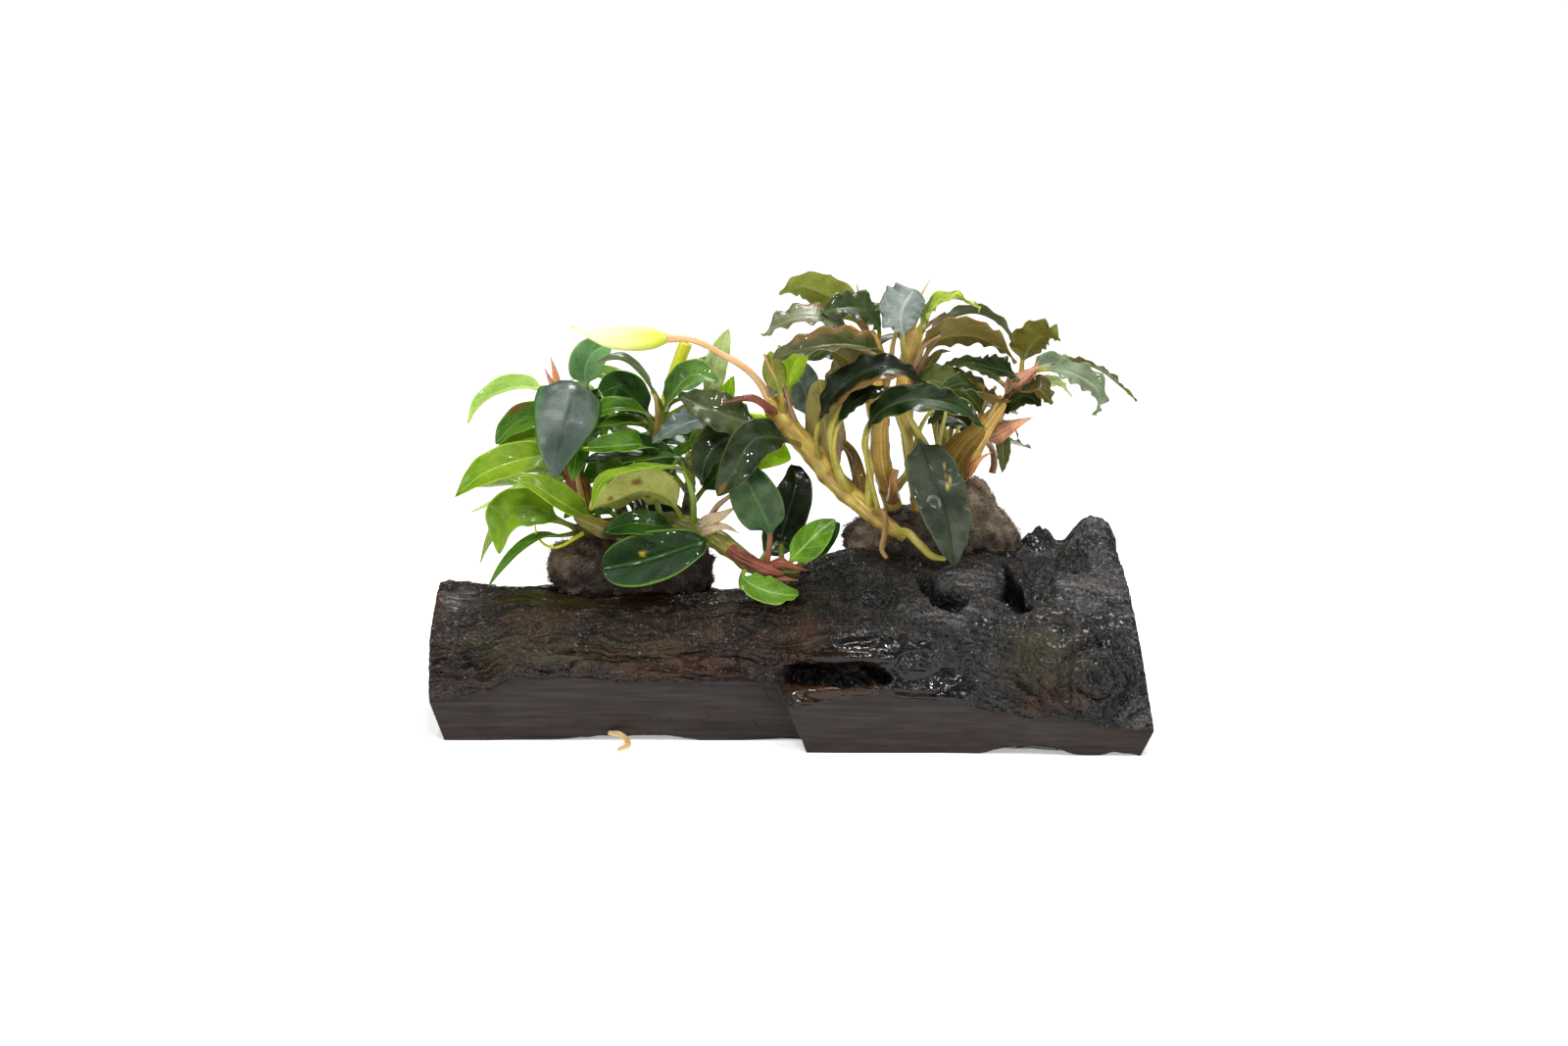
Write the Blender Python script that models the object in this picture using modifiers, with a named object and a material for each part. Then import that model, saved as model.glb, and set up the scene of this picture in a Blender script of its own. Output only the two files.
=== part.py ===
# Two small water plants rooted in fibre plugs on a sawn piece of driftwood.
# Lengths in this file are millimetres; the finished meshes are in metres.
# X runs along the wood to the right, Y goes away from the front facet and Z points up.
# The origin lies on the flat underside of the wood, under its middle.

import math

import bmesh
import bpy
import numpy as np
from mathutils import Vector

MM = 0.001
GAP = 0.35  # clearance between two pieces that touch
PLUG_SQUARE = 0.7  # under 1 squares a ball's sides

# The sawn wood
WOOD_LEFT = -72.0
WOOD_RIGHT = 74.6
STEP_AT = -0.7  # where the front facet jumps forward
STEP_SLANT = 5.0  # how far the step leans to the right towards the floor
LEFT_FRONT = -25.0
RIGHT_FRONT = -36.0
END_FRONT = -38.5
WOOD_BACK = 28.0
LEFT_CROWN = 25.5
RIGHT_CROWN = 34.0
BACK_FLANK = 7.0  # height at which the bark starts on the back
END_SLANT = 0.155  # lean of the right saw cut, in mm for each mm of height
LEFT_CORNER = (3.0, 8.0)  # how far and how high each lower corner is broken away
RIGHT_CORNER = (3.4, 5.0)
BARK_POINTS = 10
STATIONS_LEFT = 9
STATIONS_RIGHT = 10

# Height of the sawn front facet along the wood: place, height
FACET_LEFT = [(-72, 9.0), (-62, 10.4), (-52, 13.0), (-30, 12.2), (-1, 11.6)]
FACET_RIGHT = [(-1, 9.5), (8, 10.7), (34, 10.9), (44, 8.5), (60, 6.9), (74.6, 5.0)]

# Raised knots and broken stubs on the wood: centre, half sizes
STUBS = {
    "stub_middle": ((59.5, -11.0, 32.5), (4.0, 3.5, 3.6)),
    "stub_back_left": ((53.8, 4.0, 35.0), (3.4, 4.0, 4.0)),
    "stub_back_right": ((63.6, 5.0, 35.0), (5.2, 5.0, 5.4)),
    "ring_knot": ((61.5, -31.0, 14.6), (5.6, 4.0, 5.6)),
}
# Holes and cracks sunk into the wood: centre, half sizes
PITS = {
    "pit_notch": ((9.5, -34.0, 13.6), (12.0, 6.0, 2.0)),
    "pit_triangle": ((47.5, -22.5, 30.0), (4.2, 3.2, 4.6)),
    "pit_crack": ((30.5, -23.0, 31.0), (4.6, 3.0, 2.8)),
    "pit_swirl": ((15.5, -24.5, 28.5), (5.8, 3.4, 3.6)),
}

# Fibre plugs: centre, half sizes, and the height, place and reach of a hump on the top
PLUGS = {
    "fibre_plug_left": ((-34.5, 3.0, 30.0), (14.5, 9.0, 6.7), (0.8, -4.0, 6.0)),
    "fibre_plug_right": ((31.5, 4.0, 36.5), (17.9, 11.5, 5.6), (6.5, 8.5, 6.5)),
}

# Stems and rhizomes: finish, radius at the foot and at the tip, points of the middle line
STEMS = {
    "rhizome_left": ("olive_stem", 1.5, 1.0, [
        (-43, 1, 38.5), (-38.5, -1, 39.5), (-30.5, -3, 40.5), (-22.5, -5, 41), (-16, -8, 39.5),
        (-10.5, -10, 36.5), (-6, -12, 33.5), (3, -12, 32.5)]),
    "stem_left_back": ("red_brown_stem", 1.8, 0.9, [
        (-40, 4, 40.5), (-40.5, 3, 44), (-43, 3, 49.5), (-45.5, 4, 54), (-47, 5, 61), (-47, 5, 68)]),
    "stem_left_mid": ("olive_stem", 1.6, 0.9, [
        (-29.5, 4, 39), (-30, 5, 45.5), (-29, 6, 52.5), (-27, 6, 58), (-25, 6, 62)]),
    "stem_left_right": ("olive_stem", 1.3, 1.0, [
        (-21.5, 1, 38.5), (-20, 1, 44), (-19.5, 1, 49), (-19.5, 2, 54.5)]),
    "stem_left_far": ("olive_stem", 1.5, 1.0, [(-34, 9, 38), (-35, 14, 45), (-36.5, 17, 51)]),
    "stem_right_leaning": ("yellow_stem", 1.0, 2.1, [
        (25, -9.5, 39), (20.5, -9, 42), (16.5, -8, 45), (10.5, -7, 50.5), (6, -6, 56),
        (0, -5, 62.5), (-3, -4, 67)]),
    "stem_right_upright": ("yellow_stem", 1.8, 1.2, [
        (23, 2, 43), (21.5, 2, 48), (20, 2, 55.5), (20, 1, 63.5), (20, 0, 71), (19, 0, 77.5)]),
    "stem_right_second": ("yellow_stem", 1.5, 1.0, [
        (28, -2, 43.5), (27, -2, 49.5), (25.5, -2, 58), (25.5, -1, 66), (26.5, -1, 73.5)]),
    "stem_right_side": ("tan_stem", 1.5, 0.9, [
        (35.7, 3.5, 47.1), (36.6, 3, 50), (39, 2, 54.5), (43, 1, 60.5), (46.5, 0, 67), (49.5, 0, 72)]),
    "stem_right_far": ("olive_stem", 1.5, 1.0, [(30, 11, 43.5), (32.5, 15, 49), (33.5, 18, 56), (32.5, 19, 63)]),
}

# Leaves: stem, finish, width, share of the length that is petiole, fold in degrees,
# the way the upper side faces, points of the midrib from the stem to the tip
LEAVES = {
    "leaf_heart": ("stem_left_back", "blue_green", 14.5, 0.16, -12, (0.25, -0.9, 0.35), [
        (-46.5, 2, 67), (-43.5, -3, 70.5), (-44, -10, 65.5), (-45.8, -13, 58.5), (-46.8, -13, 52)]),
    "leaf_pale_top": ("stem_left_back", "lime", 7.5, 0.15, 25, (-0.2, -0.5, 0.8), [
        (-47, 5, 66), (-52, 6, 68), (-58, 7, 67.5), (-63, 7, 64.5), (-66, 6, 60.5)]),
    "leaf_long_lime": ("stem_left_back", "lime", 8.5, 0.15, 15, (-0.1, -0.75, 0.65), [
        (-45, 2, 53), (-50, 0, 54.5), (-56, -2, 53.5), (-62.5, -3, 51), (-68, -4, 46.5)]),
    "leaf_long_bright": ("rhizome_left", "lime", 7.5, 0.25, 20, (-0.3, -0.6, 0.7), [
        (-35, -3, 40), (-40.5, -7, 43), (-46, -10, 46.5), (-51, -11, 50), (-56, -11, 51.5)]),
    "leaf_veined_arch": ("rhizome_left", "lime", 10.5, 0.2, 10, (-0.35, -0.8, 0.5), [
        (-42.5, 2, 38.5), (-47.5, 0, 41.5), (-53, -1, 43.5), (-57.5, -3, 42), (-59, -4, 34.5)]),
    "leaf_narrow_low": ("rhizome_left", "mid_green", 4.5, 0.2, 15, (-0.3, -0.3, 0.9), [
        (-43, 0, 38), (-46, -4, 38.5), (-50, -6, 38.5), (-54.5, -8, 36), (-58, -9, 32.5), (-61, -9, 28.6)]),
    "leaf_upright_blue": ("stem_left_back", "blue_green", 8.5, 0.5, 10, (0.1, -0.95, 0.3), [
        (-46.5, 7, 58.5), (-41.5, 8, 65), (-41.5, 7, 71), (-40, 6, 75), (-36, 5, 77.5)]),
    "leaf_grey_arch": ("stem_left_mid", "grey_green", 5.0, 0.3, 20, (-0.4, -0.3, 0.85), [
        (-25, 6, 62), (-26, 4.3, 65.5), (-29.3, 2.5, 71), (-33.5, 1.2, 74.5), (-39, 0, 74)]),
    "leaf_blue_rim": ("stem_left_mid", "mid_green", 7.0, 0.2, 15, (-0.1, -0.45, 0.9), [
        (-26, 2, 60.5), (-30, 0, 64), (-35.5, -2.5, 64.8), (-40.5, -4.5, 63)]),
    "leaf_yellow_rim": ("stem_left_mid", "mid_green", 7.5, 0.2, 15, (0, -0.5, 0.85), [
        (-28, 2, 54.5), (-29.5, -6, 57.8), (-35.5, -9, 57.8), (-42, -9.5, 57.6)]),
    "leaf_dark_shiny": ("stem_left_mid", "dark_green", 7.0, 0.2, 15, (-0.1, -0.3, 0.9), [
        (-28.5, 3, 51), (-31.5, -2, 54.5), (-36, -6, 55), (-41, -9, 54.5)]),
    "leaf_long_arch": ("stem_left_right", "lime", 6.0, 0.3, 15, (-0.35, -0.3, 0.9), [
        (-18, -2, 46), (-19.5, -5, 51), (-22, -9, 53.6), (-30, -16.5, 54), (-36.5, -18.5, 52.3), (-39, -19, 46.3)]),
    "leaf_olive_folded": ("rhizome_left", "olive_under", 12.0, 0.2, 20, (0, 0.75, 0.6), [
        (-20.5, -6.5, 42.5), (-23.5, -9, 46.7), (-29, -10, 48.7), (-35, -10.5, 46.7), (-40, -10.5, 45.2)]),
    "leaf_front_oval": ("rhizome_left", "deep_green", 11.8, 0.12, 10, (-0.1, -0.85, 0.5), [
        (-15.5, -10, 39), (-17, -14, 39), (-22, -16, 37.5), (-29, -17, 35.5), (-37, -17, 34)]),
    "leaf_small_glossy": ("rhizome_left", "lime_gloss", 7.0, 0.22, 12, (0, -0.6, 0.8), [
        (-7, -13, 34), (-8.5, -15.5, 32), (-5.5, -17, 30), (-1, -18, 28.8), (3, -19, 28.8)]),
    "leaf_blue_dark": ("rhizome_left", "blue_green", 10.5, 0.3, 14, (-0.1, -0.9, 0.4), [
        (-3.5, -13, 34.5), (-3, -13.5, 38), (-3, -13.5, 41.5), (-5, -14, 46.5), (-7.5, -14, 51.5), (-8.5, -11, 55)]),
    "leaf_black_green": ("rhizome_left", "black_green", 8.5, 0.25, 12, (0.1, -0.9, 0.3), [
        (0, -10, 33.5), (-0.5, -7, 38.5), (1, -6, 44), (2.5, -4, 49.5), (1.5, -1.5, 53)]),
    "leaf_lime_round": ("rhizome_left", "lime_gloss", 7.0, 0.2, -8, (0, -0.8, 0.6), [
        (2, -12, 32.5), (1.5, -14, 35), (4.5, -14.5, 38.5), (7.5, -14.5, 41.5), (10.5, -13.5, 43.5)]),
    "leaf_green_curled": ("stem_left_mid", "mid_green", 8.0, 0.15, 15, (-0.5, -0.6, 0.6), [
        (-25, 4, 61.5), (-23.5, 1, 66.5), (-19, -1, 71.5), (-13.5, -2, 70.5)]),
    "leaf_backlit": ("stem_left_right", "lime_bright", 12.0, 0.15, 8, (0, -0.9, 0.4), [
        (-19.5, 4, 52), (-13.5, 9, 54), (-6, 11, 56.5), (1, 11, 58)]),
    "leaf_pale_upright": ("stem_left_mid", "pale_olive", 5.0, 0.4, 10, (0, -0.9, 0.2), [
        (-25.5, 7, 61), (-16, 9, 67), (-14, 9, 73), (-11.5, 8, 80)]),
    "leaf_olive_oval": ("stem_right_leaning", "olive_dark", 10.0, 0.3, 10, (-0.1, -0.75, 0.65), [
        (0, -5, 61), (-4.5, -9, 63), (-8.5, -11, 63.5), (-15, -12.5, 66), (-21.5, -12.5, 69)]),
    "leaf_grey_blue": ("stem_right_leaning", "grey_green", 7.5, 0.45, 12, (-0.3, -0.6, 0.75), [
        (1, -4, 60), (-8, -4.5, 61), (-16, -6, 63), (-21.5, -8, 61.8), (-27, -8.8, 58.5)]),
    "leaf_dark_folded": ("stem_right_leaning", "dark_gloss", 8.5, 0.3, 15, (-0.3, -0.8, 0.5), [
        (2.5, -6, 58.5), (-5, -9, 60.5), (-11.5, -11, 60), (-15.5, -13, 56.5), (-17, -13, 50.5)]),
    "leaf_dark_tipped": ("stem_right_leaning", "dark_gloss", 8.5, 0.2, 15, (0.3, -0.9, 0.3), [
        (4.5, -8, 57.5), (-3, -13, 60.5), (-7, -15.5, 59.5), (-10, -17.5, 54.5), (-13.5, -17.5, 49)]),
    "leaf_olive_crown": ("stem_right_upright", "olive_under", 8.5, 0.35, 12, (-0.3, 0.8, 0.5), [
        (18.8, 2, 73.5), (17.3, 5.3, 79), (12.5, 4.4, 85.3), (7.5, 3.4, 88.3), (3.5, 2, 89.5), (-1, 1, 88)]),
    "leaf_grey_lobed": ("stem_right_upright", "grey_green", 8.5, 0.2, 12, (-0.1, -0.4, 0.9), [
        (19, -1, 74.5), (12, -3, 81), (6, -4, 83.8), (0.5, -5, 83), (-4.5, -6, 80.3)]),
    "leaf_dark_spiked": ("stem_right_upright", "dark_green", 8.5, 0.2, 12, (-0.1, -0.6, 0.8), [
        (19, 1, 76.5), (19.5, 0, 81), (16, -1, 85), (11.5, -2, 85.5), (7.5, -3, 84.5)]),
    "leaf_dark_wavy": ("stem_right_upright", "dark_gloss", 9.0, 0.2, 20, (0, -0.45, 0.85), [
        (19.5, -3, 71.5), (19.5, -8, 77), (13.5, -11, 79), (8, -12, 79), (2.5, -12.5, 78),
        (-2.5, -13, 76.3)]),
    "leaf_white_top": ("stem_right_second", "grey_green", 9.5, 0.3, 10, (0, -0.85, 0.55), [
        (26, -3, 72), (23.5, -6, 77.5), (23, -7.5, 82), (23.8, -7.5, 86), (25.5, -6.5, 89.5)]),
    "leaf_lime_wavy": ("stem_right_second", "lime_bright", 6.0, 0.3, 10, (0, -0.1, 1), [
        (26.8, 2, 71), (28.5, 4.5, 79), (31, 4, 85), (35.5, 2.5, 87), (40.5, 1, 85)]),
    "leaf_long_arching": ("stem_right_second", "olive_under", 7.0, 0.35, 15, (0.2, 0.35, 0.9), [
        (26.5, 3, 68.5), (28.5, 7, 76), (32.5, 8.5, 81), (39, 8, 83.5), (44.5, 7, 81.5), (48.5, 6, 76.5)]),
    "leaf_olive_arching": ("stem_right_second", "olive_brown", 8.5, 0.3, 12, (0.1, 0.75, 0.65), [
        (26.5, -2, 69), (28.3, -4.8, 74.5), (31.5, -5.5, 79.5), (38, -6, 80.5), (43.5, -7, 78.5), (47.5, -8, 75)]),
    "leaf_olive_lobed": ("stem_right_side", "olive_under", 9.0, 0.25, 12, (-0.1, 0.8, 0.6), [
        (49.5, 2, 71), (49.5, 3, 74.5), (51, 2, 77.5), (53.5, 1, 79.5), (57, 0, 78.5)]),
    "leaf_black_arch": ("stem_right_leaning", "black_green", 9.0, 0.3, 14, (-0.2, -0.65, 0.75), [
        (7.5, -9, 54), (6.5, -12, 61), (9.5, -15, 68.5), (16, -17, 74), (23, -18, 75), (28.5, -18, 72)]),
    "leaf_dark_arch": ("stem_right_leaning", "dark_gloss", 8.5, 0.42, 14, (0, -0.6, 0.8), [
        (20, -10, 42.5), (17.5, -12.5, 52.5), (16.5, -15, 59.5), (19, -18, 66), (26, -19.5, 69),
        (34, -20, 68), (41, -20, 63)]),
    "leaf_mid_green": ("stem_right_second", "mid_green", 7.5, 0.2, 12, (0.1, -0.8, 0.6), [
        (26, 0, 65), (28, -4, 70), (31, -6, 71), (34, -8, 69.5), (37.5, -9, 66)]),
    "leaf_grey_far": ("stem_right_side", "grey_green", 7.5, 0.3, 10, (0.2, -0.6, 0.8), [
        (49, -2, 71), (52.5, -4, 73), (56.5, -4, 73), (61, -5, 71.5), (64.5, -6, 68.5), (64, -7, 64)]),
    "leaf_front_hanging": ("stem_right_second", "dark_gloss", 11.5, 0.28, 16, (0.05, -0.9, 0.35), [
        (25, -3, 60), (26.5, -9, 61), (28.5, -15, 57.5), (30.5, -19, 52), (33, -21, 45), (34.5, -22, 35.5)]),
    "leaf_tan_striped": ("stem_right_leaning", "tan_under", 7.0, 0.12, -14, (0, -1, 0.1), [
        (9.5, -3, 53), (9, -1.5, 58), (8, -1.5, 64), (7.5, -1, 71)]),
}

# Small leaves, sheaths and bracts grown on a stem and fused to it: the same values
SMALL_LEAVES = {
    "green_notched": ("stem_left_back", 7.5, 0.15, 15, (-0.3, -0.7, 0.6), [
        (-46.5, 6, 61), (-51.5, 9, 61.5), (-56.5, 10, 59.5), (-60.5, 10, 55.5)]),
    "lime_behind": ("stem_left_back", 6.0, 0.2, 10, (-0.2, -0.5, 0.8), [
        (-46, 5, 56.5), (-52.5, 8, 57), (-58, 9, 55), (-61, 8, 51.5)]),
    "lime_strip": ("stem_left_back", 4.0, 0.2, 10, (-0.2, -0.6, 0.75), [
        (-43.5, 3, 50), (-47.5, -2.5, 50), (-51.5, -5, 49.8), (-56.5, -6.5, 48.8)]),
    "pale_under": ("stem_left_back", 5.5, 0.15, 8, (0, 0.6, 0.8), [
        (-42, 3, 47.5), (-49.5, 6, 48), (-57.5, 6, 48), (-65.5, 5, 47)]),
    "hanging_left": ("stem_left_back", 4.5, 0.25, 12, (0.3, -0.9, 0.3), [
        (-46, 4, 56.5), (-42.5, -4, 57.5), (-42.8, -7, 55), (-43.5, -8, 50.5)]),
    "sheath_red": ("stem_left_back", 4.0, 0.05, -20, (0.1, -0.95, 0.3), [
        (-40.5, 3, 43), (-41, -0.5, 46.5), (-43.5, -1.5, 50), (-46, -3, 54)]),
    "bract_orange": ("stem_left_back", 1.6, 0.1, -15, (0, -1, 0.1), [
        (-47, 5, 67), (-47.3, 5, 69.5), (-47.8, 5, 72), (-48.5, 5, 74.5)]),
    "bract_pink_small": ("stem_left_back", 1.4, 0.1, -15, (0, -1, 0.1), [
        (-47, 5, 66.5), (-48, 3, 69), (-48.7, 2.5, 70.5), (-49.5, 2, 72.5)]),
    "pale_low": ("rhizome_left", 4.0, 0.3, 12, (-0.3, -0.7, 0.6), [
        (-42, 1, 38.8), (-48.5, 8, 39.5), (-58, 9, 39.5), (-61.5, 8, 36), (-64, 7, 30.5)]),
    "dark_low": ("rhizome_left", 7.0, 0.2, 10, (0, -0.8, 0.5), [
        (2.5, -12, 32.5), (5, -8, 36), (8, -7.5, 39), (11.5, -9.5, 42)]),
    "bract_red_end": ("rhizome_left", 2.4, 0.1, -15, (0, -0.8, 0.6), [
        (-4.5, -12, 33), (-2, -14, 32), (0.5, -15, 31.5), (3, -15.5, 31.2)]),
    "lime_flat": ("stem_left_mid", 6.0, 0.2, 10, (0, -0.4, 0.9), [
        (-26.6, 6, 59), (-31, 11, 65.5), (-38, 12.5, 70), (-45, 13, 68.5)]),
    "dark_back": ("stem_left_mid", 8.0, 0.2, 12, (0.1, -0.9, 0.4), [
        (-26.5, 6, 60), (-31, 7.5, 65), (-34.5, 6.5, 68), (-39, 5.5, 66.5)]),
    "green_short": ("stem_left_mid", 5.0, 0.2, 12, (-0.1, -0.4, 0.9), [
        (-27, 6, 57.5), (-30, 9, 60.5), (-33.5, 10.5, 61), (-38, 11, 60)]),
    "folded_green": ("stem_left_mid", 5.0, 0.2, 25, (-0.1, -0.4, 0.9), [
        (-26.5, 6, 58.5), (-29.5, 1, 60.8), (-33.5, -3, 61.6), (-39, -6, 61.4)]),
    "lime_small": ("stem_left_mid", 5.0, 0.35, 10, (0, -0.9, 0.4), [
        (-26.7, 6, 58.5), (-18, 13, 59.5), (-12.5, 13.5, 65), (-10.5, 13, 69.5)]),
    "sheath_pale": ("stem_left_mid", 2.4, 0.1, -20, (0, -1, 0.2), [
        (-27.5, 6, 57), (-33, 4, 59), (-36, 3, 63.5), (-38.5, 3, 68)]),
    "thin_edge": ("stem_left_right", 4.5, 0.2, 10, (0, -0.1, 1), [
        (-19.5, 1, 51), (-21.5, -3.5, 54.7), (-26.5, -7.8, 55.4), (-33, -10.8, 54.7)]),
    "thin_right": ("stem_left_right", 3.0, 0.2, 10, (0, -0.3, 1), [
        (-19.5, 1.5, 51), (-22.5, 5, 53.5), (-20, 6, 55.5), (-16, 6, 57)]),
    "pale_far": ("stem_left_far", 4.0, 0.2, 10, (-0.2, -0.5, 0.8), [
        (-34.5, 12, 42.5), (-48, 15, 42), (-57.5, 16, 43), (-66.5, 16, 40)]),
    "under_arch": ("stem_right_leaning", 6.0, 0.55, 12, (-0.2, -0.5, 0.85), [
        (13.5, -7.5, 48), (10.5, -12.5, 55), (10.5, -13.5, 61.5), (13.5, -13.5, 67), (17.5, -13.5, 69.3),
        (23.5, -13, 69.8)]),
    "olive_upright": ("stem_right_leaning", 5.5, 0.45, 15, (0, 0.9, 0.2), [
        (-0.5, -5, 63), (-0.5, -8, 68), (-1.8, -8.7, 72), (-2.8, -8.7, 77.5)]),
    "lime_bright": ("stem_right_leaning", 5.0, 0.5, 10, (0, -0.9, 0.3), [
        (1, -5, 61), (1, 1, 68), (2, 3, 73), (5, 3, 77)]),
    "sheath_brown_v": ("stem_right_leaning", 3.0, 0.1, -15, (0, -1, 0.2), [
        (16, -8, 45.5), (15.5, -1, 50.5), (14, 1, 55), (11.5, 1.5, 58)]),
    "bract_pink": ("stem_right_leaning", 3.0, 0.1, -15, (0, -0.8, 0.6), [
        (-1, -4.7, 63.8), (-2.5, -9.5, 66), (-6.5, -12.5, 68.6), (-13, -13.5, 67.5)]),
    "brown_grey": ("stem_right_upright", 6.0, 0.2, 12, (0, 0.8, 0.5), [
        (20, 0, 68), (16.5, -3, 72), (13.5, -4.5, 75), (9.5, -5.5, 77.5)]),
    "sheath_yellow_left": ("stem_right_upright", 3.5, 0.05, -15, (0, -1, 0.1), [
        (20, 0.5, 67), (18, 0.2, 72.5), (16.8, 0.2, 77), (16.2, 0.2, 81.5)]),
    "spike_left": ("stem_right_upright", 1.5, 0.1, -10, (0, -1, 0.1), [
        (19, 0, 76), (17, 2.6, 80), (16, 3.6, 85), (15, 3.8, 90)]),
    "yellow_brown": ("stem_right_second", 3.0, 0.3, 10, (0, -0.4, 0.9), [
        (25.6, -1.5, 64.5), (29, 8, 70.5), (32.5, 11, 74.5), (35, 11, 75)]),
    "sheath_yellow_right": ("stem_right_second", 3.6, 0.05, -15, (0, -1, 0.1), [
        (26.4, -1, 72), (26.9, -0.9, 75.5), (27.6, -0.7, 79), (28.5, -0.5, 82)]),
    "spike_right": ("stem_right_second", 1.5, 0.1, -10, (0, -1, 0.1), [
        (26.3, -1, 72), (26, -1.5, 82.5), (27.5, -2, 87), (30, -2, 91.5)]),
    "glossy_small": ("stem_right_side", 7.0, 0.2, 14, (-0.1, -0.7, 0.7), [
        (48.5, 0, 70.5), (46.5, -5, 72.5), (42.5, -9, 74), (38, -10, 75.5)]),
    "olive_short": ("stem_right_side", 4.5, 0.2, 10, (-0.1, -0.5, 0.85), [
        (47, 0, 68), (42.5, 3, 71.5), (38, 3, 73.5), (32.5, 2.5, 73)]),
    "olive_curled": ("stem_right_side", 6.5, 0.1, 25, (-0.1, -0.5, 0.85), [
        (46.3, 0, 66.5), (43.5, -5, 66.5), (40.5, -8.5, 68), (37.5, -9.5, 72)]),
    "pink_sheath": ("stem_right_side", 3.6, 0.05, -18, (0.2, -0.9, 0.4), [
        (45.5, 0, 65), (49, -0.8, 68), (51, -0.6, 71), (52.6, -0.3, 74.5)]),
    "brown_curled": ("stem_right_side", 6.0, 0.1, 20, (0.1, -0.6, 0.8), [
        (48, 0, 69), (50, -4, 68.5), (52.5, -5.5, 69), (55, -5, 66)]),
    "thin_far": ("stem_right_side", 5.0, 0.25, 12, (0.3, 0.1, 0.95), [
        (49, 0, 71), (54.5, 5, 72.5), (60, 6, 73.5), (65.5, 5, 72), (70, 4, 68.5), (73.2, 3, 65.5)]),
    "beige_small": ("stem_right_side", 3.5, 0.3, 10, (0.1, -0.6, 0.8), [
        (47.5, 0, 68.5), (53.5, 4.5, 69), (57, 6, 69), (60, 6, 66)]),
    "sheath_pink_yellow": ("stem_right_side", 4.6, 0.05, -18, (0.1, -0.9, 0.4), [
        (41.5, 1.3, 58.5), (44, -3.5, 60), (47.5, -5, 62), (51.5, -5, 63.5)]),
    "brown_small": ("stem_right_side", 3.0, 0.2, 10, (0.2, -0.6, 0.7), [
        (42.5, 1, 59.5), (46, 5, 60), (48, 6, 59.5), (49, 6, 57)]),
    "olive_hanging": ("stem_right_side", 3.6, 0.2, 8, (0.3, -0.85, 0.3), [
        (41.5, 1.3, 58.5), (44.5, 3, 58.5), (45.5, 3, 56), (45.5, 2.5, 50.5)]),
    "sheath_brown_right": ("stem_right_side", 6.5, 0.05, -14, (0, -1, 0.3), [
        (36, 3, 48), (34.5, -4, 53), (37, -7, 58), (41, -7, 61.5)]),
    "scale_orange": ("stem_right_side", 2.4, 0.1, -14, (0, -1, 0.3), [
        (36, 3, 48.5), (38.5, -2, 52), (40.5, -3.5, 54.5), (43, -4, 56)]),
}

# Leaves that only show from behind stand around the far stems, turning by the golden angle
# number, length, width and how far the upper side leans outwards, in degrees
FAR_LEAVES = {
    "stem_left_far": (6, 21.0, 7.5, 15.0),
    "stem_right_far": (6, 21.0, 7.5, 25.0),
}
FAR_SPREAD = 150.0  # degrees of the fan that they cover
FAR_RISES = (0.35, 0.6, 0.85)  # rise of an arching leaf as a share of its length, in turn
FAR_PETIOLE = 0.35

# Other tubes: finish, stem that carries it, radii along it, points of the middle line
TUBES = {
    "peduncle": ("orange_stem", None, [0.8, 0.75, 0.7, 0.7, 0.75, 0.9], [
        (-3.4, -3.9, 67.7), (-5, -3.6, 70.3), (-8, -3.3, 73.3), (-12.5, -3.1, 76), (-18.5, -3, 79), (-23.5, -3, 79.4)]),
    "stalk_yellow": ("yellow_stem", "stem_left_mid", [1.0, 1.4, 1.5, 1.4], [
        (-25.5, 7, 61.5), (-23.8, 11, 67), (-22, 12, 72.5), (-20.5, 12, 76.5)]),
    "root_yellow_green": ("yellow_stem", "stem_right_leaning", [0.8, 0.85, 0.85, 0.8, 0.5], [
        (23.2, -9.5, 40.3), (25.4, -12.5, 40.5), (27.6, -14.5, 38.6), (30, -15.5, 36.4), (33, -15.8, 35.6)]),
    "root_tan": ("tan_stem", "stem_right_leaning", [0.6, 0.65, 0.65, 0.6, 0.45], [
        (17.6, -8.8, 44.2), (20.4, -12.8, 44.6), (20.6, -14, 41), (20, -15, 37.6), (21, -15.6, 35.8)]),
    "root_brown_right": ("tan_stem", "stem_right_side", [0.6, 0.65, 0.7, 0.8], [
        (41.5, 1.5, 58), (43.4, 6, 55), (44, 7, 52), (43.6, 7, 49.8)]),
    "root_cream": ("cream_root", None, [0.45, 0.6, 0.6, 0.4], [
        (-35.4, -25.8, 1.7), (-33, -29, 2.1), (-31.3, -33.5, 1.2), (-33, -37, 0.9)]),
    "spathe": ("pale_spathe", None, [1.0, 2.2, 2.5, 2.5, 2.3, 1.6, 0.8, 0.2], [
        (-24, -3, 79.5), (-25.5, -3, 79.4), (-28, -3, 79.3), (-31.5, -3, 79.3), (-34.5, -3, 79.4),
        (-38, -3, 80), (-41, -3, 80.9), (-43.7, -3, 82)]),
}

LEAF_THICK = 0.6
PETIOLE_HALF = 0.6  # half of a petiole's width
TIP_HALF = 0.15  # half width left at a leaf's tip
OUTLINE_SKEW = 0.8  # under 1 moves a leaf's widest place towards its base
OUTLINE_FULL = 0.75  # under 1 makes a leaf's outline fuller than a sine
WIDE_ENOUGH_TO_FOLD = 5.2  # narrower small leaves are flat strips
GOLDEN_ANGLE = 137.5
WELD_REACH = 0.00001  # metres; corners nearer than this are merged after a union

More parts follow.
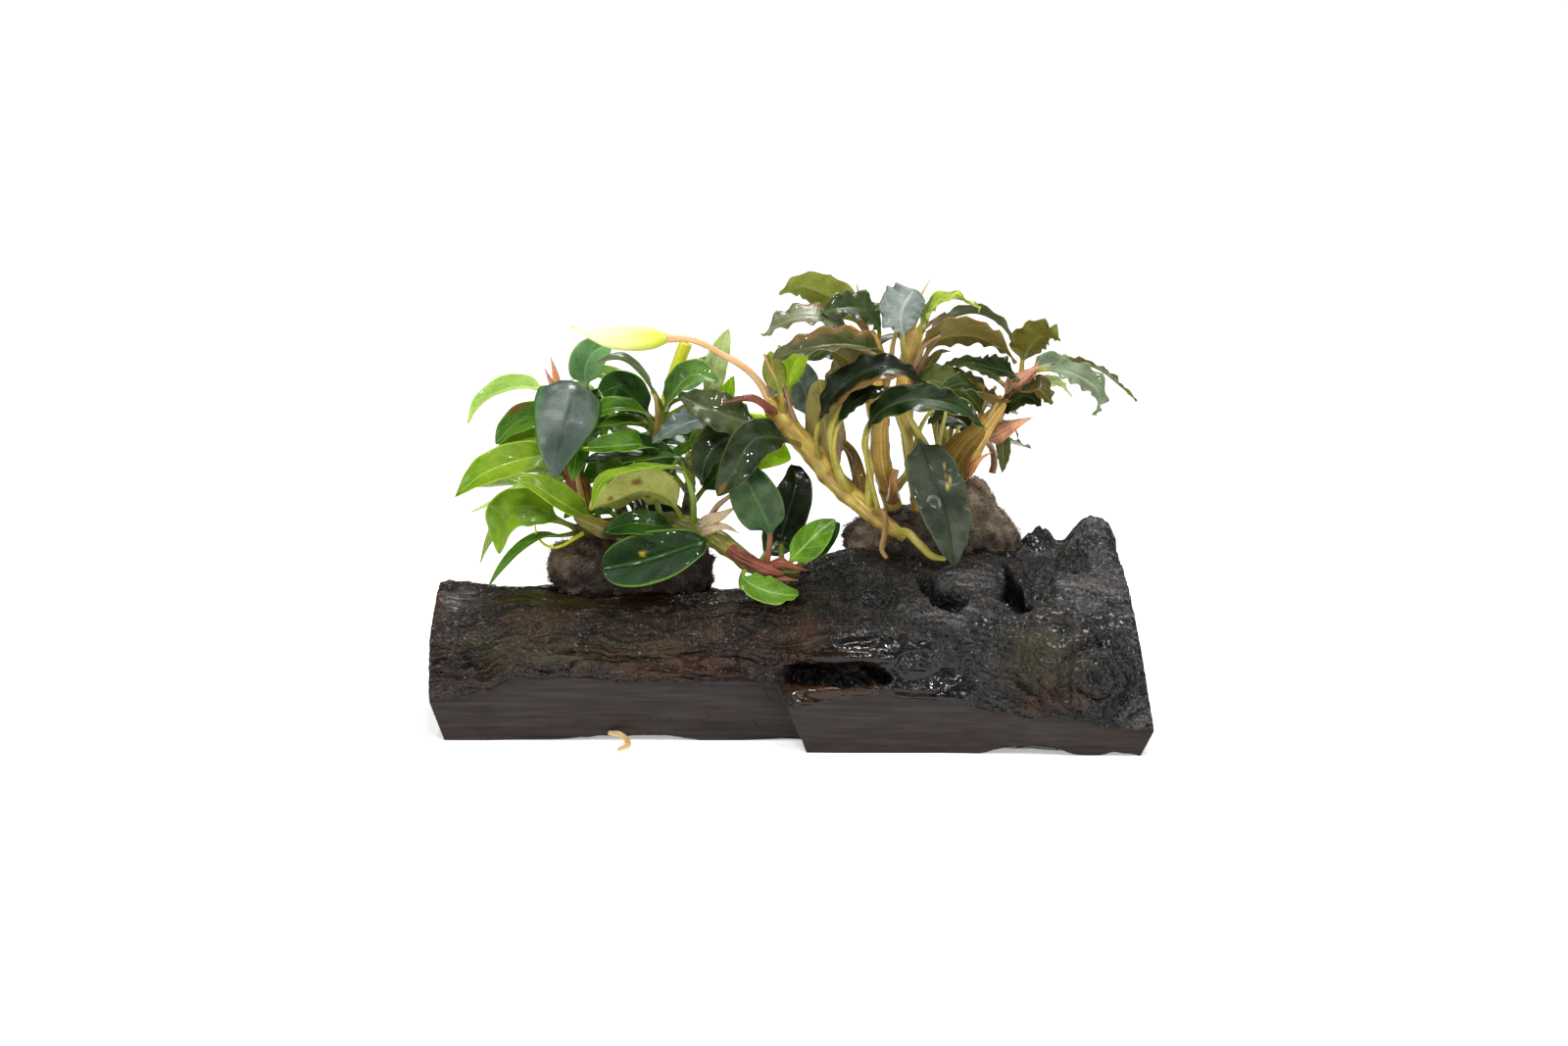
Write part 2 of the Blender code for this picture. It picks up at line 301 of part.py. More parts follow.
# Colour as red, green and blue, and roughness
FINISHES = {
    "wet_wood": ((0.028, 0.020, 0.015), 0.35),
    "fibre": ((0.115, 0.085, 0.062), 0.95),
    "lime": ((0.230, 0.420, 0.020), 0.35),
    "lime_gloss": ((0.180, 0.400, 0.015), 0.2),
    "lime_bright": ((0.350, 0.560, 0.020), 0.4),
    "mid_green": ((0.060, 0.180, 0.012), 0.3),
    "deep_green": ((0.018, 0.110, 0.012), 0.25),
    "dark_green": ((0.020, 0.070, 0.018), 0.25),
    "dark_gloss": ((0.020, 0.045, 0.025), 0.15),
    "black_green": ((0.008, 0.018, 0.012), 0.15),
    "blue_green": ((0.060, 0.150, 0.110), 0.25),
    "grey_green": ((0.180, 0.230, 0.210), 0.3),
    "pale_olive": ((0.280, 0.360, 0.180), 0.5),
    "olive_dark": ((0.060, 0.075, 0.025), 0.35),
    "olive_under": ((0.190, 0.190, 0.035), 0.5),
    "olive_brown": ((0.160, 0.120, 0.035), 0.5),
    "tan_under": ((0.300, 0.230, 0.080), 0.5),
    "olive_stem": ((0.230, 0.250, 0.050), 0.4),
    "yellow_stem": ((0.420, 0.380, 0.080), 0.4),
    "tan_stem": ((0.350, 0.240, 0.110), 0.5),
    "red_brown_stem": ((0.180, 0.060, 0.030), 0.45),
    "orange_stem": ((0.550, 0.260, 0.080), 0.4),
    "pale_spathe": ((0.800, 0.780, 0.250), 0.45),
    "cream_root": ((0.600, 0.450, 0.200), 0.5),
}


def blend(low, high, share):
    return low + (high - low) * share


def smooth_step(start, end, value):
    share = min(max((value - start) / (end - start), 0.0), 1.0)
    return share * share * (3 - 2 * share)


def read_profile(profile, x):
    places, heights = zip(*profile)
    return float(np.interp(x, places, heights))


def smooth_path(points, shares):
    # A Catmull-Rom curve through the points, read at shares of its length from 0 to 1.
    p = np.asarray(points, float)
    p = np.vstack([2 * p[0] - p[1], p, 2 * p[-1] - p[-2]])
    t = np.linspace(0, 1, 9)[:-1, None]
    runs = []
    for a, b, c, d in zip(p[:-3], p[1:-2], p[2:-1], p[3:]):
        runs.append(0.5 * (2 * b + (c - a) * t + (2 * a - 5 * b + 4 * c - d) * t**2
                           + (3 * b - a - 3 * c + d) * t**3))
    dense = np.vstack(runs + [p[-2:-1]])
    length = np.concatenate([[0], np.cumsum(np.linalg.norm(np.diff(dense, axis=0), axis=1))])
    wanted = np.asarray(shares) * length[-1]
    return np.column_stack([np.interp(wanted, length, dense[:, k]) for k in range(3)])


def finish_material(name):
    material = bpy.data.materials.get(name)
    if material:
        return material
    colour, roughness = FINISHES[name]
    material = bpy.data.materials.new(name)
    material.use_nodes = True
    shader = material.node_tree.nodes["Principled BSDF"]
    shader.inputs["Base Color"].default_value = (*colour, 1.0)
    shader.inputs["Roughness"].default_value = roughness
    shader.inputs["Metallic"].default_value = 0.0
    material.diffuse_color = (*colour, 1.0)
    return material


def add_object(name, data, finish, collection):
    obj = bpy.data.objects.new(name, data)
    collection.objects.link(obj)
    data.materials.append(finish_material(finish))
    return obj


def mesh_object(name, bm, finish, collection):
    mesh = bpy.data.meshes.new(name)
    bm.to_mesh(mesh)
    bm.free()
    return add_object(name, mesh, finish, collection)


def make_cutter(obj):
    obj.hide_render = True
    obj.display_type = "WIRE"
    return obj


def add_boolean(obj, operation, other):
    modifier = obj.modifiers.new(operation.title(), "BOOLEAN")
    modifier.operation = operation
    modifier.solver = "EXACT"
    modifier.object = other


def wood_section(x, past_step, grow):
    # One ring of the wood at x: the flat underside, the sawn facet, then the bark over the top.
    ease = smooth_step(-9, 14, x)
    front = blend(RIGHT_FRONT, END_FRONT, smooth_step(30, 60, x)) if past_step else LEFT_FRONT
    facet = read_profile(FACET_RIGHT if past_step else FACET_LEFT, x)
    bark_front = blend(LEFT_FRONT, front + 1.5, ease)
    crown = blend(LEFT_CROWN, RIGHT_CROWN, ease) + grow
    middle = (bark_front + WOOD_BACK) / 2
    reach = (WOOD_BACK - bark_front) / 2 + grow
    ring = [(front - grow, 0.0), (front - grow, facet * 0.5), (front + 0.4 - grow, facet)]
    for k in range(BARK_POINTS):
        turn = math.pi * (k + 0.35) / (BARK_POINTS - 0.3)
        foot = blend(facet + 1.2, BACK_FLANK, k / (BARK_POINTS - 1))
        rise = (crown - (facet + BACK_FLANK) / 2) * math.sin(turn) ** 0.8
        swell = 0.5 * math.sin(x / 6.1 + 1.3 * k) + 0.4 * math.sin(x / 3.7 - 0.8 * k)
        ring.append((middle - reach * math.cos(turn), foot + rise + swell * math.sin(turn)))
    ring.append((WOOD_BACK - 1.5 + grow, 0.0))
    ring.append((0.0, 0.0))
    return ring


def wood_sheer(x, z, past_step):
    # How far a point of a station is pushed along the wood by the saw cuts and the slanting step.
    if x == WOOD_LEFT:
        return LEFT_CORNER[0] * max(0.0, 1 - z / LEFT_CORNER[1])
    if x == WOOD_RIGHT:
        return -RIGHT_CORNER[0] * max(0.0, 1 - z / RIGHT_CORNER[1]) - END_SLANT * z
    near_step = max(0.0, 1 - abs(x - STEP_AT) / 8)
    lean = STEP_SLANT * max(0.0, 1 - z / 12) * near_step
    return lean - END_SLANT * z * smooth_step(30, WOOD_RIGHT, x) * past_step


def wood_mesh(grow=0.0):
    # A loft through unlike sections, from the left saw cut to the right one.
    stations = [(x, False) for x in np.linspace(WOOD_LEFT, STEP_AT - 6, STATIONS_LEFT)]
    stations += [(STEP_AT - 0.6, False), (STEP_AT + 0.6, True)]
    stations += [(x, True) for x in np.linspace(STEP_AT + 6, WOOD_RIGHT, STATIONS_RIGHT)]
    bm = bmesh.new()
    rings = []
    for x, past_step in stations:
        ring = wood_section(x, past_step, grow)
        rings.append([bm.verts.new((x + wood_sheer(x, z, past_step), y, z)) for y, z in ring])
    count = len(rings[0])
    for ring, following in zip(rings, rings[1:]):
        for k in range(count):
            m = (k + 1) % count
            bm.faces.new((ring[k], ring[m], following[m], following[k]))
    bm.faces.new(rings[0])
    bm.faces.new(rings[-1])
    bmesh.ops.triangulate(bm, faces=bm.faces)
    bmesh.ops.recalc_face_normals(bm, faces=bm.faces)
    bmesh.ops.scale(bm, vec=(MM, MM, MM), verts=bm.verts)
    return bm


def ball_mesh(centre, half_sizes, detail):
    bm = bmesh.new()
    bmesh.ops.create_icosphere(bm, subdivisions=detail, radius=1.0)
    bmesh.ops.scale(bm, vec=Vector(half_sizes) * MM, verts=bm.verts)
    bmesh.ops.translate(bm, vec=Vector(centre) * MM, verts=bm.verts)
    return bm


def make_driftwood(parts, cutters):
    wood = mesh_object("driftwood", wood_mesh(), "wet_wood", parts)
    for name, (centre, half_sizes) in STUBS.items():
        stub = mesh_object(name, ball_mesh(centre, half_sizes, 2), "wet_wood", cutters)
        add_boolean(wood, "UNION", make_cutter(stub))
    for name, (centre, half_sizes) in PITS.items():
        pit = mesh_object(name, ball_mesh(centre, half_sizes, 2), "wet_wood", cutters)
        add_boolean(wood, "DIFFERENCE", make_cutter(pit))


def make_plugs(parts, cutters):
    # Each plug is a squared ball with lumpy sides, cut to sit just over the wood.
    seat = make_cutter(mesh_object("plug_seat", wood_mesh(GAP), "wet_wood", cutters))
    for name, (centre, half_sizes, (hump, hump_at, hump_reach)) in PLUGS.items():
        bm = bmesh.new()
        bmesh.ops.create_uvsphere(bm, u_segments=16, v_segments=9, radius=1.0)
        for vert in bm.verts:
            squared = [math.copysign(abs(c) ** PLUG_SQUARE, c) for c in vert.co]
            lump = 1 + 0.05 * math.sin(7 * squared[0]) * math.cos(6 * squared[1])
            place = [c * half * lump for c, half in zip(squared, half_sizes)]
            swell = math.exp(-(((place[0] - hump_at) / hump_reach) ** 2))
            place[2] += hump * swell * max(squared[2], 0.0)
            vert.co = (Vector(centre) + Vector(place)) * MM
        plug = mesh_object(name, bm, "fibre", parts)
        add_boolean(plug, "DIFFERENCE", seat)


def tube_mesh(name, points, radii):
    # A poly curve with a round bevel and filled caps, evaluated and welded to one closed mesh.
    curve = bpy.data.curves.new(name, "CURVE")
    curve.dimensions = "3D"
    curve.bevel_depth = MM
    curve.bevel_resolution = 2
    curve.use_fill_caps = True
    spline = curve.splines.new("POLY")
    spline.points.add(len(points) - 1)
    for point, place, radius in zip(spline.points, points, radii):
        point.co = (*(Vector(place) * MM), 1.0)
        point.radius = radius
    guide = bpy.data.objects.new(name, curve)
    bpy.context.scene.collection.objects.link(guide)
    bpy.context.view_layer.update()
    graph = bpy.context.evaluated_depsgraph_get()
    mesh = bpy.data.meshes.new_from_object(guide.evaluated_get(graph))
    bpy.data.objects.remove(guide)
    bpy.data.curves.remove(curve)
    bm = bmesh.new()
    bm.from_mesh(mesh)
    bpy.data.meshes.remove(mesh)
    bmesh.ops.remove_doubles(bm, verts=bm.verts, dist=0.00002)
    bmesh.ops.recalc_face_normals(bm, faces=bm.faces)
    return bm


def stem_line(stem, count):
    foot, tip = STEMS[stem][1:3]
    shares = np.linspace(0, 1, count)
    return smooth_path(STEMS[stem][3], shares), blend(foot, tip, shares)


def base_on_stem(stem, near, toward, clear):
    # The point of the stem's skin nearest to the midrib's first point, moved out by clear.
    line, radii = stem_line(stem, 60)
    place = int(np.argmin(np.linalg.norm(line - np.asarray(near, float), axis=1)))
    along = line[min(place + 1, 59)] - line[max(place - 1, 0)]
    along /= np.linalg.norm(along)
    out = np.asarray(toward, float) - line[place]
    out -= along * (out @ along)
    out /= np.linalg.norm(out)
    return line[place] + out * (radii[place] + clear)


def leaf_half_width(share, width, stalk):
    # The petiole is a narrow strip; past it the outline is a skewed, full sine.
    if share < stalk:
        return PETIOLE_HALF
    along = (share - stalk) / (1 - stalk)
    round_part = width / 2 * math.sin(math.pi * min(along, 1.0) ** OUTLINE_SKEW) ** OUTLINE_FULL
    return max(round_part, blend(PETIOLE_HALF, TIP_HALF, along))


def leaf_sheet(name, size, facing, midrib, grid, finish, collection):
    # A grid bent along the midrib, folded about it, and given a thickness.
    # Rows stand at the base, at the end of the petiole, and closer together towards the tip.
    width, stalk, fold = size
    columns, rows = grid
    blade = np.sin(np.linspace(0, math.pi / 2, rows))
    shares = np.concatenate([[0.0], stalk + (1 - stalk) * blade])
    line = smooth_path(midrib, shares)
    ahead = smooth_path(midrib, np.minimum(shares + 0.02, 1))
    behind = smooth_path(midrib, np.maximum(shares - 0.02, 0))
    level = np.cross(line[-1] - line[1], facing)
    level /= np.linalg.norm(level)
    bm = bmesh.new()
    bmesh.ops.create_grid(bm, x_segments=columns, y_segments=rows, size=1.0)
    tilt = math.radians(fold)
    for vert in bm.verts:
        side = vert.co.x
        row = round((vert.co.y + 1) / 2 * rows)
        along = ahead[row] - behind[row]
        along /= np.linalg.norm(along)
        across = level - along * (level @ along)
        across /= np.linalg.norm(across)
        up = np.cross(across, along)
        half = leaf_half_width(shares[row], width, stalk)
        shift = across * (side * math.cos(tilt)) + up * (abs(side) * math.sin(tilt))
        vert.co = (line[row] + shift * half) * MM
    bmesh.ops.recalc_face_normals(bm, faces=bm.faces)
    leaf = mesh_object(name, bm, finish, collection)
    wall = leaf.modifiers.new("Solidify", "SOLIDIFY")
    wall.thickness = LEAF_THICK * MM
    wall.offset = 0.0
    wall.use_even_offset = False
    return leaf


def make_leaves(parts):
    for name, (stem, finish, width, stalk, fold, facing, midrib) in LEAVES.items():
        base = base_on_stem(stem, midrib[0], midrib[1], GAP + 0.15)
        line = [tuple(base)] + midrib[1:]
        leaf_sheet(name, (width, stalk, fold), facing, line, (2, len(midrib)), finish, parts)


def far_leaf_lines(stem):
    # Arching midribs in a fan behind the stem, each higher up than the one before.
    count, length, width, lean = FAR_LEAVES[stem]
    line, _ = stem_line(stem, count + 5)
    for k in range(count):
        turn = math.radians(90 - FAR_SPREAD / 2 + FAR_SPREAD * ((k * GOLDEN_ANGLE / 360) % 1))
        heading = np.array([math.cos(turn), math.sin(turn), 0.0])
        rise = np.array([0.0, 0.0, length * FAR_RISES[k % 3]])
        foot = line[k + 3]
        midrib = [foot, foot + heading * length * 0.2 + rise * 0.6, foot + heading * length * 0.5 + rise,
                  foot + heading * length + rise * 0.6]
        facing = np.array([0, 0, 1.0]) + heading * math.sin(math.radians(lean))
        yield f"{stem}_leaf_{k + 1}", width, FAR_PETIOLE, 12, facing, midrib


def make_stems(parts, cutters):
    # Each stem is a tapering tube, and its small leaves are fused to it.
    for name, (finish, _, _, points) in STEMS.items():
        line, radii = stem_line(name, len(points))
        stem = mesh_object(name, tube_mesh(name, line, radii), finish, parts)
        grown = []
        for small, (carrier, width, stalk, fold, facing, midrib) in SMALL_LEAVES.items():
            if carrier == name:
                base = base_on_stem(name, midrib[0], midrib[1], -0.8)
                grown.append((small, width, stalk, fold, facing, [tuple(base)] + midrib[1:]))
        if name in FAR_LEAVES:
            grown.extend(far_leaf_lines(name))
        for small, width, stalk, fold, facing, midrib in grown:
            grid = (2 if width > WIDE_ENOUGH_TO_FOLD else 1, len(midrib))
            leaf = leaf_sheet(small, (width, stalk, fold), facing, midrib, grid, finish, cutters)
            add_boolean(stem, "UNION", make_cutter(leaf))
        if grown:
            weld = stem.modifiers.new("Weld", "WELD")
            weld.merge_threshold = WELD_REACH


def make_tubes(parts):
    for name, (finish, carrier, radii, points) in TUBES.items():
        points = list(points)
        if carrier:
            points[0] = tuple(base_on_stem(carrier, points[0], points[1], radii[0] * 0.3 + GAP))
        shares = np.linspace(0, 1, len(points) + 2)
        wide = np.interp(shares, np.linspace(0, 1, len(radii)), radii)
        mesh_object(name, tube_mesh(name, smooth_path(points, shares), wide), finish, parts)


def shade_smooth(parts):
    for obj in parts.objects:
        obj.data.shade_smooth()
        obj.data.set_sharp_from_angle(angle=math.radians(40))


def main():
    for obj in list(bpy.data.objects):
        bpy.data.objects.remove(obj, do_unlink=True)
    parts = bpy.data.collections.new("bucephalandra_on_driftwood")
    cutters = bpy.data.collections.new("cutters")
    bpy.context.scene.collection.children.link(parts)
    bpy.context.scene.collection.children.link(cutters)
    make_driftwood(parts, cutters)
    make_plugs(parts, cutters)
    make_stems(parts, cutters)
    make_leaves(parts)
    make_tubes(parts)
    shade_smooth(parts)


main()
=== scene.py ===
import math

import bpy
import numpy as np
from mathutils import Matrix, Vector


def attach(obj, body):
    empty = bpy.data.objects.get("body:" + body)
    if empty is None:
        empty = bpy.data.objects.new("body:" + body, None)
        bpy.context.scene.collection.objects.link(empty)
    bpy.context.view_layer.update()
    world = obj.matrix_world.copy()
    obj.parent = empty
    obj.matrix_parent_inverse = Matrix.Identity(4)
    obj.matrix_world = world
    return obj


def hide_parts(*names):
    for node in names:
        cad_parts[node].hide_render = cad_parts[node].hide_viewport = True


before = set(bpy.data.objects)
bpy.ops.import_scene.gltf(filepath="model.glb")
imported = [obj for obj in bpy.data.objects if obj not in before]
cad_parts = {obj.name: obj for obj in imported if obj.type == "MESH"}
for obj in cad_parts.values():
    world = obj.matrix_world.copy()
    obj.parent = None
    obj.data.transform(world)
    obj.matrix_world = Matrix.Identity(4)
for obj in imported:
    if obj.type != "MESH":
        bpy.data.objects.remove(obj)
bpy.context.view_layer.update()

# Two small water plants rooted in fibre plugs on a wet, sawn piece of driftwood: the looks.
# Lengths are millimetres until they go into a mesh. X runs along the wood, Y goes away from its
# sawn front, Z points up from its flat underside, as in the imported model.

mm = 0.001


def smoothStep(start, end, value):
    # 0 before start, 1 past end, and 3s² − 2s³ between them
    share = np.clip((np.asarray(value, float) - start) / (end - start), 0, 1)
    return share * share * (3 - 2 * share)


def blend(low, high, share):
    return low + (high - low) * share


def latticeNoise(points, seed):
    # Value noise from −1 to 1: a hashed height at each whole-number corner, blended by 3s² − 2s³.
    corner = np.floor(points).astype(np.int64)
    share = points - corner
    share = share * share * (3 - 2 * share)
    total = np.zeros(points.shape[:-1])
    for step in range(8):
        bits = np.array([step & 1, step >> 1 & 1, step >> 2 & 1])
        cell = corner + bits
        mixed = cell[..., 0] * 73856093 ^ cell[..., 1] * 19349663 ^ cell[..., 2] * 83492791 ^ seed * 2654435
        mixed = (mixed ^ mixed >> 13) * 1274126177 & 0x7FFFFFFF
        mixed = (mixed ^ mixed >> 15) * 668265263 & 0x7FFFFFFF
        weight = np.prod(np.where(bits, share, 1 - share), axis=-1)
        total += weight * (mixed % 65536 / 32767.5 - 1)
    return total


def layeredNoise(points, seed, layers, fade=0.5):
    # Each layer is twice as fine and fade times as strong as the one before.
    total = 0
    for k in range(layers):
        total = total + latticeNoise(points * 2**k + 17.3 * k, seed + k) * fade**k
    return total


def together(*parts):
    # Arrays spread to one shape and stacked as coordinates
    return np.stack(np.broadcast_arrays(*parts), axis=-1)


def smoothPath(points, shares):
    # Catmull-Rom curve through the points, read at shares of its length from 0 to 1.
    p = np.asarray(points, float)
    p = np.vstack([2 * p[0] - p[1], p, 2 * p[-1] - p[-2]])
    t = np.linspace(0, 1, 17)[:-1, None]
    runs = []
    for a, b, c, d in zip(p[:-3], p[1:-2], p[2:-1], p[3:]):
        runs.append(0.5 * (2 * b + (c - a) * t + (2 * a - 5 * b + 4 * c - d) * t**2
                           + (3 * b - a - 3 * c + d) * t**3))
    dense = np.vstack(runs + [p[-2:-1]])
    length = np.concatenate([[0], np.cumsum(np.linalg.norm(np.diff(dense, axis=0), axis=1))])
    wanted = np.asarray(shares) * length[-1]
    return np.column_stack([np.interp(wanted, length, dense[:, k]) for k in range(3)])


def unit(vectors):
    return vectors / np.maximum(np.linalg.norm(vectors, axis=-1, keepdims=True), 1e-9)


def tubeFrames(line):
    # Across and up directions of a path, carried from point to point without twisting.
    along = unit(np.gradient(line, axis=0))
    across = np.empty_like(line)
    side = np.cross(along[0], (0, 0, 1))
    if np.linalg.norm(side) < 0.1:
        side = np.cross(along[0], (0, 1, 0))
    for k, way in enumerate(along):
        side = side - way * (side @ way)
        side = side / np.linalg.norm(side)
        across[k] = side
    return across, np.cross(across, along)


def meshPiece(name, points, faces, fields=None, uv=None):
    # Puts points in mm and faces into a mesh, with one value per point for each named field.
    mesh = bpy.data.meshes.new(name)
    mesh.from_pydata((np.asarray(points) * mm).tolist(), [], faces)
    mesh.update()
    for field, values in (fields or {}).items():
        layer = mesh.attributes.new(field, "FLOAT", "POINT")
        layer.data.foreach_set("value", np.asarray(values, np.float32))
    if uv is not None:
        corners = np.empty(len(mesh.loops), np.int32)
        mesh.loops.foreach_get("vertex_index", corners)
        layer = mesh.uv_layers.new(name="skin")
        layer.uv.foreach_set("vector", np.asarray(uv, np.float32)[corners].ravel())
    mesh.shade_smooth()
    piece = bpy.data.objects.new(name, mesh)
    bpy.context.scene.collection.objects.link(piece)
    return piece


def loftFaces(rows, around, first=0):
    # Quads between neighbouring rings, and a fan from the middle point of each end ring.
    row, spoke = np.meshgrid(np.arange(rows - 1), np.arange(around), indexing="ij")
    following = (spoke + 1) % around
    quads = np.stack([row * around + spoke, row * around + following, (row + 1) * around + following,
                      (row + 1) * around + spoke], axis=-1).reshape(-1, 4) + first
    spoke = np.arange(around)
    following = (spoke + 1) % around
    start = np.column_stack([np.full(around, rows * around), following, spoke]) + first
    last = (rows - 1) * around
    end = np.column_stack([np.full(around, rows * around + 1), last + spoke, last + following]) + first
    return quads.tolist() + start.tolist() + end.tolist()


def withPoles(values):
    # Rings of values as one list of points, with the mean of the first and the last ring added.
    flat = values.reshape(-1, *values.shape[2:])
    return np.concatenate([flat, values[:1].mean(axis=1), values[-1:].mean(axis=1)])


def loftPiece(name, rings, fields=None, uv=None):
    # A closed skin through rings of points; it is turned over if its volume comes out negative.
    rows, around = rings.shape[:2]
    points = withPoles(rings)
    faces = loftFaces(rows, around)
    middle = points.mean(axis=0)
    a, b = rings[:-1] - middle, rings[1:] - middle
    beside = np.roll(a, -1, axis=1)
    if np.einsum("ijk,ijk->", a, np.cross(beside, b)) < 0:
        faces = [face[::-1] for face in faces]
    fields = {field: withPoles(values) for field, values in (fields or {}).items()}
    return meshPiece(name, points, faces, fields, None if uv is None else withPoles(uv))


def dress(piece, material, slot, *nodes):
    # Gives a piece its material, hangs it on the root body and hides the CAD nodes that it stands for; the
    # slot is not used.
    piece.data.materials.append(material)
    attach(piece, "root")
    if nodes:
        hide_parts(*nodes)
    return piece


def srgb(hexText):
    # An sRGB hex colour as linear red, green, blue and alpha
    parts = np.array([int(hexText[k:k + 2], 16) for k in (1, 3, 5)]) / 255
    linear = np.where(parts <= 0.04045, parts / 12.92, ((parts + 0.055) / 1.055) ** 2.4)
    return (*linear.tolist(), 1.0)


def fill(tree, node, inputs):
    # Sets inputs: a node, by its first live output, or a socket is linked, and a hex colour made linear.
    for key, value in inputs.items():
        if isinstance(value, bpy.types.Node):
            value = next(socket for socket in value.outputs if socket.enabled)
        if isinstance(value, bpy.types.NodeSocket):
            tree.links.new(value, node.inputs[key])
        else:
            node.inputs[key].default_value = srgb(value) if isinstance(value, str) else value


def addNode(tree, kind, inputs=None, stops=None, **settings):
    # Adds one shader node: settings are its own, inputs are what fill takes, stops are a ramp's.
    node = tree.nodes.new("ShaderNode" + kind)
    for key, value in settings.items():
        setattr(node, key, value)
    fill(tree, node, inputs or {})
    for k, (place, colour) in enumerate(stops or ()):
        element = node.color_ramp.elements[k] if k < 2 else node.color_ramp.elements.new(place)
        element.position = place
        element.color = srgb(colour)
    return node


def newMaterial(name):
    # An empty material with its Principled shader, and the Object coordinates that patterns use
    material = bpy.data.materials.new(name)
    material.use_nodes = True
    tree = material.node_tree
    shader = tree.nodes["Principled BSDF"]
    coords = addNode(tree, "TexCoord").outputs["Object"]
    return material, tree, shader, coords


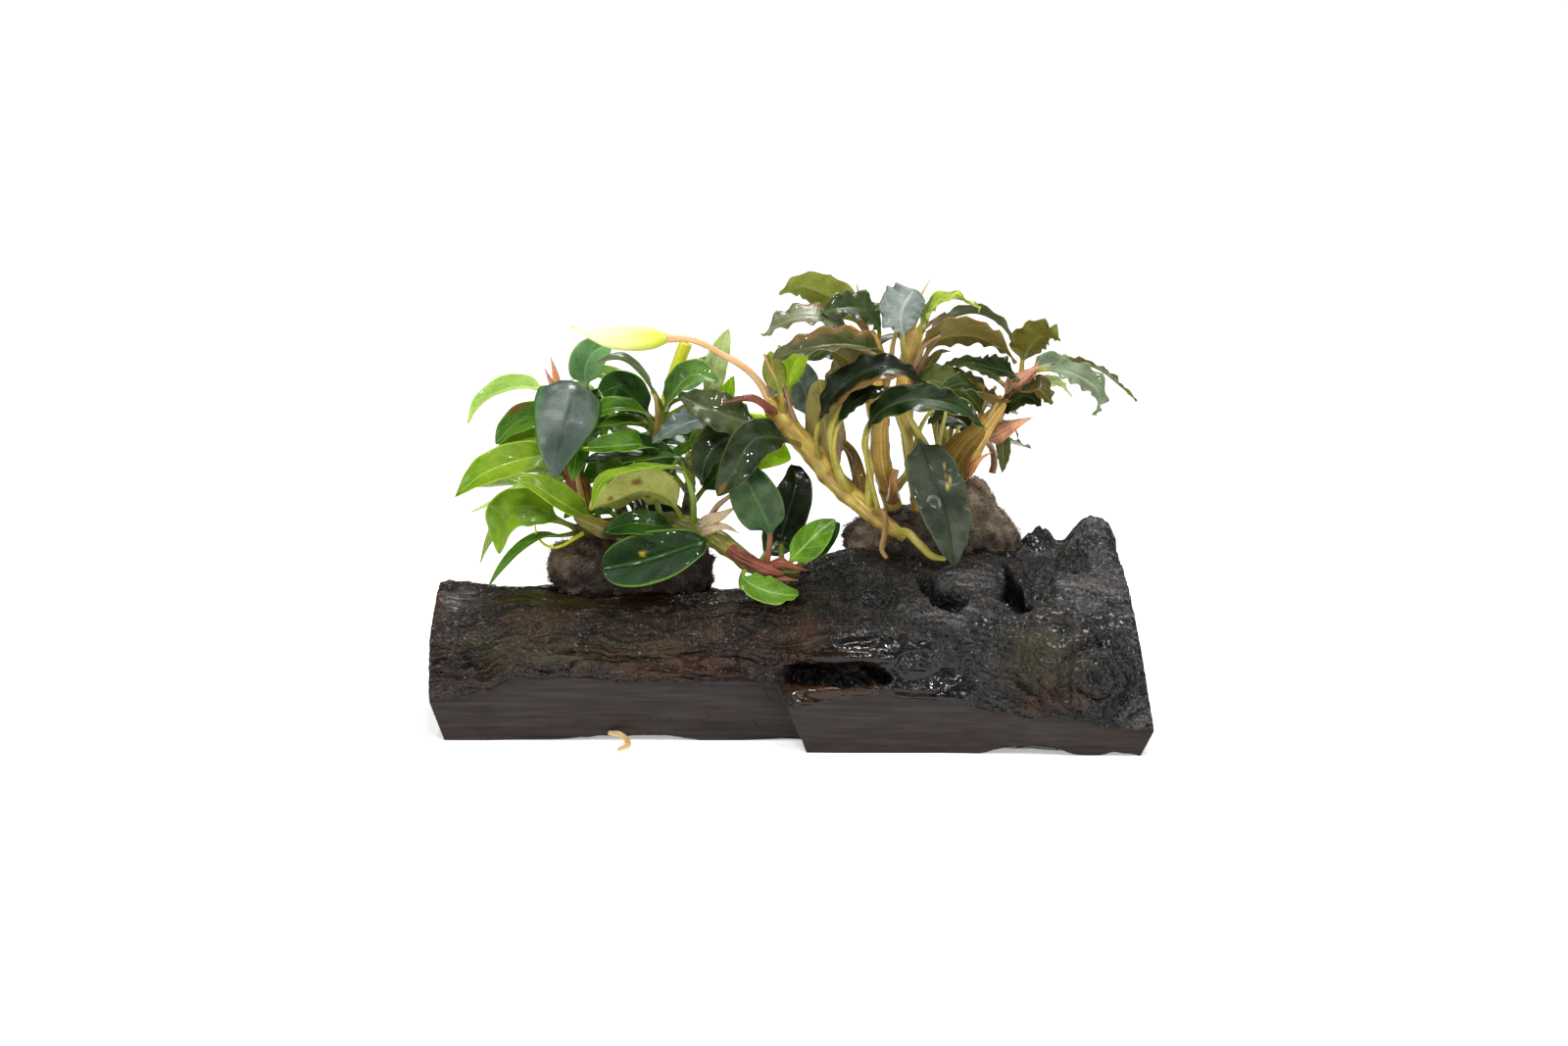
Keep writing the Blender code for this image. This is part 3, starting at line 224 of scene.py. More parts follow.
# Leaf skins: a waxy, wet cuticle over green tissue. Colours of the upper side, its blotches, veins,
# rim and underside, then roughness, how much light passes through, and the record's slot.
leafSkins = {
    # the heart leaf's grey upper colour is partly a painted sheen over its dark green
    "sheenGrey": ("#54615a", "#2a3a30", "#14241a", "#3f6a2c", "#7f9a6a", 0.30, 0.03, "blue_green"),
    "spiked": ("#3c4a22", "#28331a", "#5a6a40", "#8a9468", "#687355", 0.30, 0.08, "dark_green"),
    "oliveWavy": ("#4b4f2c", "#30330f", "#6a6a40", "#8a8060", "#6b6436", 0.30, 0.08, "olive_dark"),
    "greyLobed": ("#747a5c", "#565a38", "#8f9478", "#6a5c2c", "#504618", 0.30, 0.08, "grey_green"),
    "white": ("#9aa59c", "#75807a", "#b8c2bc", "#5f6238", "#7a8a5a", 0.34, 0.06, "grey_green"),
    "limeWavy": ("#8ea23a", "#5c6a26", "#c8de6a", "#d8e85a", "#c8dc50", 0.32, 0.30, "lime_bright"),
    "darkRimmed": ("#26361a", "#101a08", "#4a5c34", "#7a7c34", "#6d6c3c", 0.30, 0.06, "dark_gloss"),
    "greyFar": ("#78866a", "#5d6b4c", "#a0a890", "#84865a", "#8d9366", 0.32, 0.10, "grey_green"),
    "oliveLobed": ("#5e5a24", "#443f16", "#8a8440", "#7a6a30", "#6d6626", 0.38, 0.12, "olive_under"),
    "oliveGrey": ("#6a6c50", "#4d4f34", "#8c8e6a", "#6e6038", "#74785a", 0.38, 0.10, "olive_under"),
    "greyBlue": ("#5e7068", "#42534a", "#8a9a8c", "#5c6238", "#7a8462", 0.34, 0.06, "grey_green"),
    "darkGrey": ("#2c3a1c", "#161f0e", "#4a5638", "#54502c", "#6a6a3c", 0.34, 0.03, "dark_gloss"),
    "oliveSheen": ("#434e2c", "#2e381c", "#6a7344", "#5a5526", "#6f6c34", 0.36, 0.06, "olive_dark"),
    "hanging": ("#39432f", "#20291a", "#0a1006", "#4c5430", "#6d6c3c", 0.34, 0.03, "dark_gloss"),
    "oliveFolded": ("#6c6e2a", "#6a6c28", "#5c5e20", "#8c9a34", "#a3a552", 0.42, 0.20, "olive_under"),
    "curled": ("#5c8238", "#3c5c22", "#8aac58", "#93b25a", "#b0c884", 0.30, 0.20, "mid_green"),
    "veined": ("#7c9c26", "#5c7c14", "#5a6e1c", "#a0b848", "#a0b850", 0.34, 0.30, "lime"),
    "paleSheath": ("#b9a888", "#9a8460", "#cdbfa4", "#a88a60", "#b9a888", 0.42, 0.15, "tan_under"),
    "goldSheath": ("#dab25c", "#b48a3c", "#ead08a", "#a87a34", "#dab25c", 0.38, 0.22, "yellow_stem"),
    "paleLime": ("#a1bd65", "#86a548", "#c3d48a", "#b6cf6c", "#b9cf80", 0.40, 0.30, "lime"),
    "lime": ("#77941f", "#587a10", "#a3b84e", "#a9c03c", "#9fb84a", 0.32, 0.25, "lime"),
    "limeGloss": ("#5c8420", "#426814", "#9cbc6e", "#9cbc40", "#9fb84a", 0.20, 0.18, "lime_gloss"),
    "limeBright": ("#a4c62a", "#8ab31c", "#c8de6a", "#c4e04a", "#b6d648", 0.35, 0.40, "lime_bright"),
    "midGreen": ("#4c741a", "#30560e", "#7c9a3c", "#8aa83a", "#7a9442", 0.28, 0.15, "mid_green"),
    "deepGreen": ("#143408", "#0a2204", "#2e5618", "#7ca436", "#5f8a30", 0.28, 0.08, "deep_green"),
    "darkGreen": ("#284a14", "#16300a", "#486e2a", "#5a7e2c", "#5f7a3a", 0.28, 0.07, "dark_green"),
    "darkGloss": ("#2a3820", "#1b2614", "#4f5f3a", "#5b5a2c", "#6d6c3c", 0.15, 0.05, "dark_gloss"),
    "blackGreen": ("#141d0c", "#0c1206", "#2a3a1a", "#46422a", "#3f4524", 0.26, 0.03, "black_green"),
    "blueGreen": ("#6f9a62", "#587f4f", "#8fb47c", "#86a85a", "#8fae72", 0.30, 0.20, "blue_green"),
    "blueDark": ("#3c5a30", "#20381a", "#4e6839", "#4c6428", "#77904f", 0.36, 0.04, "blue_green"),
    "greyGreen": ("#76856a", "#5d6b4c", "#8f9a78", "#6b6a35", "#8d9366", 0.25, 0.10, "grey_green"),
    "paleOlive": ("#b0bc82", "#98a468", "#cfd6a4", "#9cb25a", "#c0c890", 0.40, 0.30, "pale_olive"),
    "oliveDark": ("#3f4b27", "#2f3a1a", "#6a7344", "#5a5526", "#6f6c34", 0.25, 0.08, "olive_dark"),
    "oliveUnder": ("#4a5220", "#3a4016", "#9a9850", "#5d5a20", "#848938", 0.38, 0.12, "olive_under"),
    "oliveBrown": ("#5d5426", "#473f1b", "#8c8148", "#8a5a2a", "#6b5f2a", 0.38, 0.10, "olive_brown"),
    "oliveGreen": ("#56602f", "#424c20", "#7d8450", "#62602a", "#72743a", 0.28, 0.10, "mid_green"),
    "tanUnder": ("#8d8048", "#7d733f", "#a99c66", "#998d5c", "#998d5c", 0.40, 0.12, "tan_under"),
    "brownSheath": ("#7d6226", "#5f4818", "#9a7c3c", "#6b4a20", "#7d6226", 0.45, 0.10, "tan_stem"),
    "redSheath": ("#7c3a2e", "#3a1a12", "#a86a50", "#7a4034", "#7c3a2e", 0.34, 0.08, "red_brown_stem"),
    "orangeSheath": ("#dc9a68", "#b46a40", "#ecc098", "#c0704a", "#dc9a68", 0.45, 0.25, "orange_stem"),
    "pinkSheath": ("#dca07c", "#b0685e", "#ecc8a0", "#c06050", "#dca07c", 0.42, 0.22, "orange_stem"),
    "yellowSheath": ("#c3a34c", "#a88738", "#dcc480", "#b0843c", "#c3a34c", 0.42, 0.20, "yellow_stem"),
}
# The leaf stalks of each plant, and of the skins that have their own
petioleHue = {"left": "#7f8a34", "right": "#a09240", "oliveGrey": "#8a6a50", "oliveBrown": "#7a5c40",
              "blueDark": "#84503a", "oliveSheen": "#a07858", "greyBlue": "#a07858", "darkGrey": "#7a6a3c"}
leafGloss = {"sheenGrey": 0.6, "white": 0.5, "greyLobed": 0.4, "greyBlue": 0.4, "blueDark": 0.3,
             "hanging": 0.28, "other": 0.14}
leafGrain = {"Sheath": 0.15, "hanging": 1.0, "other": 0.5}
blemishHues = {"spot": "#b8a024", "scorch": "#6a5028"}
leafLook = {  # sizes in mm; sides and rims as a share of the blade's width
    "blotch": 5.0,
    "speckle": 0.5,
    "cell": 0.35,  # the cuticle's cells, drawn coarse enough to show
    "cellDepth": 0.06,
    "veinDepth": -0.9,
    "pool": 4.0,  # drops and films of water
    "poolDepth": 0.5,
    "underTint": 0.65,  # how even the underside is
    "veinSlant": -0.7,  # side veins follow the rule along − 0.7 side
    "veins": 7.0,  # how many half waves of side veins there are along the blade
    "veinHalf": 0.18,
    "veinShow": 0.20,
    "midrib": (0.010, 0.050),
    "midribShow": 0.6,
    "rimStart": 0.45,
    "silverRimStart": 0.36,
    "rimEnd": 0.49,
    # dark green of the heart leaf towards its tip, where its painted sheen stops
    "silverTip": "#1d3326",
}
# Blemishes: leaf, kind, and their places as across (0 to 1 from edge to edge), along, size
blemishes = {
    "blade_front_oval": ("spot", [(0.62, 0.62, 0.024)]),
    "blade_front_hanging": ("spot", [(0.24, 0.30, 0.015), (0.27, 0.35, 0.013), (0.24, 0.40, 0.014),
                                     (0.30, 0.44, 0.015), (0.26, 0.49, 0.012)]),
    "blade_yellow_rim": ("spot", [(0.5, 0.97, 0.08)]),
    "blade_olive_arching": ("spot", [(0.5, 0.97, 0.07)]),
    "blade_black_arch": ("scorch", [(1.0, 0.5, 0.13), (1.0, 0.35, 0.12), (1.0, 0.65, 0.12),
                                    (1.0, 0.8, 0.11)]),
    "blade_dark_wavy": ("scorch", [(1.0, 0.3, 0.14), (1.0, 0.5, 0.14), (0.95, 0.7, 0.12)]),
    "blade_dark_tipped": ("scorch", [(0.5, 0.97, 0.12)]),
    "blade_long_lime": ("scorch", [(0.5, 0.98, 0.05)]),
    "blade_veined_arch": ("scorch", [(0.5, 0.99, 0.05)]),
    "blade_olive_folded": ("scorch", [(0.3, 0.45, 0.04), (0.62, 0.6, 0.035), (0.4, 0.75, 0.03),
                                      (0.7, 0.35, 0.03)]),
    "blade_lime_behind": ("scorch", [(0.4, 0.6, 0.06)]),
    "blade_green_notched": ("scorch", [(0.95, 0.5, 0.12)]),
    "blade_grey_lobed": ("scorch", [(1.0, 0.5, 0.12), (0.0, 0.7, 0.10)]),
    "blade_under_arch": ("scorch", [(0.0, 0.6, 0.08), (1.0, 0.8, 0.08)]),
    "blade_grey_far": ("scorch", [(1.0, 0.6, 0.07), (0.0, 0.85, 0.07)]),
}


def leafSkin(name, plant):
    # Waxy leaf: blotched tissue with pale veins seen through a wet, glossy cuticle with fine cells.
    top, blotch, vein, rim, under, rough, glow = leafSkins[name][:-1]
    look = leafLook
    material, tree, shader, coords = newMaterial("waxyLeaf_%s_%s" % (name, plant))
    place = addNode(tree, "SeparateXYZ", {0: addNode(tree, "UVMap", uv_map="skin")})
    upper, tone, spot, scorch = (addNode(tree, "Attribute", attribute_name=field).outputs["Fac"]
                                 for field in ("upper", "tone", "spot", "scorch"))
    side = addNode(tree, "Math", {0: place.outputs[0], 1: 0.5}, operation="SUBTRACT")
    side = addNode(tree, "Math", {0: side}, operation="ABSOLUTE")  # 0 midrib, 0.5 margin
    along = place.outputs[1]
    blotches, speckle, pools = (
        addNode(tree, "TexNoise", {"Vector": coords, "Scale": 1 / (look[kind] * mm), "Detail": detail})
        for kind, detail in (("blotch", 5.0), ("speckle", 2.0), ("pool", 1.0)))
    mottle = addNode(tree, "MapRange", {0: blotches, 1: 0.38, 2: 0.62})
    hue = addNode(tree, "Mix", {0: mottle, 6: blotch, 7: top}, data_type="RGBA")
    below = addNode(tree, "Mix", {0: mottle, 6: blotch, 7: under}, data_type="RGBA")
    below = addNode(tree, "Mix", {0: look["underTint"], 6: below, 7: under}, data_type="RGBA")
    hue = addNode(tree, "Mix", {0: upper, 6: below, 7: hue}, data_type="RGBA")
    slant = addNode(tree, "Math", {0: side, 1: look["veinSlant"], 2: along}, operation="MULTIPLY_ADD")
    wave = addNode(tree, "Math", {0: slant, 1: look["veins"]}, operation="MULTIPLY")
    wave = addNode(tree, "Math", {0: wave, 1: 1.0}, operation="PINGPONG")
    sideVein = addNode(tree, "MapRange", {0: wave, 1: 0.0, 2: look["veinHalf"], 3: look["veinShow"], 4: 0.0})
    tints = []
    if name.endswith("Sheath"):  # streaks along the sheath in place of side veins
        thin = addNode(tree, "Mapping", {"Vector": addNode(tree, "UVMap", uv_map="skin"),
                                         "Scale": (16.0, 0.8, 1.0)})
        streak = addNode(tree, "TexNoise", {"Vector": thin, "Scale": 1.0, "Detail": 4.0})
        sideVein = addNode(tree, "MapRange", {0: streak, 1: 0.45, 2: 0.65, 4: 0.8})
        tints.append((addNode(tree, "MapRange", {0: streak, 1: 0.45, 2: 0.30, 4: 0.8}), rim))
    near, far = look["midrib"]
    midrib = addNode(tree, "MapRange", {0: side, 1: near, 2: far, 3: look["midribShow"], 4: 0.0})
    veins = addNode(tree, "Math", {0: sideVein, 1: midrib}, operation="MAXIMUM")
    tints.append((veins, vein))
    # The heart leaf's grey is partly a painted sheen: it gives way to dark green towards the tip and along a
    # wider rim.
    if name == "sheenGrey":  # this blade darkens towards its tip and stays green along its margins
        tints.append((addNode(tree, "MapRange", {0: along, 1: 0.45, 2: 0.95, 4: 0.85}), look["silverTip"]))
    # The rim tint is partly the margins' own paler colour and partly a painted highlight where light shines
    # through the thin edges.
    start = look["silverRimStart" if name == "sheenGrey" else "rimStart"]
    tints.append((addNode(tree, "MapRange", {0: side, 1: start, 2: look["rimEnd"], 4: 0.8}), rim))
    tints += [(spot, blemishHues["spot"]), (scorch, blemishHues["scorch"])]
    stalk = addNode(tree, "MapRange", {0: along, 1: 0.05, 2: -0.06})
    tints.append((stalk, petioleHue.get(name, petioleHue[plant])))
    for share, tint in tints:
        hue = addNode(tree, "Mix", {0: share, 6: hue, 7: tint}, data_type="RGBA")
    grain = addNode(tree, "MapRange", {0: speckle, 1: 0.3, 2: 0.7, 3: 0.86, 4: 1.12})
    value = addNode(tree, "Math", {0: grain, 1: tone}, operation="MULTIPLY")
    hue = addNode(tree, "HueSaturation", {"Value": value, "Color": hue})
    cells = addNode(tree, "TexVoronoi", {"Vector": coords, "Scale": 1 / (look["cell"] * mm)})
    relief = addNode(tree, "Math", {0: veins, 1: look["veinDepth"], 2: cells}, operation="MULTIPLY_ADD")
    grainy = leafGrain["Sheath" if name.endswith("Sheath") else name if name in leafGrain else "other"]
    bump = addNode(tree, "Bump", {"Height": relief, "Strength": grainy, "Distance": look["cellDepth"] * mm})
    film = addNode(tree, "MapRange", {0: pools, 1: 0.50, 2: 0.56, 4: 0.6})
    smooth = addNode(tree, "Bump", {"Height": pools, "Strength": 0.3, "Distance": look["poolDepth"] * mm})
    wet = addNode(tree, "MapRange", {0: blotches, 1: 0.35, 2: 0.65, 3: rough * 0.9, 4: rough * 1.3})
    fill(tree, shader, {"Base Color": hue, "Normal": bump, "Roughness": wet, "Coat Weight": film,
                        "Coat Normal": smooth, "Coat Roughness": 0.05, "Coat IOR": 1.33, "IOR": 1.45,
                        "Specular IOR Level": leafGloss.get(name, leafGloss["other"]),
                        "Subsurface Weight": glow, "Subsurface Radius": (0.6, 1.0, 0.15),
                        "Subsurface Scale": 0.8 * mm})
    return material


# Blade outlines: half width follows b^p (1 − b)^q along the blade, scaled to its widest place
outlines = {
    "heart": (0.50, 0.85),
    "oval": (0.50, 0.55),
    "ellipse": (0.60, 0.75),
    "lance": (0.70, 0.95),
    "obovate": (0.75, 0.45),
    "strap": (0.22, 0.40),
    "spike": (0.25, 1.10),
}
bladeMake = {
    "petioleRows": 9,
    "bladeRows": 40,
    "across": 23,  # points from margin to margin on each side
    "petiole": 0.55,  # half width of a petiole
    "sheath": 0.5,  # how much wider its foot is
    "lamina": 0.13,  # half thickness of the blade
    "rib": 0.28,  # how far the midrib stands out below
    "channel": 0.16,  # how deep it is above
    "quilt": 0.07,  # rise of the blade between side veins
    "sideVeins": 3.5,
    "veinLean": 0.35,
    "ribHalf": 0.45,
    "gather": 0.55,  # how much closer the rows stand at both ends
    "ragged": 0.25,  # how uneven a wavy blade's outline is
    "waveRise": 0.8,
    "waves": {"left": 2.2, "right": 5.5},  # along a blade of each plant
}


def leafSurface(midrib, size, bend, facing, form, seed, wavesPerBlade):
    # t runs from the petiole's foot to the tip, v from margin to margin. A point is
    # midrib(t) + across v w(t) + up (fold |v| w + cup v² w + wave |v|³ sin + lamina, rib and channel),
    # and over the petiole it goes over to a circle of the petiole's radius.
    width, stalk = size
    fold, cup, wave = bend
    make = bladeMake
    run = np.linspace(0, 1, make["bladeRows"])
    run = run - np.sin(2 * math.pi * run) / (2 * math.pi) * make["gather"]
    petiole = np.linspace(0, stalk, make["petioleRows"], endpoint=False)
    shares = np.concatenate([petiole, stalk + (1 - stalk) * run])
    line = smoothPath(midrib, shares)
    along = unit(np.gradient(line, axis=0))
    level = np.cross(line[-1] - line[1], facing)
    across = unit(level - along * (along @ level)[:, None])
    up = np.cross(across, along)
    b = np.clip((shares - stalk) / (1 - stalk), 0, 1)[:, None]
    foot = np.clip(1 - shares / stalk, 0, 1)[:, None]
    p, q = outlines[form]
    widest = p / (p + q)
    outline = b**p * (1 - b)**q / (widest**p * (1 - widest)**q)
    v = np.linspace(-1, 1, make["across"])
    v = np.concatenate([v, v[-2:0:-1]])[None, :]
    side = np.where(np.arange(v.size) < make["across"], 1.0, -1.0)[None, :]
    side[0, [0, make["across"] - 1]] = 0
    stem = make["petiole"] * (1 + make["sheath"] * foot**2) * np.sqrt(1 - 0.85 * b)
    ragged = layeredNoise(together(b * 9, np.sign(v) * 3, seed * 1.7), seed, 3)
    ragged = 1 + make["ragged"] * wave * ragged
    half = np.sqrt((width / 2 * outline * ragged) ** 2 + (stem * 0.9) ** 2 * (1 - b) + 0.1**2)
    thick = make["lamina"] * np.sqrt(np.clip(1 - v**8, 0, 1)) * np.clip(2.5 * (1 - b), 0.35, 1)
    ribbed = np.exp(-((v * half / make["ribHalf"]) ** 2)) * (1 - b) ** 0.6
    body = np.where(side >= 0, thick - make["channel"] * ribbed * (side > 0), -thick - make["rib"] * ribbed)
    body = np.where(side == 0, 0, body)
    # waves grow towards the margin, and are out of step on the two sides
    phase = seed * 2.1 + np.sign(v) * 0.9
    swing = layeredNoise(together(b * 4, np.sign(v) * 5, seed * 3.1), seed + 7, 2)
    ripple = np.sin(2 * math.pi * wavesPerBlade * b + phase + 2.6 * swing)
    ripple = ripple * (0.45 + 0.75 * np.abs(swing)) + 0.4 * swing
    veins = np.cos(2 * math.pi * make["sideVeins"] * (b - make["veinLean"] * np.abs(v)) + 0.3)
    lift = half * (np.abs(v) * math.tan(math.radians(fold)) + cup * v**2)
    lift = lift + width * wave * make["waveRise"] * np.abs(v) ** 3 * ripple
    quilt = make["quilt"] * veins * np.abs(v) * (1 - v**4) * smoothStep(0.05, 0.2, b)
    lift = lift * smoothStep(0, 0.15, b) + quilt
    spread = v * half * math.cos(math.radians(fold))
    circle = np.sqrt(np.clip(1 - v**2, 0, 1)) * side
    flat = smoothStep(-0.02, 0.16, b)
    rise = blend(circle * stem * 0.8, lift + body, flat)
    reach = blend(v * stem, spread, flat)
    rings = line[:, None] + across[:, None] * reach[..., None] + up[:, None] * rise[..., None]
    height = np.where(b > 0, b, -foot)
    uv = together(v / 2 + 0.5, height)
    upper = np.broadcast_to(side / 2 + 0.5, rise.shape)
    return rings, uv, upper


def stemSkinPoint(stem, near, sink):
    # The point inside the stem's skin that is nearest to a leaf's first point.
    foot, tip, points = stems[stem][1:4]
    shares = np.linspace(0, 1, 60)
    line = smoothPath(points, shares)
    place = int(np.argmin(np.linalg.norm(line - np.asarray(near, float), axis=1)))
    out = unit(np.asarray(near, float) - line[place])
    return line[place] + out * blend(foot, tip, shares[place]) * sink


def growLeaf(name, stem, skin, form, size, bend, facing, midrib, node):
    # One leaf from its row of values, with a tone of its own
    plant = "left" if "left" in stem else "right"
    seed = sum(map(ord, name)) % 97
    start = stemSkinPoint(stem, midrib[0], 0.3)
    rings, uv, upper = leafSurface([start] + list(midrib[1:]), size, bend, facing, form, seed,
                                   bladeMake["waves"][plant])
    tone = np.full(upper.shape, 1 + 0.10 * math.sin(seed * 1.9))
    fields = {"upper": upper, "tone": tone, "spot": 0 * upper, "scorch": 0 * upper}
    kind, places = blemishes.get(name, ("spot", []))
    for across, along, reach in places:
        away = np.hypot((uv[..., 0] - across) * 0.6, uv[..., 1] - along) / reach
        away = away * (1 + 0.3 * layeredNoise(rings / 1.5, seed, 2))
        fields[kind] = np.maximum(fields[kind], smoothStep(1.2, 0.7, away))
    piece = loftPiece(name, rings, fields, uv)
    key = (skin, plant)
    if key not in madeSkins:
        madeSkins[key] = leafSkin(skin, plant)
    return dress(piece, madeSkins[key], leafSkins[skin][-1], node)


madeSkins = {}


# Stems: record slot, radius at the foot and at the tip, points of the middle line
stems = {
    "rhizome_left": ("olive_stem", 1.5, 1, [
        (-43, 1, 38.5), (-38.5, -1, 39.5), (-30.5, -3, 40.5), (-22.5, -5, 41), (-16, -8, 39.5),
        (-10.5, -10, 36.5), (-6, -12, 33.5), (3, -12, 32.5)]),
    "stem_left_back": ("red_brown_stem", 1.8, 0.9, [
        (-40, 4, 40.5), (-40.5, 3, 44), (-43, 3, 49.5), (-45.5, 4, 54), (-47, 5, 61), (-47, 5, 68)]),
    "stem_left_mid": ("olive_stem", 1.6, 0.9, [
        (-29.5, 4, 39), (-30, 5, 45.5), (-29, 6, 52.5), (-27, 6, 58), (-25, 6, 62)]),
    "stem_left_right": ("olive_stem", 1.3, 1, [
        (-21.5, 1, 38.5), (-20, 1, 44), (-19.5, 1, 49), (-19.5, 2, 54.5)]),
    "stem_left_far": ("olive_stem", 1.5, 1, [
        (-34, 9, 38), (-35, 14, 45), (-36.5, 17, 51)]),
    "stem_right_leaning": ("yellow_stem", 1, 2.1, [
        (25, -9.5, 39), (20.5, -9, 42), (16.5, -8, 45), (10.5, -7, 50.5), (6, -6, 56),
        (0, -5, 62.5), (-3, -4, 67)]),
    "stem_right_upright": ("yellow_stem", 1.8, 1.2, [
        (23, 2, 43), (21.5, 2, 48), (20, 2, 55.5), (20, 1, 63.5), (20, 0, 71), (19, 0, 77.5)]),
    "stem_right_second": ("yellow_stem", 1.5, 1, [
        (28, -2, 43.5), (27, -2, 49.5), (25.5, -2, 58), (25.5, -1, 66), (26.5, -1, 73.5)]),
    "stem_right_side": ("tan_stem", 1.5, 0.9, [
        (35.7, 3.5, 47.1), (36.6, 3, 50), (39, 2, 54.5), (43, 1, 60.5), (46.5, 0, 67), (49.5, 0, 72)]),
    "stem_right_far": ("olive_stem", 1.5, 1, [
        (30, 11, 43.5), (32.5, 15, 49), (33.5, 18, 56), (32.5, 19, 63)]),
}

# Other round parts: record slot, radii along it, points of the middle line
tubes = {
    "peduncle": ("orange_stem", [1.1, 0.9, 0.75, 0.7, 0.65, 0.7, 1.0], [
        (0.5, -5.5, 62), (-3, -4.6, 67), (-5, -3.8, 70.3), (-8, -3.3, 73.3), (-12.5, -3.1, 76),
        (-18.5, -3, 79), (-25, -3, 79.5)]),
    "stalk_yellow": ("yellow_stem", [1, 1.4, 1.5, 1.4], [
        (-25.5, 7, 61.5), (-23.8, 11, 67), (-22, 12, 72.5), (-20.5, 12, 76.5)]),
    "root_yellow_green": ("yellow_stem", [0.8, 0.85, 0.85, 0.8, 0.5], [
        (23.2, -9.5, 40.3), (25.4, -12.5, 40.5), (27.6, -14.5, 38.6), (30, -15.5, 36.4),
        (33, -15.8, 35.6)]),
    "root_tan": ("tan_stem", [0.6, 0.65, 0.65, 0.6, 0.45], [
        (17.6, -8.8, 44.2), (20.4, -12.8, 44.6), (20.6, -14, 41), (20, -15, 37.6), (21, -15.6, 35.8)]),
    "root_brown_right": ("tan_stem", [0.6, 0.65, 0.7, 0.8], [
        (41.5, 1.5, 58), (43.4, 6, 55), (44, 7, 52), (43.6, 7, 49.8)]),
    "root_cream": ("cream_root", [0.45, 0.6, 0.6, 0.4], [
        (-35.4, -25.8, 1.7), (-33, -29, 2.1), (-31.3, -33.5, 1.2), (-33, -37, 0.9)]),
    "spathe": ("pale_spathe", [1, 2.2, 2.5, 2.5, 2.3, 1.6, 0.8, 0.2], [
        (-24, -3, 79.5), (-25.5, -3, 79.4), (-28, -3, 79.3), (-31.5, -3, 79.3), (-34.5, -3, 79.4),
        (-38, -3, 80), (-41, -3, 80.9), (-43.7, -3, 82)]),
}

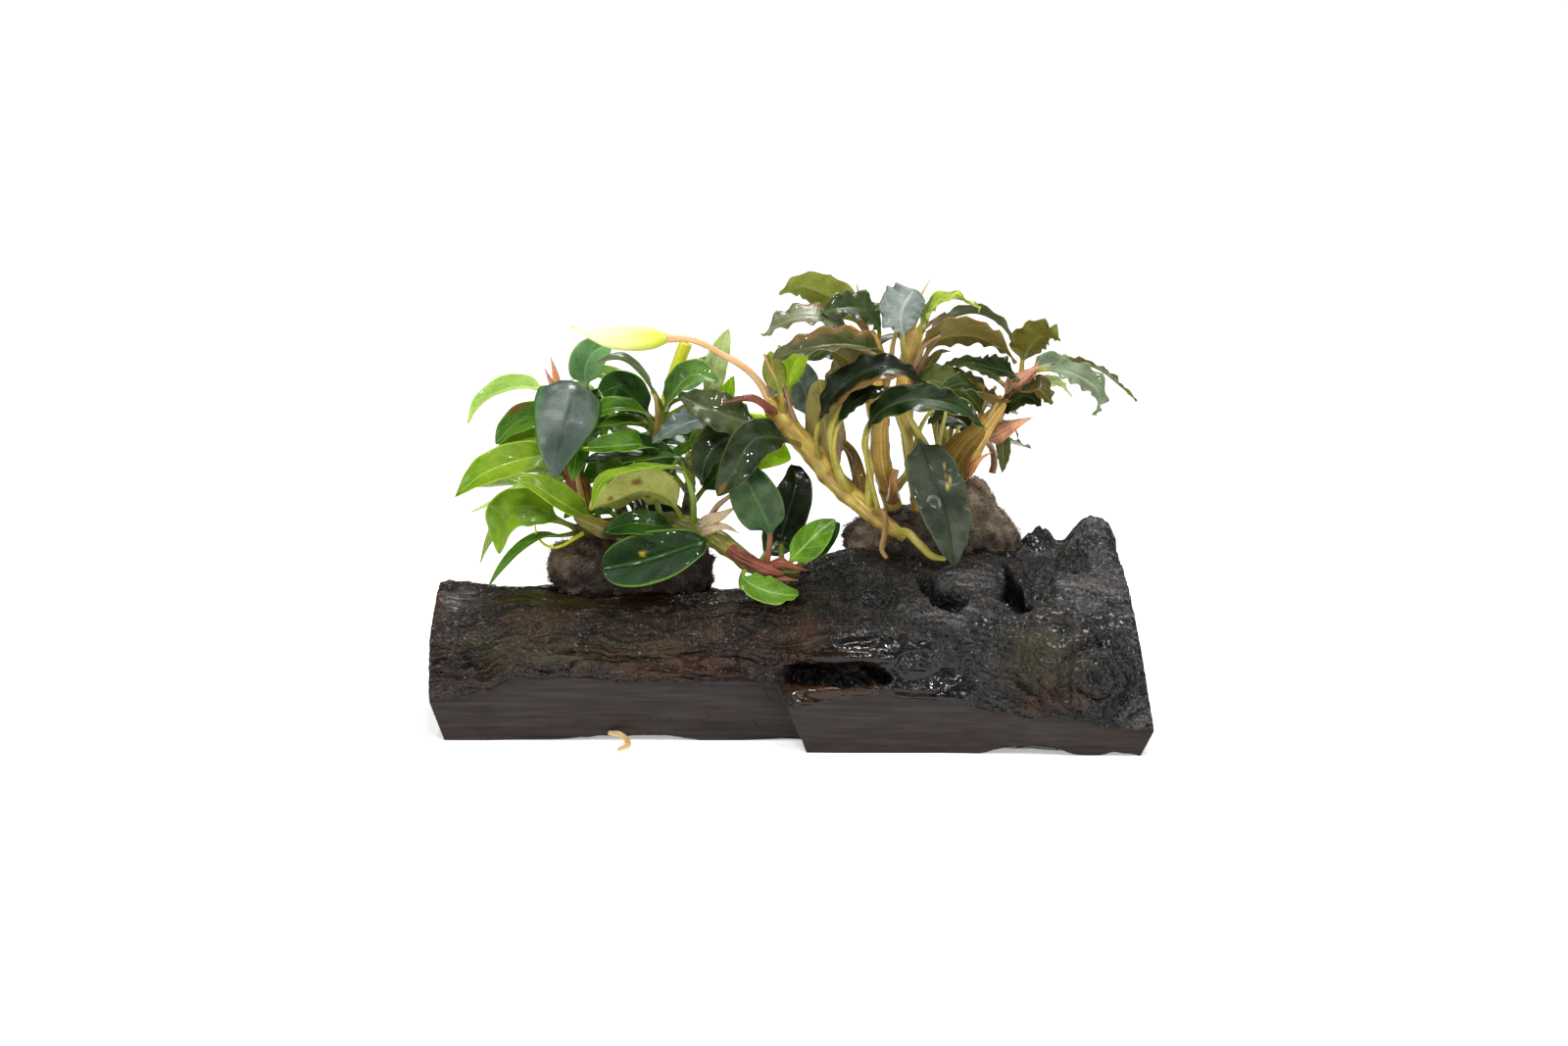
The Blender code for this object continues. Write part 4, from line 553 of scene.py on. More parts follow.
# Leaves of each stem: skin, outline, (width, share that is petiole), (fold in degrees, cup, margin
# wave), the way the upper side faces, and points of the midrib from the stem to the tip
leaves = {"stem_left_back": {
    "leaf_heart": ("sheenGrey", "heart", (14.5, 0.16), (-14, -0.12, 0.03), (0.25, -0.9, 0.35), [
        (-46.5, 2, 67), (-43.5, -3, 70.5), (-44, -10, 65.5), (-45.8, -13, 58.5), (-46.8, -13, 52)]),
    "leaf_pale_top": ("paleLime", "lance", (6.2, 0.15), (25, 0.05, 0.04), (-0.2, -0.5, 0.8), [
        (-47, 5, 66), (-52, 6, 68), (-58, 7, 67.5), (-63, 7, 64.5), (-66, 6, 60.5)]),
    "leaf_long_lime": ("lime", "lance", (8.5, 0.15), (15, 0.05, 0.04), (-0.1, -0.75, 0.65), [
        (-45, 2, 53), (-50, 0, 54.5), (-56, -2, 53.5), (-62.5, -3, 51), (-68, -4, 46.5)]),
    "leaf_upright_blue": ("blueGreen", "oval", (7.5, 0.5), (10, 0.05, 0.04), (0.1, -0.95, 0.3), [
        (-46.5, 7, 58.5), (-41.5, 8, 65), (-41.5, 7, 71), (-40, 6, 75), (-36, 5, 77.5)]),
    "green_notched": ("midGreen", "ellipse", (7.5, 0.15), (15, 0.05, 0.04), (-0.3, -0.7, 0.6), [
        (-46.5, 6, 61), (-51.5, 9, 61.5), (-56.5, 10, 59.5), (-60.5, 10, 55.5)]),
    "lime_behind": ("lime", "ellipse", (6, 0.2), (10, 0.05, 0.04), (-0.2, -0.5, 0.8), [
        (-46, 5, 56.5), (-52.5, 8, 57), (-58, 9, 55), (-61, 8, 51.5)]),
    "lime_strip": ("paleLime", "lance", (4, 0.2), (10, 0.05, 0.04), (-0.2, -0.6, 0.75), [
        (-43.5, 3, 50), (-47.5, -2.5, 50), (-51.5, -5, 49.8), (-56.5, -6.5, 48.8)]),
    "pale_under": ("paleLime", "lance", (5.5, 0.15), (8, 0.05, 0.04), (0, 0.6, 0.8), [
        (-42, 3, 47.5), (-49.5, 6, 48), (-57.5, 6, 48), (-65.5, 5, 47)]),
    "hanging_left": ("midGreen", "ellipse", (4.5, 0.25), (12, 0.05, 0.02), (0.3, -0.9, 0.3), [
        (-46, 4, 56.5), (-42.5, -4, 57.5), (-42.8, -7, 55), (-43.5, -8, 50.5)]),
    "sheath_red": ("redSheath", "strap", (4, 0.05), (-20, -0.2, 0.03), (0.1, -0.95, 0.3), [
        (-40.5, 3, 43), (-41, -0.5, 46.5), (-43.5, -1.5, 50), (-46, -3, 54)]),
    "bract_orange": ("orangeSheath", "spike", (1.6, 0.1), (-15, -0.1, 0), (0, -1, 0.1), [
        (-47, 5, 67), (-47.3, 5, 69.5), (-47.8, 5, 72), (-48.5, 5, 74.5)]),
    "bract_pink_small": ("pinkSheath", "spike", (1.4, 0.1), (-15, -0.1, 0), (0, -1, 0.1), [
        (-47, 5, 66.5), (-48, 3, 69), (-48.7, 2.5, 70.5), (-49.5, 2, 72.5)]),
    "behind_e": ("darkGreen", "ellipse", (7.5, 0.25), (12, 0.05, 0.04), (-0.1, -0.9, 0.5), [
        (-43, 5, 52.5), (-41.5, 9, 58.5), (-39.5, 11, 63.5), (-36, 12, 67)]),
    "behind_h": ("lime", "lance", (5.5, 0.2), (12, 0.05, 0.04), (-0.3, -0.6, 0.8), [
        (-43.5, 3, 47), (-49, 4, 51), (-55.5, 5, 51.5), (-61.5, 5, 48)]),
    "behind_l": ("darkGreen", "ellipse", (8, 0.2), (12, 0.05, 0.04), (-0.4, -0.7, 0.5), [
        (-45, 6, 50.5), (-49, 9, 54), (-53, 11, 55), (-57, 12, 52)]),
    "sheath_mid_left": ("brownSheath", "strap", (3.6, 0.05), (-22, -0.2, 0.03), (0.1, -1, 0.2), [
        (-40, 2, 37.5), (-41, -1, 43.5), (-42, -1, 48.5), (-44, 0, 53.5)]),
}, "rhizome_left": {
    "leaf_long_bright": ("lime", "lance", (7.5, 0.25), (20, 0.08, 0.03), (-0.3, -0.6, 0.7), [
        (-35, -3, 40), (-40.5, -7, 43), (-46, -10, 46.5), (-51, -11, 50), (-56, -11, 51.5)]),
    "leaf_veined_arch": ("veined", "ellipse", (10.5, 0.2), (10, 0.02, 0.04), (-0.35, -0.8, 0.5), [
        (-42.5, 2, 38.5), (-47.5, 0, 41.5), (-53, -1, 43.5), (-57.5, -3, 42), (-59, -4, 34.5)]),
    "leaf_narrow_low": ("midGreen", "lance", (4.5, 0.2), (15, 0.05, 0.02), (-0.3, -0.3, 0.9), [
        (-43, 0, 38), (-46, -4, 38.5), (-50, -6, 38.5), (-54.5, -8, 36), (-58, -9, 32.5), (-61, -9, 28.6)]),
    "leaf_olive_folded": ("oliveFolded", "ellipse", (12, 0.2), (20, 0.05, 0.1), (0, 0.75, 0.6), [
        (-20.5, -6.5, 42.5), (-23.5, -9, 46.7), (-29, -10, 48.7), (-35, -10.5, 46.7), (-40, -10.5, 45.2)]),
    "leaf_front_oval": ("deepGreen", "obovate", (11.8, 0.12), (10, -0.03, 0.02), (-0.1, -0.85, 0.5), [
        (-15.5, -10, 39), (-17, -14, 39), (-22, -16, 37.5), (-29, -17, 35.5), (-37, -17, 34)]),
    "leaf_small_glossy": ("limeGloss", "oval", (7, 0.22), (12, -0.04, 0.07), (0, -0.6, 0.8), [
        (-7, -13, 34), (-8.5, -15.5, 32), (-5.5, -17, 30), (-1, -18, 28.8), (3, -19, 28.8)]),
    "leaf_blue_dark": ("blueDark", "ellipse", (10.5, 0.3), (14, 0.05, 0.05), (-0.1, -0.9, 0.4), [
        (-3.5, -13, 34.5), (-3, -13.5, 38), (-3, -13.5, 41.5), (-5, -14, 46.5), (-7.5, -14, 51.5),
        (-8.5, -11, 55)]),
    "leaf_black_green": ("blackGreen", "ellipse", (8.5, 0.25), (12, 0.04, 0.05), (0.1, -0.9, 0.3), [
        (0, -10, 33.5), (-0.5, -7, 38.5), (1, -6, 44), (2.5, -4, 49.5), (1.5, -1.5, 53)]),
    "leaf_lime_round": ("limeGloss", "ellipse", (7, 0.2), (-8, -0.05, 0.02), (0, -0.8, 0.6), [
        (2, -12, 32.5), (1.5, -14, 35), (4.5, -14.5, 38.5), (7.5, -14.5, 41.5), (10.5, -13.5, 43.5)]),
    "pale_low": ("paleLime", "lance", (4, 0.3), (12, 0.05, 0.04), (-0.3, -0.7, 0.6), [
        (-42, 1, 38.8), (-48.5, 8, 39.5), (-58, 9, 39.5), (-61.5, 8, 36), (-64, 7, 30.5)]),
    "dark_low": ("darkGreen", "ellipse", (7, 0.2), (10, 0.05, 0.04), (0, -0.8, 0.5), [
        (2.5, -12, 32.5), (5, -8, 36), (8, -7.5, 39), (11.5, -9.5, 42)]),
    "bract_red_end": ("redSheath", "spike", (2.4, 0.1), (-15, -0.15, 0), (0, -0.8, 0.6), [
        (-4.5, -12, 33), (-2, -14, 32), (0.5, -15, 31.5), (3, -15.5, 31.2)]),
    "behind_i": ("midGreen", "ellipse", (6.5, 0.3), (12, 0.05, 0.04), (-0.3, -0.7, 0.6), [
        (-32.5, -3, 39.5), (-37, 2, 43), (-41.5, 4, 44), (-46, 5, 40.5)]),
    "behind_k": ("darkGreen", "ellipse", (7.5, 0.25), (12, 0.05, 0.04), (0.2, -0.8, 0.5), [
        (-5, -8, 33.5), (-2, -3, 37), (1, -1, 38), (5.5, -1, 36)]),
    "red_low": ("redSheath", "strap", (3.0, 0.06), (-20, -0.2, 0.03), (0, -0.9, 0.4), [
        (-11, -11, 37.5), (-7.5, -14, 35.5), (-4.5, -15, 34), (0, -15, 32.5)]),
    "red_low_left": ("redSheath", "strap", (3.0, 0.06), (-18, -0.2, 0.03), (0, -0.9, 0.4), [
        (-13, -10, 38.5), (-9.5, -14, 36.5), (-6.5, -15, 35), (-3, -15, 33.5)]),
    "pale_bract": ("paleSheath", "spike", (3.6, 0.05), (-16, -0.2, 0.05), (0, -0.9, 0.4), [
        (-19, -8, 39.5), (-15.5, -12, 43), (-12.5, -13, 44.5), (-9, -13, 46.5)]),
    "pale_bract_low": ("paleSheath", "spike", (3.0, 0.05), (-16, -0.2, 0.05), (0, -0.9, 0.4), [
        (-18.5, -8, 39.5), (-15.5, -12, 41.5), (-12, -13, 42), (-9, -13, 40.5)]),
    "red_low_right": ("redSheath", "spike", (2.6, 0.06), (-18, -0.2, 0.03), (0, -0.9, 0.4), [
        (-3.5, -12, 34.5), (-1, -15, 35), (2, -15, 34), (5, -14, 33)]),
    "sheath_low_left": ("oliveBrown", "strap", (3.8, 0.05), (-18, -0.2, 0.03), (0, -0.95, 0.3), [
        (-32, -9, 39), (-36, -12, 41), (-39.5, -13, 42.5), (-43, -13, 44)]),
    "low_cover": ("darkGreen", "ellipse", (6.0, 0.2), (12, 0.05, 0.04), (0, -0.8, 0.6), [
        (-21.5, -8, 39.5), (-26, -12, 42), (-31, -13, 42.5), (-37, -13, 41)]),
}, "stem_left_mid": {
    "leaf_grey_arch": ("greyGreen", "lance", (5, 0.3), (20, 0.05, 0.03), (-0.4, -0.3, 0.85), [
        (-25, 6, 62), (-26, 4.3, 65.5), (-29.3, 2.5, 71), (-33.5, 1.2, 74.5), (-39, 0, 74)]),
    "leaf_blue_rim": ("midGreen", "ellipse", (7, 0.2), (15, 0.05, 0.04), (-0.1, -0.45, 0.9), [
        (-26, 2, 60.5), (-30, 0, 64), (-35.5, -2.5, 64.8), (-40.5, -4.5, 63)]),
    "leaf_yellow_rim": ("midGreen", "ellipse", (7.5, 0.2), (15, 0.05, 0.04), (0, -0.5, 0.85), [
        (-28, 2, 54.5), (-29.5, -6, 57.8), (-35.5, -9, 57.8), (-42, -9.5, 57.6)]),
    "leaf_dark_shiny": ("darkGreen", "ellipse", (7, 0.2), (15, 0.05, 0.04), (-0.1, -0.3, 0.9), [
        (-28.5, 3, 51), (-31.5, -2, 54.5), (-36, -6, 55), (-41, -9, 54.5)]),
    "leaf_green_curled": ("curled", "ellipse", (8, 0.15), (15, 0.08, 0.04), (-0.5, -0.6, 0.6), [
        (-25, 4, 61.5), (-23.5, 1, 66.5), (-19, -1, 71.5), (-13.5, -2, 70.5)]),
    "leaf_pale_upright": ("paleOlive", "ellipse", (5, 0.4), (10, 0.05, 0.06), (0, -0.9, 0.2), [
        (-25.5, 7, 61), (-16, 9, 67), (-14, 9, 73), (-11.5, 8, 80)]),
    "lime_flat": ("lime", "lance", (6, 0.2), (10, 0.05, 0.04), (0, -0.4, 0.9), [
        (-26.6, 6, 59), (-31, 11, 65.5), (-38, 12.5, 70), (-45, 13, 68.5)]),
    "dark_back": ("darkGreen", "ellipse", (8, 0.2), (12, 0.05, 0.04), (0.1, -0.9, 0.4), [
        (-26.5, 6, 60), (-31, 7.5, 65), (-34.5, 6.5, 68), (-39, 5.5, 66.5)]),
    "green_short": ("midGreen", "ellipse", (5, 0.2), (12, 0.05, 0.04), (-0.1, -0.4, 0.9), [
        (-27, 6, 57.5), (-30, 9, 60.5), (-33.5, 10.5, 61), (-38, 11, 60)]),
    "folded_green": ("midGreen", "lance", (5, 0.2), (25, 0.05, 0.04), (-0.1, -0.4, 0.9), [
        (-26.5, 6, 58.5), (-29.5, 1, 60.8), (-33.5, -3, 61.6), (-39, -6, 61.4)]),
    "lime_small": ("limeBright", "ellipse", (5, 0.35), (10, 0.05, 0.04), (0, -0.9, 0.4), [
        (-26.7, 6, 58.5), (-18, 13, 59.5), (-12.5, 13.5, 65), (-10.5, 13, 69.5)]),
    "sheath_pale": ("paleLime", "spike", (2.4, 0.1), (-20, -0.15, 0), (0, -1, 0.2), [
        (-27.5, 6, 57), (-33, 4, 59), (-36, 3, 63.5), (-38.5, 3, 68)]),
    "behind_b": ("midGreen", "ellipse", (7.5, 0.2), (12, 0.05, 0.04), (-0.2, -0.8, 0.6), [
        (-30, 6, 43), (-33, 8, 48.5), (-38, 9, 50), (-43, 9, 46)]),
    "behind_c": ("darkGreen", "ellipse", (6.5, 0.25), (12, 0.05, 0.04), (0.3, -0.7, 0.7), [
        (-29, 6, 52.5), (-26.5, 8, 57), (-21.5, 9, 57.5), (-17, 9, 54.5)]),
    "behind_f": ("midGreen", "lance", (6.5, 0.2), (12, 0.05, 0.04), (-0.1, -0.6, 0.8), [
        (-28, 6, 59), (-31.5, 10, 63), (-36.5, 12, 64), (-41.5, 13, 62)]),
    "crown_behind": ("blueGreen", "lance", (6, 0.3), (12, 0.05, 0.04), (0.2, -0.7, 0.7), [
        (-26.5, 6, 63), (-22.5, 9, 68), (-18, 9, 71), (-15, 9, 74.5)]),
}, "stem_left_right": {
    "leaf_long_arch": ("lime", "lance", (6, 0.3), (15, 0.02, 0.03), (-0.35, -0.3, 0.9), [
        (-18, -2, 46), (-19.5, -5, 51), (-22, -9, 53.6), (-30, -16.5, 54), (-36.5, -18.5, 52.3),
        (-39, -19, 46.3)]),
    "leaf_backlit": ("limeBright", "oval", (12, 0.15), (8, 0.02, 0.05), (0, -0.9, 0.4), [
        (-19.5, 4, 52), (-13.5, 9, 54), (-6, 11, 56.5), (1, 11, 58)]),
    "thin_edge": ("midGreen", "lance", (4.5, 0.2), (10, 0.05, 0.03), (0, -0.1, 1), [
        (-19.5, 1, 51), (-21.5, -3.5, 54.7), (-26.5, -7.8, 55.4), (-33, -10.8, 54.7)]),
    "thin_right": ("midGreen", "lance", (3, 0.2), (10, 0.05, 0.03), (0, -0.3, 1), [
        (-19.5, 1.5, 51), (-22.5, 5, 53.5), (-20, 6, 55.5), (-16, 6, 57)]),
    "behind_a": ("darkGreen", "ellipse", (7.5, 0.2), (12, 0.05, 0.04), (-0.2, -0.7, 0.7), [
        (-20.5, 4, 46.5), (-26, 3, 53.5), (-33, 3, 55.5), (-38.5, 3, 52.5)]),
    "behind_d": ("midGreen", "ellipse", (7, 0.25), (12, 0.05, 0.04), (0.3, -0.7, 0.7), [
        (-20, 2, 51), (-17.5, 5, 56), (-13.5, 7, 57), (-9, 8, 54)]),
    "behind_g": ("darkGreen", "ellipse", (7, 0.3), (12, 0.05, 0.04), (0.2, -0.8, 0.5), [
        (-19, 1, 43), (-16, 2, 48), (-12, 4, 50.5), (-7.5, 5, 48)]),
    "backlit_low": ("limeBright", "ellipse", (11, 0.2), (8, 0.02, 0.05), (0.1, -0.9, 0.4), [
        (-19.5, 4, 54), (-13, 9, 55), (-6, 11, 54.5), (1.5, 12, 52)]),
}, "stem_right_leaning": {
    "leaf_olive_oval": ("oliveSheen", "ellipse", (10, 0.3), (10, 0.03, 0.09), (-0.1, -0.75, 0.65), [
        (0, -5, 61), (-4.5, -9, 63), (-8.5, -11, 63.5), (-15, -12.5, 66), (-21.5, -12.5, 69)]),
    "leaf_grey_blue": ("greyBlue", "lance", (7.5, 0.45), (12, 0.04, 0.08), (-0.3, -0.6, 0.75), [
        (1, -4, 60), (-8, -4.5, 61), (-16, -6, 63), (-21.5, -8, 61.8), (-27, -8.8, 58.5)]),
    "leaf_dark_folded": ("darkGrey", "ellipse", (8.5, 0.3), (15, 0.08, 0.1), (-0.3, -0.8, 0.5), [
        (2.5, -6, 58.5), (-5, -9, 60.5), (-11.5, -11, 60), (-15.5, -13, 56.5), (-17, -13, 50.5)]),
    "leaf_dark_tipped": ("darkGrey", "ellipse", (8.5, 0.2), (15, 0.06, 0.1), (0.3, -0.9, 0.3), [
        (4.5, -8, 57.5), (-3, -13, 60.5), (-7, -15.5, 59.5), (-10, -17.5, 54.5), (-13.5, -17.5, 49)]),
    "leaf_black_arch": ("blackGreen", "lance", (9, 0.3), (10, 0.03, 0.1), (-0.2, -0.65, 0.75), [
        (7.5, -9, 54), (6.5, -12, 61), (9.5, -15, 68.5), (16, -17, 74), (23, -18, 75), (28.5, -18, 72)]),
    "leaf_dark_arch": ("darkRimmed", "lance", (8.5, 0.42), (10, 0.03, 0.12), (0, -0.6, 0.8), [
        (20, -10, 42.5), (17.5, -12.5, 52.5), (16.5, -15, 59.5), (19, -18, 66), (26, -19.5, 69),
        (34, -20, 68), (41, -20, 63)]),
    "leaf_tan_striped": ("tanUnder", "strap", (8, 0.1), (-10, -0.05, 0.04), (0, -1, 0.1), [
        (9.5, -4, 53), (9, -4.5, 58), (8, -4.5, 64), (7.5, -3.5, 71)]),
    "under_arch": ("darkRimmed", "lance", (6, 0.55), (12, 0.05, 0.06), (-0.2, -0.5, 0.85), [
        (13.5, -7.5, 48), (10.5, -12.5, 55), (10.5, -13.5, 61.5), (13.5, -13.5, 67), (17.5, -13.5, 69.3),
        (23.5, -13, 69.8)]),
    "olive_upright": ("oliveUnder", "ellipse", (5, 0.45), (15, 0.08, 0.06), (0, 0.9, 0.2), [
        (-0.5, -5, 63), (-0.5, -8, 68), (-1.8, -8.7, 72), (-2.8, -8.7, 77.5)]),
    "lime_bright": ("limeBright", "ellipse", (5, 0.5), (10, 0.05, 0.05), (0, -0.9, 0.3), [
        (1, -5, 61), (1, 1, 68), (2, 3, 73), (5, 3, 77)]),
    "sheath_brown_v": ("brownSheath", "strap", (3, 0.1), (-15, -0.15, 0.03), (0, -1, 0.2), [
        (16, -8, 45.5), (15.5, -1, 50.5), (14, 1, 55), (11.5, 1.5, 58)]),
    "bract_pink": ("redSheath", "spike", (3, 0.1), (-15, -0.15, 0), (0, -0.8, 0.6), [
        (-1, -4.7, 63.8), (-2.5, -9.5, 66), (-6.5, -12.5, 68.6), (-13, -13.5, 67.5)]),
    "dark_behind_left": ("greyBlue", "ellipse", (8, 0.3), (12, 0.05, 0.06), (-0.2, -0.9, 0.3), [
        (8.5, 0, 60), (4.5, 6, 67), (0.5, 8, 70.5), (-3, 8, 65)]),
}, "stem_right_upright": {
    "leaf_olive_crown": ("oliveUnder", "ellipse", (8, 0.35), (12, 0.05, 0.11), (-0.3, 0.8, 0.5), [
        (18.8, 2, 73.5), (17.3, 5.3, 79), (12.5, 4.4, 85.3), (7.5, 3.4, 88.3), (3.5, 2, 89.5),
        (-1, 1, 88)]),
    "leaf_grey_lobed": ("greyLobed", "ellipse", (8.5, 0.2), (12, 0.06, 0.18), (-0.1, -0.4, 0.9), [
        (19, -1, 74.5), (12, -3, 81), (6, -4, 83.8), (0.5, -5, 83), (-4.5, -6, 80.3)]),
    "leaf_dark_spiked": ("spiked", "ellipse", (8.5, 0.2), (12, 0.05, 0.16), (-0.1, -0.6, 0.8), [
        (19, 1, 76.5), (19.5, 0, 81), (16, -1, 85), (11.5, -2, 85.5), (7.5, -3, 84.5)]),
    "leaf_dark_wavy": ("oliveWavy", "ellipse", (9, 0.2), (20, 0.05, 0.14), (0, -0.45, 0.85), [
        (19.5, -3, 71.5), (19.5, -8, 77), (13.5, -11, 79), (8, -12, 79), (2.5, -12.5, 78),
        (-2.5, -13, 76.3)]),
    "brown_grey": ("oliveBrown", "ellipse", (6, 0.2), (12, 0.05, 0.12), (0, 0.8, 0.5), [
        (20, 0, 68), (16.5, -3, 72), (13.5, -4.5, 75), (9.5, -5.5, 77.5)]),
    "sheath_yellow_left": ("yellowSheath", "spike", (3.5, 0.05), (-15, -0.2, 0), (0, -1, 0.1), [
        (20, 0.5, 67), (18, 0.2, 72.5), (16.8, 0.2, 77), (16.2, 0.2, 81.5)]),
    "spike_left": ("orangeSheath", "spike", (1.5, 0.1), (-10, -0.1, 0), (0, -1, 0.1), [
        (19, 0, 76), (17, 2.6, 80), (16, 3.6, 85), (15, 3.8, 90)]),
    "centre_brown": ("oliveBrown", "ellipse", (7, 0.3), (12, 0.05, 0.08), (-0.3, -0.8, 0.5), [
        (19.5, 0, 60), (16.5, -2, 68.5), (12.5, -3, 72.5), (8.5, -3, 70)]),
    "centre_dark": ("oliveDark", "ellipse", (8, 0.2), (12, 0.05, 0.1), (-0.1, -0.7, 0.7), [
        (19.5, 2, 72), (15.5, 6, 75), (10, 7, 76), (4.5, 7, 73.5)]),
    "gold_left": ("goldSheath", "strap", (5.4, 0.04), (-26, -0.25, 0.02), (-0.1, -1, 0.1), [
        (20, -1, 58), (19, -3, 66), (18.5, -3, 73.5), (18, -2, 81)]),
    "gold_low": ("goldSheath", "strap", (4.2, 0.04), (-26, -0.25, 0.02), (0.1, -1, 0.1), [
        (21, -1, 44.5), (20.5, -3, 52), (20, -3, 59), (21, -2, 66.5)]),
}, "stem_right_second": {
    "leaf_white_top": ("white", "obovate", (9.6, 0.52), (14, 0.1, 0.2), (-0.15, -0.85, 0.5), [
        (26, -3, 72), (24.5, -5.5, 77), (24.2, -7, 81), (24, -7.5, 85.5), (26.5, -6.5, 90)]),
    "leaf_lime_wavy": ("limeWavy", "lance", (8, 0.3), (10, 0.05, 0.14), (0, -0.1, 1), [
        (26.8, 2, 71), (28.5, 4.5, 79), (31, 4, 85), (35.5, 2.5, 87), (40.5, 1, 85)]),
    "leaf_long_arching": ("oliveGrey", "lance", (7, 0.35), (15, 0.05, 0.1), (0.2, 0.35, 0.9), [
        (26.5, 3, 68.5), (28.5, 7, 76), (32.5, 8.5, 81), (39, 8, 83.5), (44.5, 7, 81.5), (48.5, 6, 76.5)]),
    "leaf_olive_arching": ("oliveBrown", "lance", (8.5, 0.3), (12, 0.05, 0.08), (0.1, 0.75, 0.65), [
        (26.5, -2, 69), (28.3, -4.8, 74.5), (31.5, -5.5, 79.5), (38, -6, 80.5), (43.5, -7, 78.5),
        (47.5, -8, 75)]),
    "leaf_mid_green": ("oliveGreen", "ellipse", (7.5, 0.2), (12, 0.05, 0.14), (0.1, -0.8, 0.6), [
        (26, 0, 65), (28, -4, 70), (31, -6, 71), (34, -8, 69.5), (37.5, -9, 66)]),
    "leaf_front_hanging": ("hanging", "ellipse", (11.5, 0.28), (18, 0.03, 0.07), (0.05, -0.9, 0.35), [
        (25, -3, 60), (26.5, -9, 61), (28.5, -15, 57.5), (30.5, -19, 52), (33, -21, 45),
        (34.5, -22, 35.5)]),
    "yellow_brown": ("oliveBrown", "lance", (3, 0.3), (10, 0.05, 0.08), (0, -0.4, 0.9), [
        (25.6, -1.5, 64.5), (29, 8, 70.5), (32.5, 11, 74.5), (35, 11, 75)]),
    "sheath_yellow_right": ("yellowSheath", "spike", (3.6, 0.05), (-15, -0.2, 0), (0, -1, 0.1), [
        (26.4, -1, 72), (26.9, -0.9, 75.5), (27.6, -0.7, 79), (28.5, -0.5, 82)]),
    "spike_right": ("orangeSheath", "spike", (1.5, 0.1), (-10, -0.1, 0), (0, -1, 0.1), [
        (26.3, -1, 72), (26, -1.5, 82.5), (27.5, -2, 87), (30, -2, 91.5)]),
    "gold_right": ("goldSheath", "strap", (4.2, 0.04), (-26, -0.25, 0.02), (0.1, -1, 0.1), [
        (25, -3, 60), (25, -4, 67.5), (25.5, -4, 75), (27, -4, 81.5)]),
}, "stem_right_side": {
    "leaf_olive_lobed": ("oliveLobed", "ellipse", (9, 0.25), (14, 0.06, 0.11), (-0.1, 0.8, 0.6), [
        (49.5, 2, 71), (49.5, 3, 74.5), (51, 2, 77.5), (53.5, 1, 79.5), (57, 0, 78.5)]),
    "leaf_grey_far": ("greyFar", "lance", (7.5, 0.3), (10, 0.05, 0.14), (0.2, -0.6, 0.8), [
        (49, -2, 71), (52.5, -4, 73), (56.5, -4, 73), (61, -5, 71.5), (64.5, -6, 68.5), (64, -7, 64)]),
    "glossy_small": ("darkGloss", "ellipse", (7, 0.2), (14, 0.05, 0.12), (-0.1, -0.7, 0.7), [
        (48.5, 0, 70.5), (46.5, -5, 72.5), (42.5, -9, 74), (38, -10, 75.5)]),
    "olive_short": ("oliveDark", "lance", (4.5, 0.2), (10, 0.05, 0.1), (-0.1, -0.5, 0.85), [
        (47, 0, 68), (42.5, 3, 71.5), (38, 3, 73.5), (32.5, 2.5, 73)]),
    "olive_curled": ("oliveBrown", "ellipse", (6.5, 0.1), (25, 0.1, 0.12), (-0.1, -0.5, 0.85), [
        (46.3, 0, 66.5), (43.5, -5, 66.5), (40.5, -8.5, 68), (37.5, -9.5, 72)]),
    "pink_sheath": ("pinkSheath", "spike", (3.6, 0.05), (-18, -0.2, 0.02), (0.2, -0.9, 0.4), [
        (45.5, 0, 65), (49, -0.8, 68), (51, -0.6, 71), (52.6, -0.3, 74.5)]),
    "brown_curled": ("oliveBrown", "ellipse", (6, 0.1), (20, 0.08, 0.14), (0.1, -0.6, 0.8), [
        (48, 0, 69), (50, -4, 68.5), (52.5, -5.5, 69), (55, -5, 66)]),
    "thin_far": ("oliveDark", "lance", (5, 0.25), (12, 0.05, 0.16), (0.3, 0.1, 0.95), [
        (49, 0, 71), (54.5, 5, 72.5), (60, 6, 73.5), (65.5, 5, 72), (70, 4, 68.5), (73.2, 3, 65.5)]),
    "beige_small": ("paleOlive", "lance", (3.5, 0.3), (10, 0.05, 0.1), (0.1, -0.6, 0.8), [
        (47.5, 0, 68.5), (53.5, 4.5, 69), (57, 6, 69), (60, 6, 66)]),
    "sheath_pink_yellow": ("pinkSheath", "spike", (4.6, 0.05), (-18, -0.2, 0.02), (0.1, -0.9, 0.4), [
        (41.5, 1.3, 58.5), (44, -3.5, 60), (47.5, -5, 62), (51.5, -5, 63.5)]),
    "brown_small": ("brownSheath", "lance", (3, 0.2), (10, 0.05, 0.08), (0.2, -0.6, 0.7), [
        (42.5, 1, 59.5), (46, 5, 60), (48, 6, 59.5), (49, 6, 57)]),
    "olive_hanging": ("oliveUnder", "lance", (3.6, 0.2), (8, 0.04, 0.04), (0.3, -0.85, 0.3), [
        (41.5, 1.3, 58.5), (44.5, 3, 58.5), (45.5, 3, 56), (45.5, 2.5, 50.5)]),
    "sheath_brown_right": ("brownSheath", "strap", (6.5, 0.05), (-14, -0.2, 0.05), (0, -1, 0.3), [
        (36, 3, 48), (34.5, -4, 53), (37, -7, 58), (41, -7, 61.5)]),
    "scale_orange": ("orangeSheath", "spike", (2.4, 0.1), (-14, -0.15, 0), (0, -1, 0.3), [
        (36, 3, 48.5), (38.5, -2, 52), (40.5, -3.5, 54.5), (43, -4, 56)]),
    "olive_behind": ("oliveGreen", "ellipse", (7.5, 0.2), (12, 0.05, 0.08), (-0.1, -0.7, 0.7), [
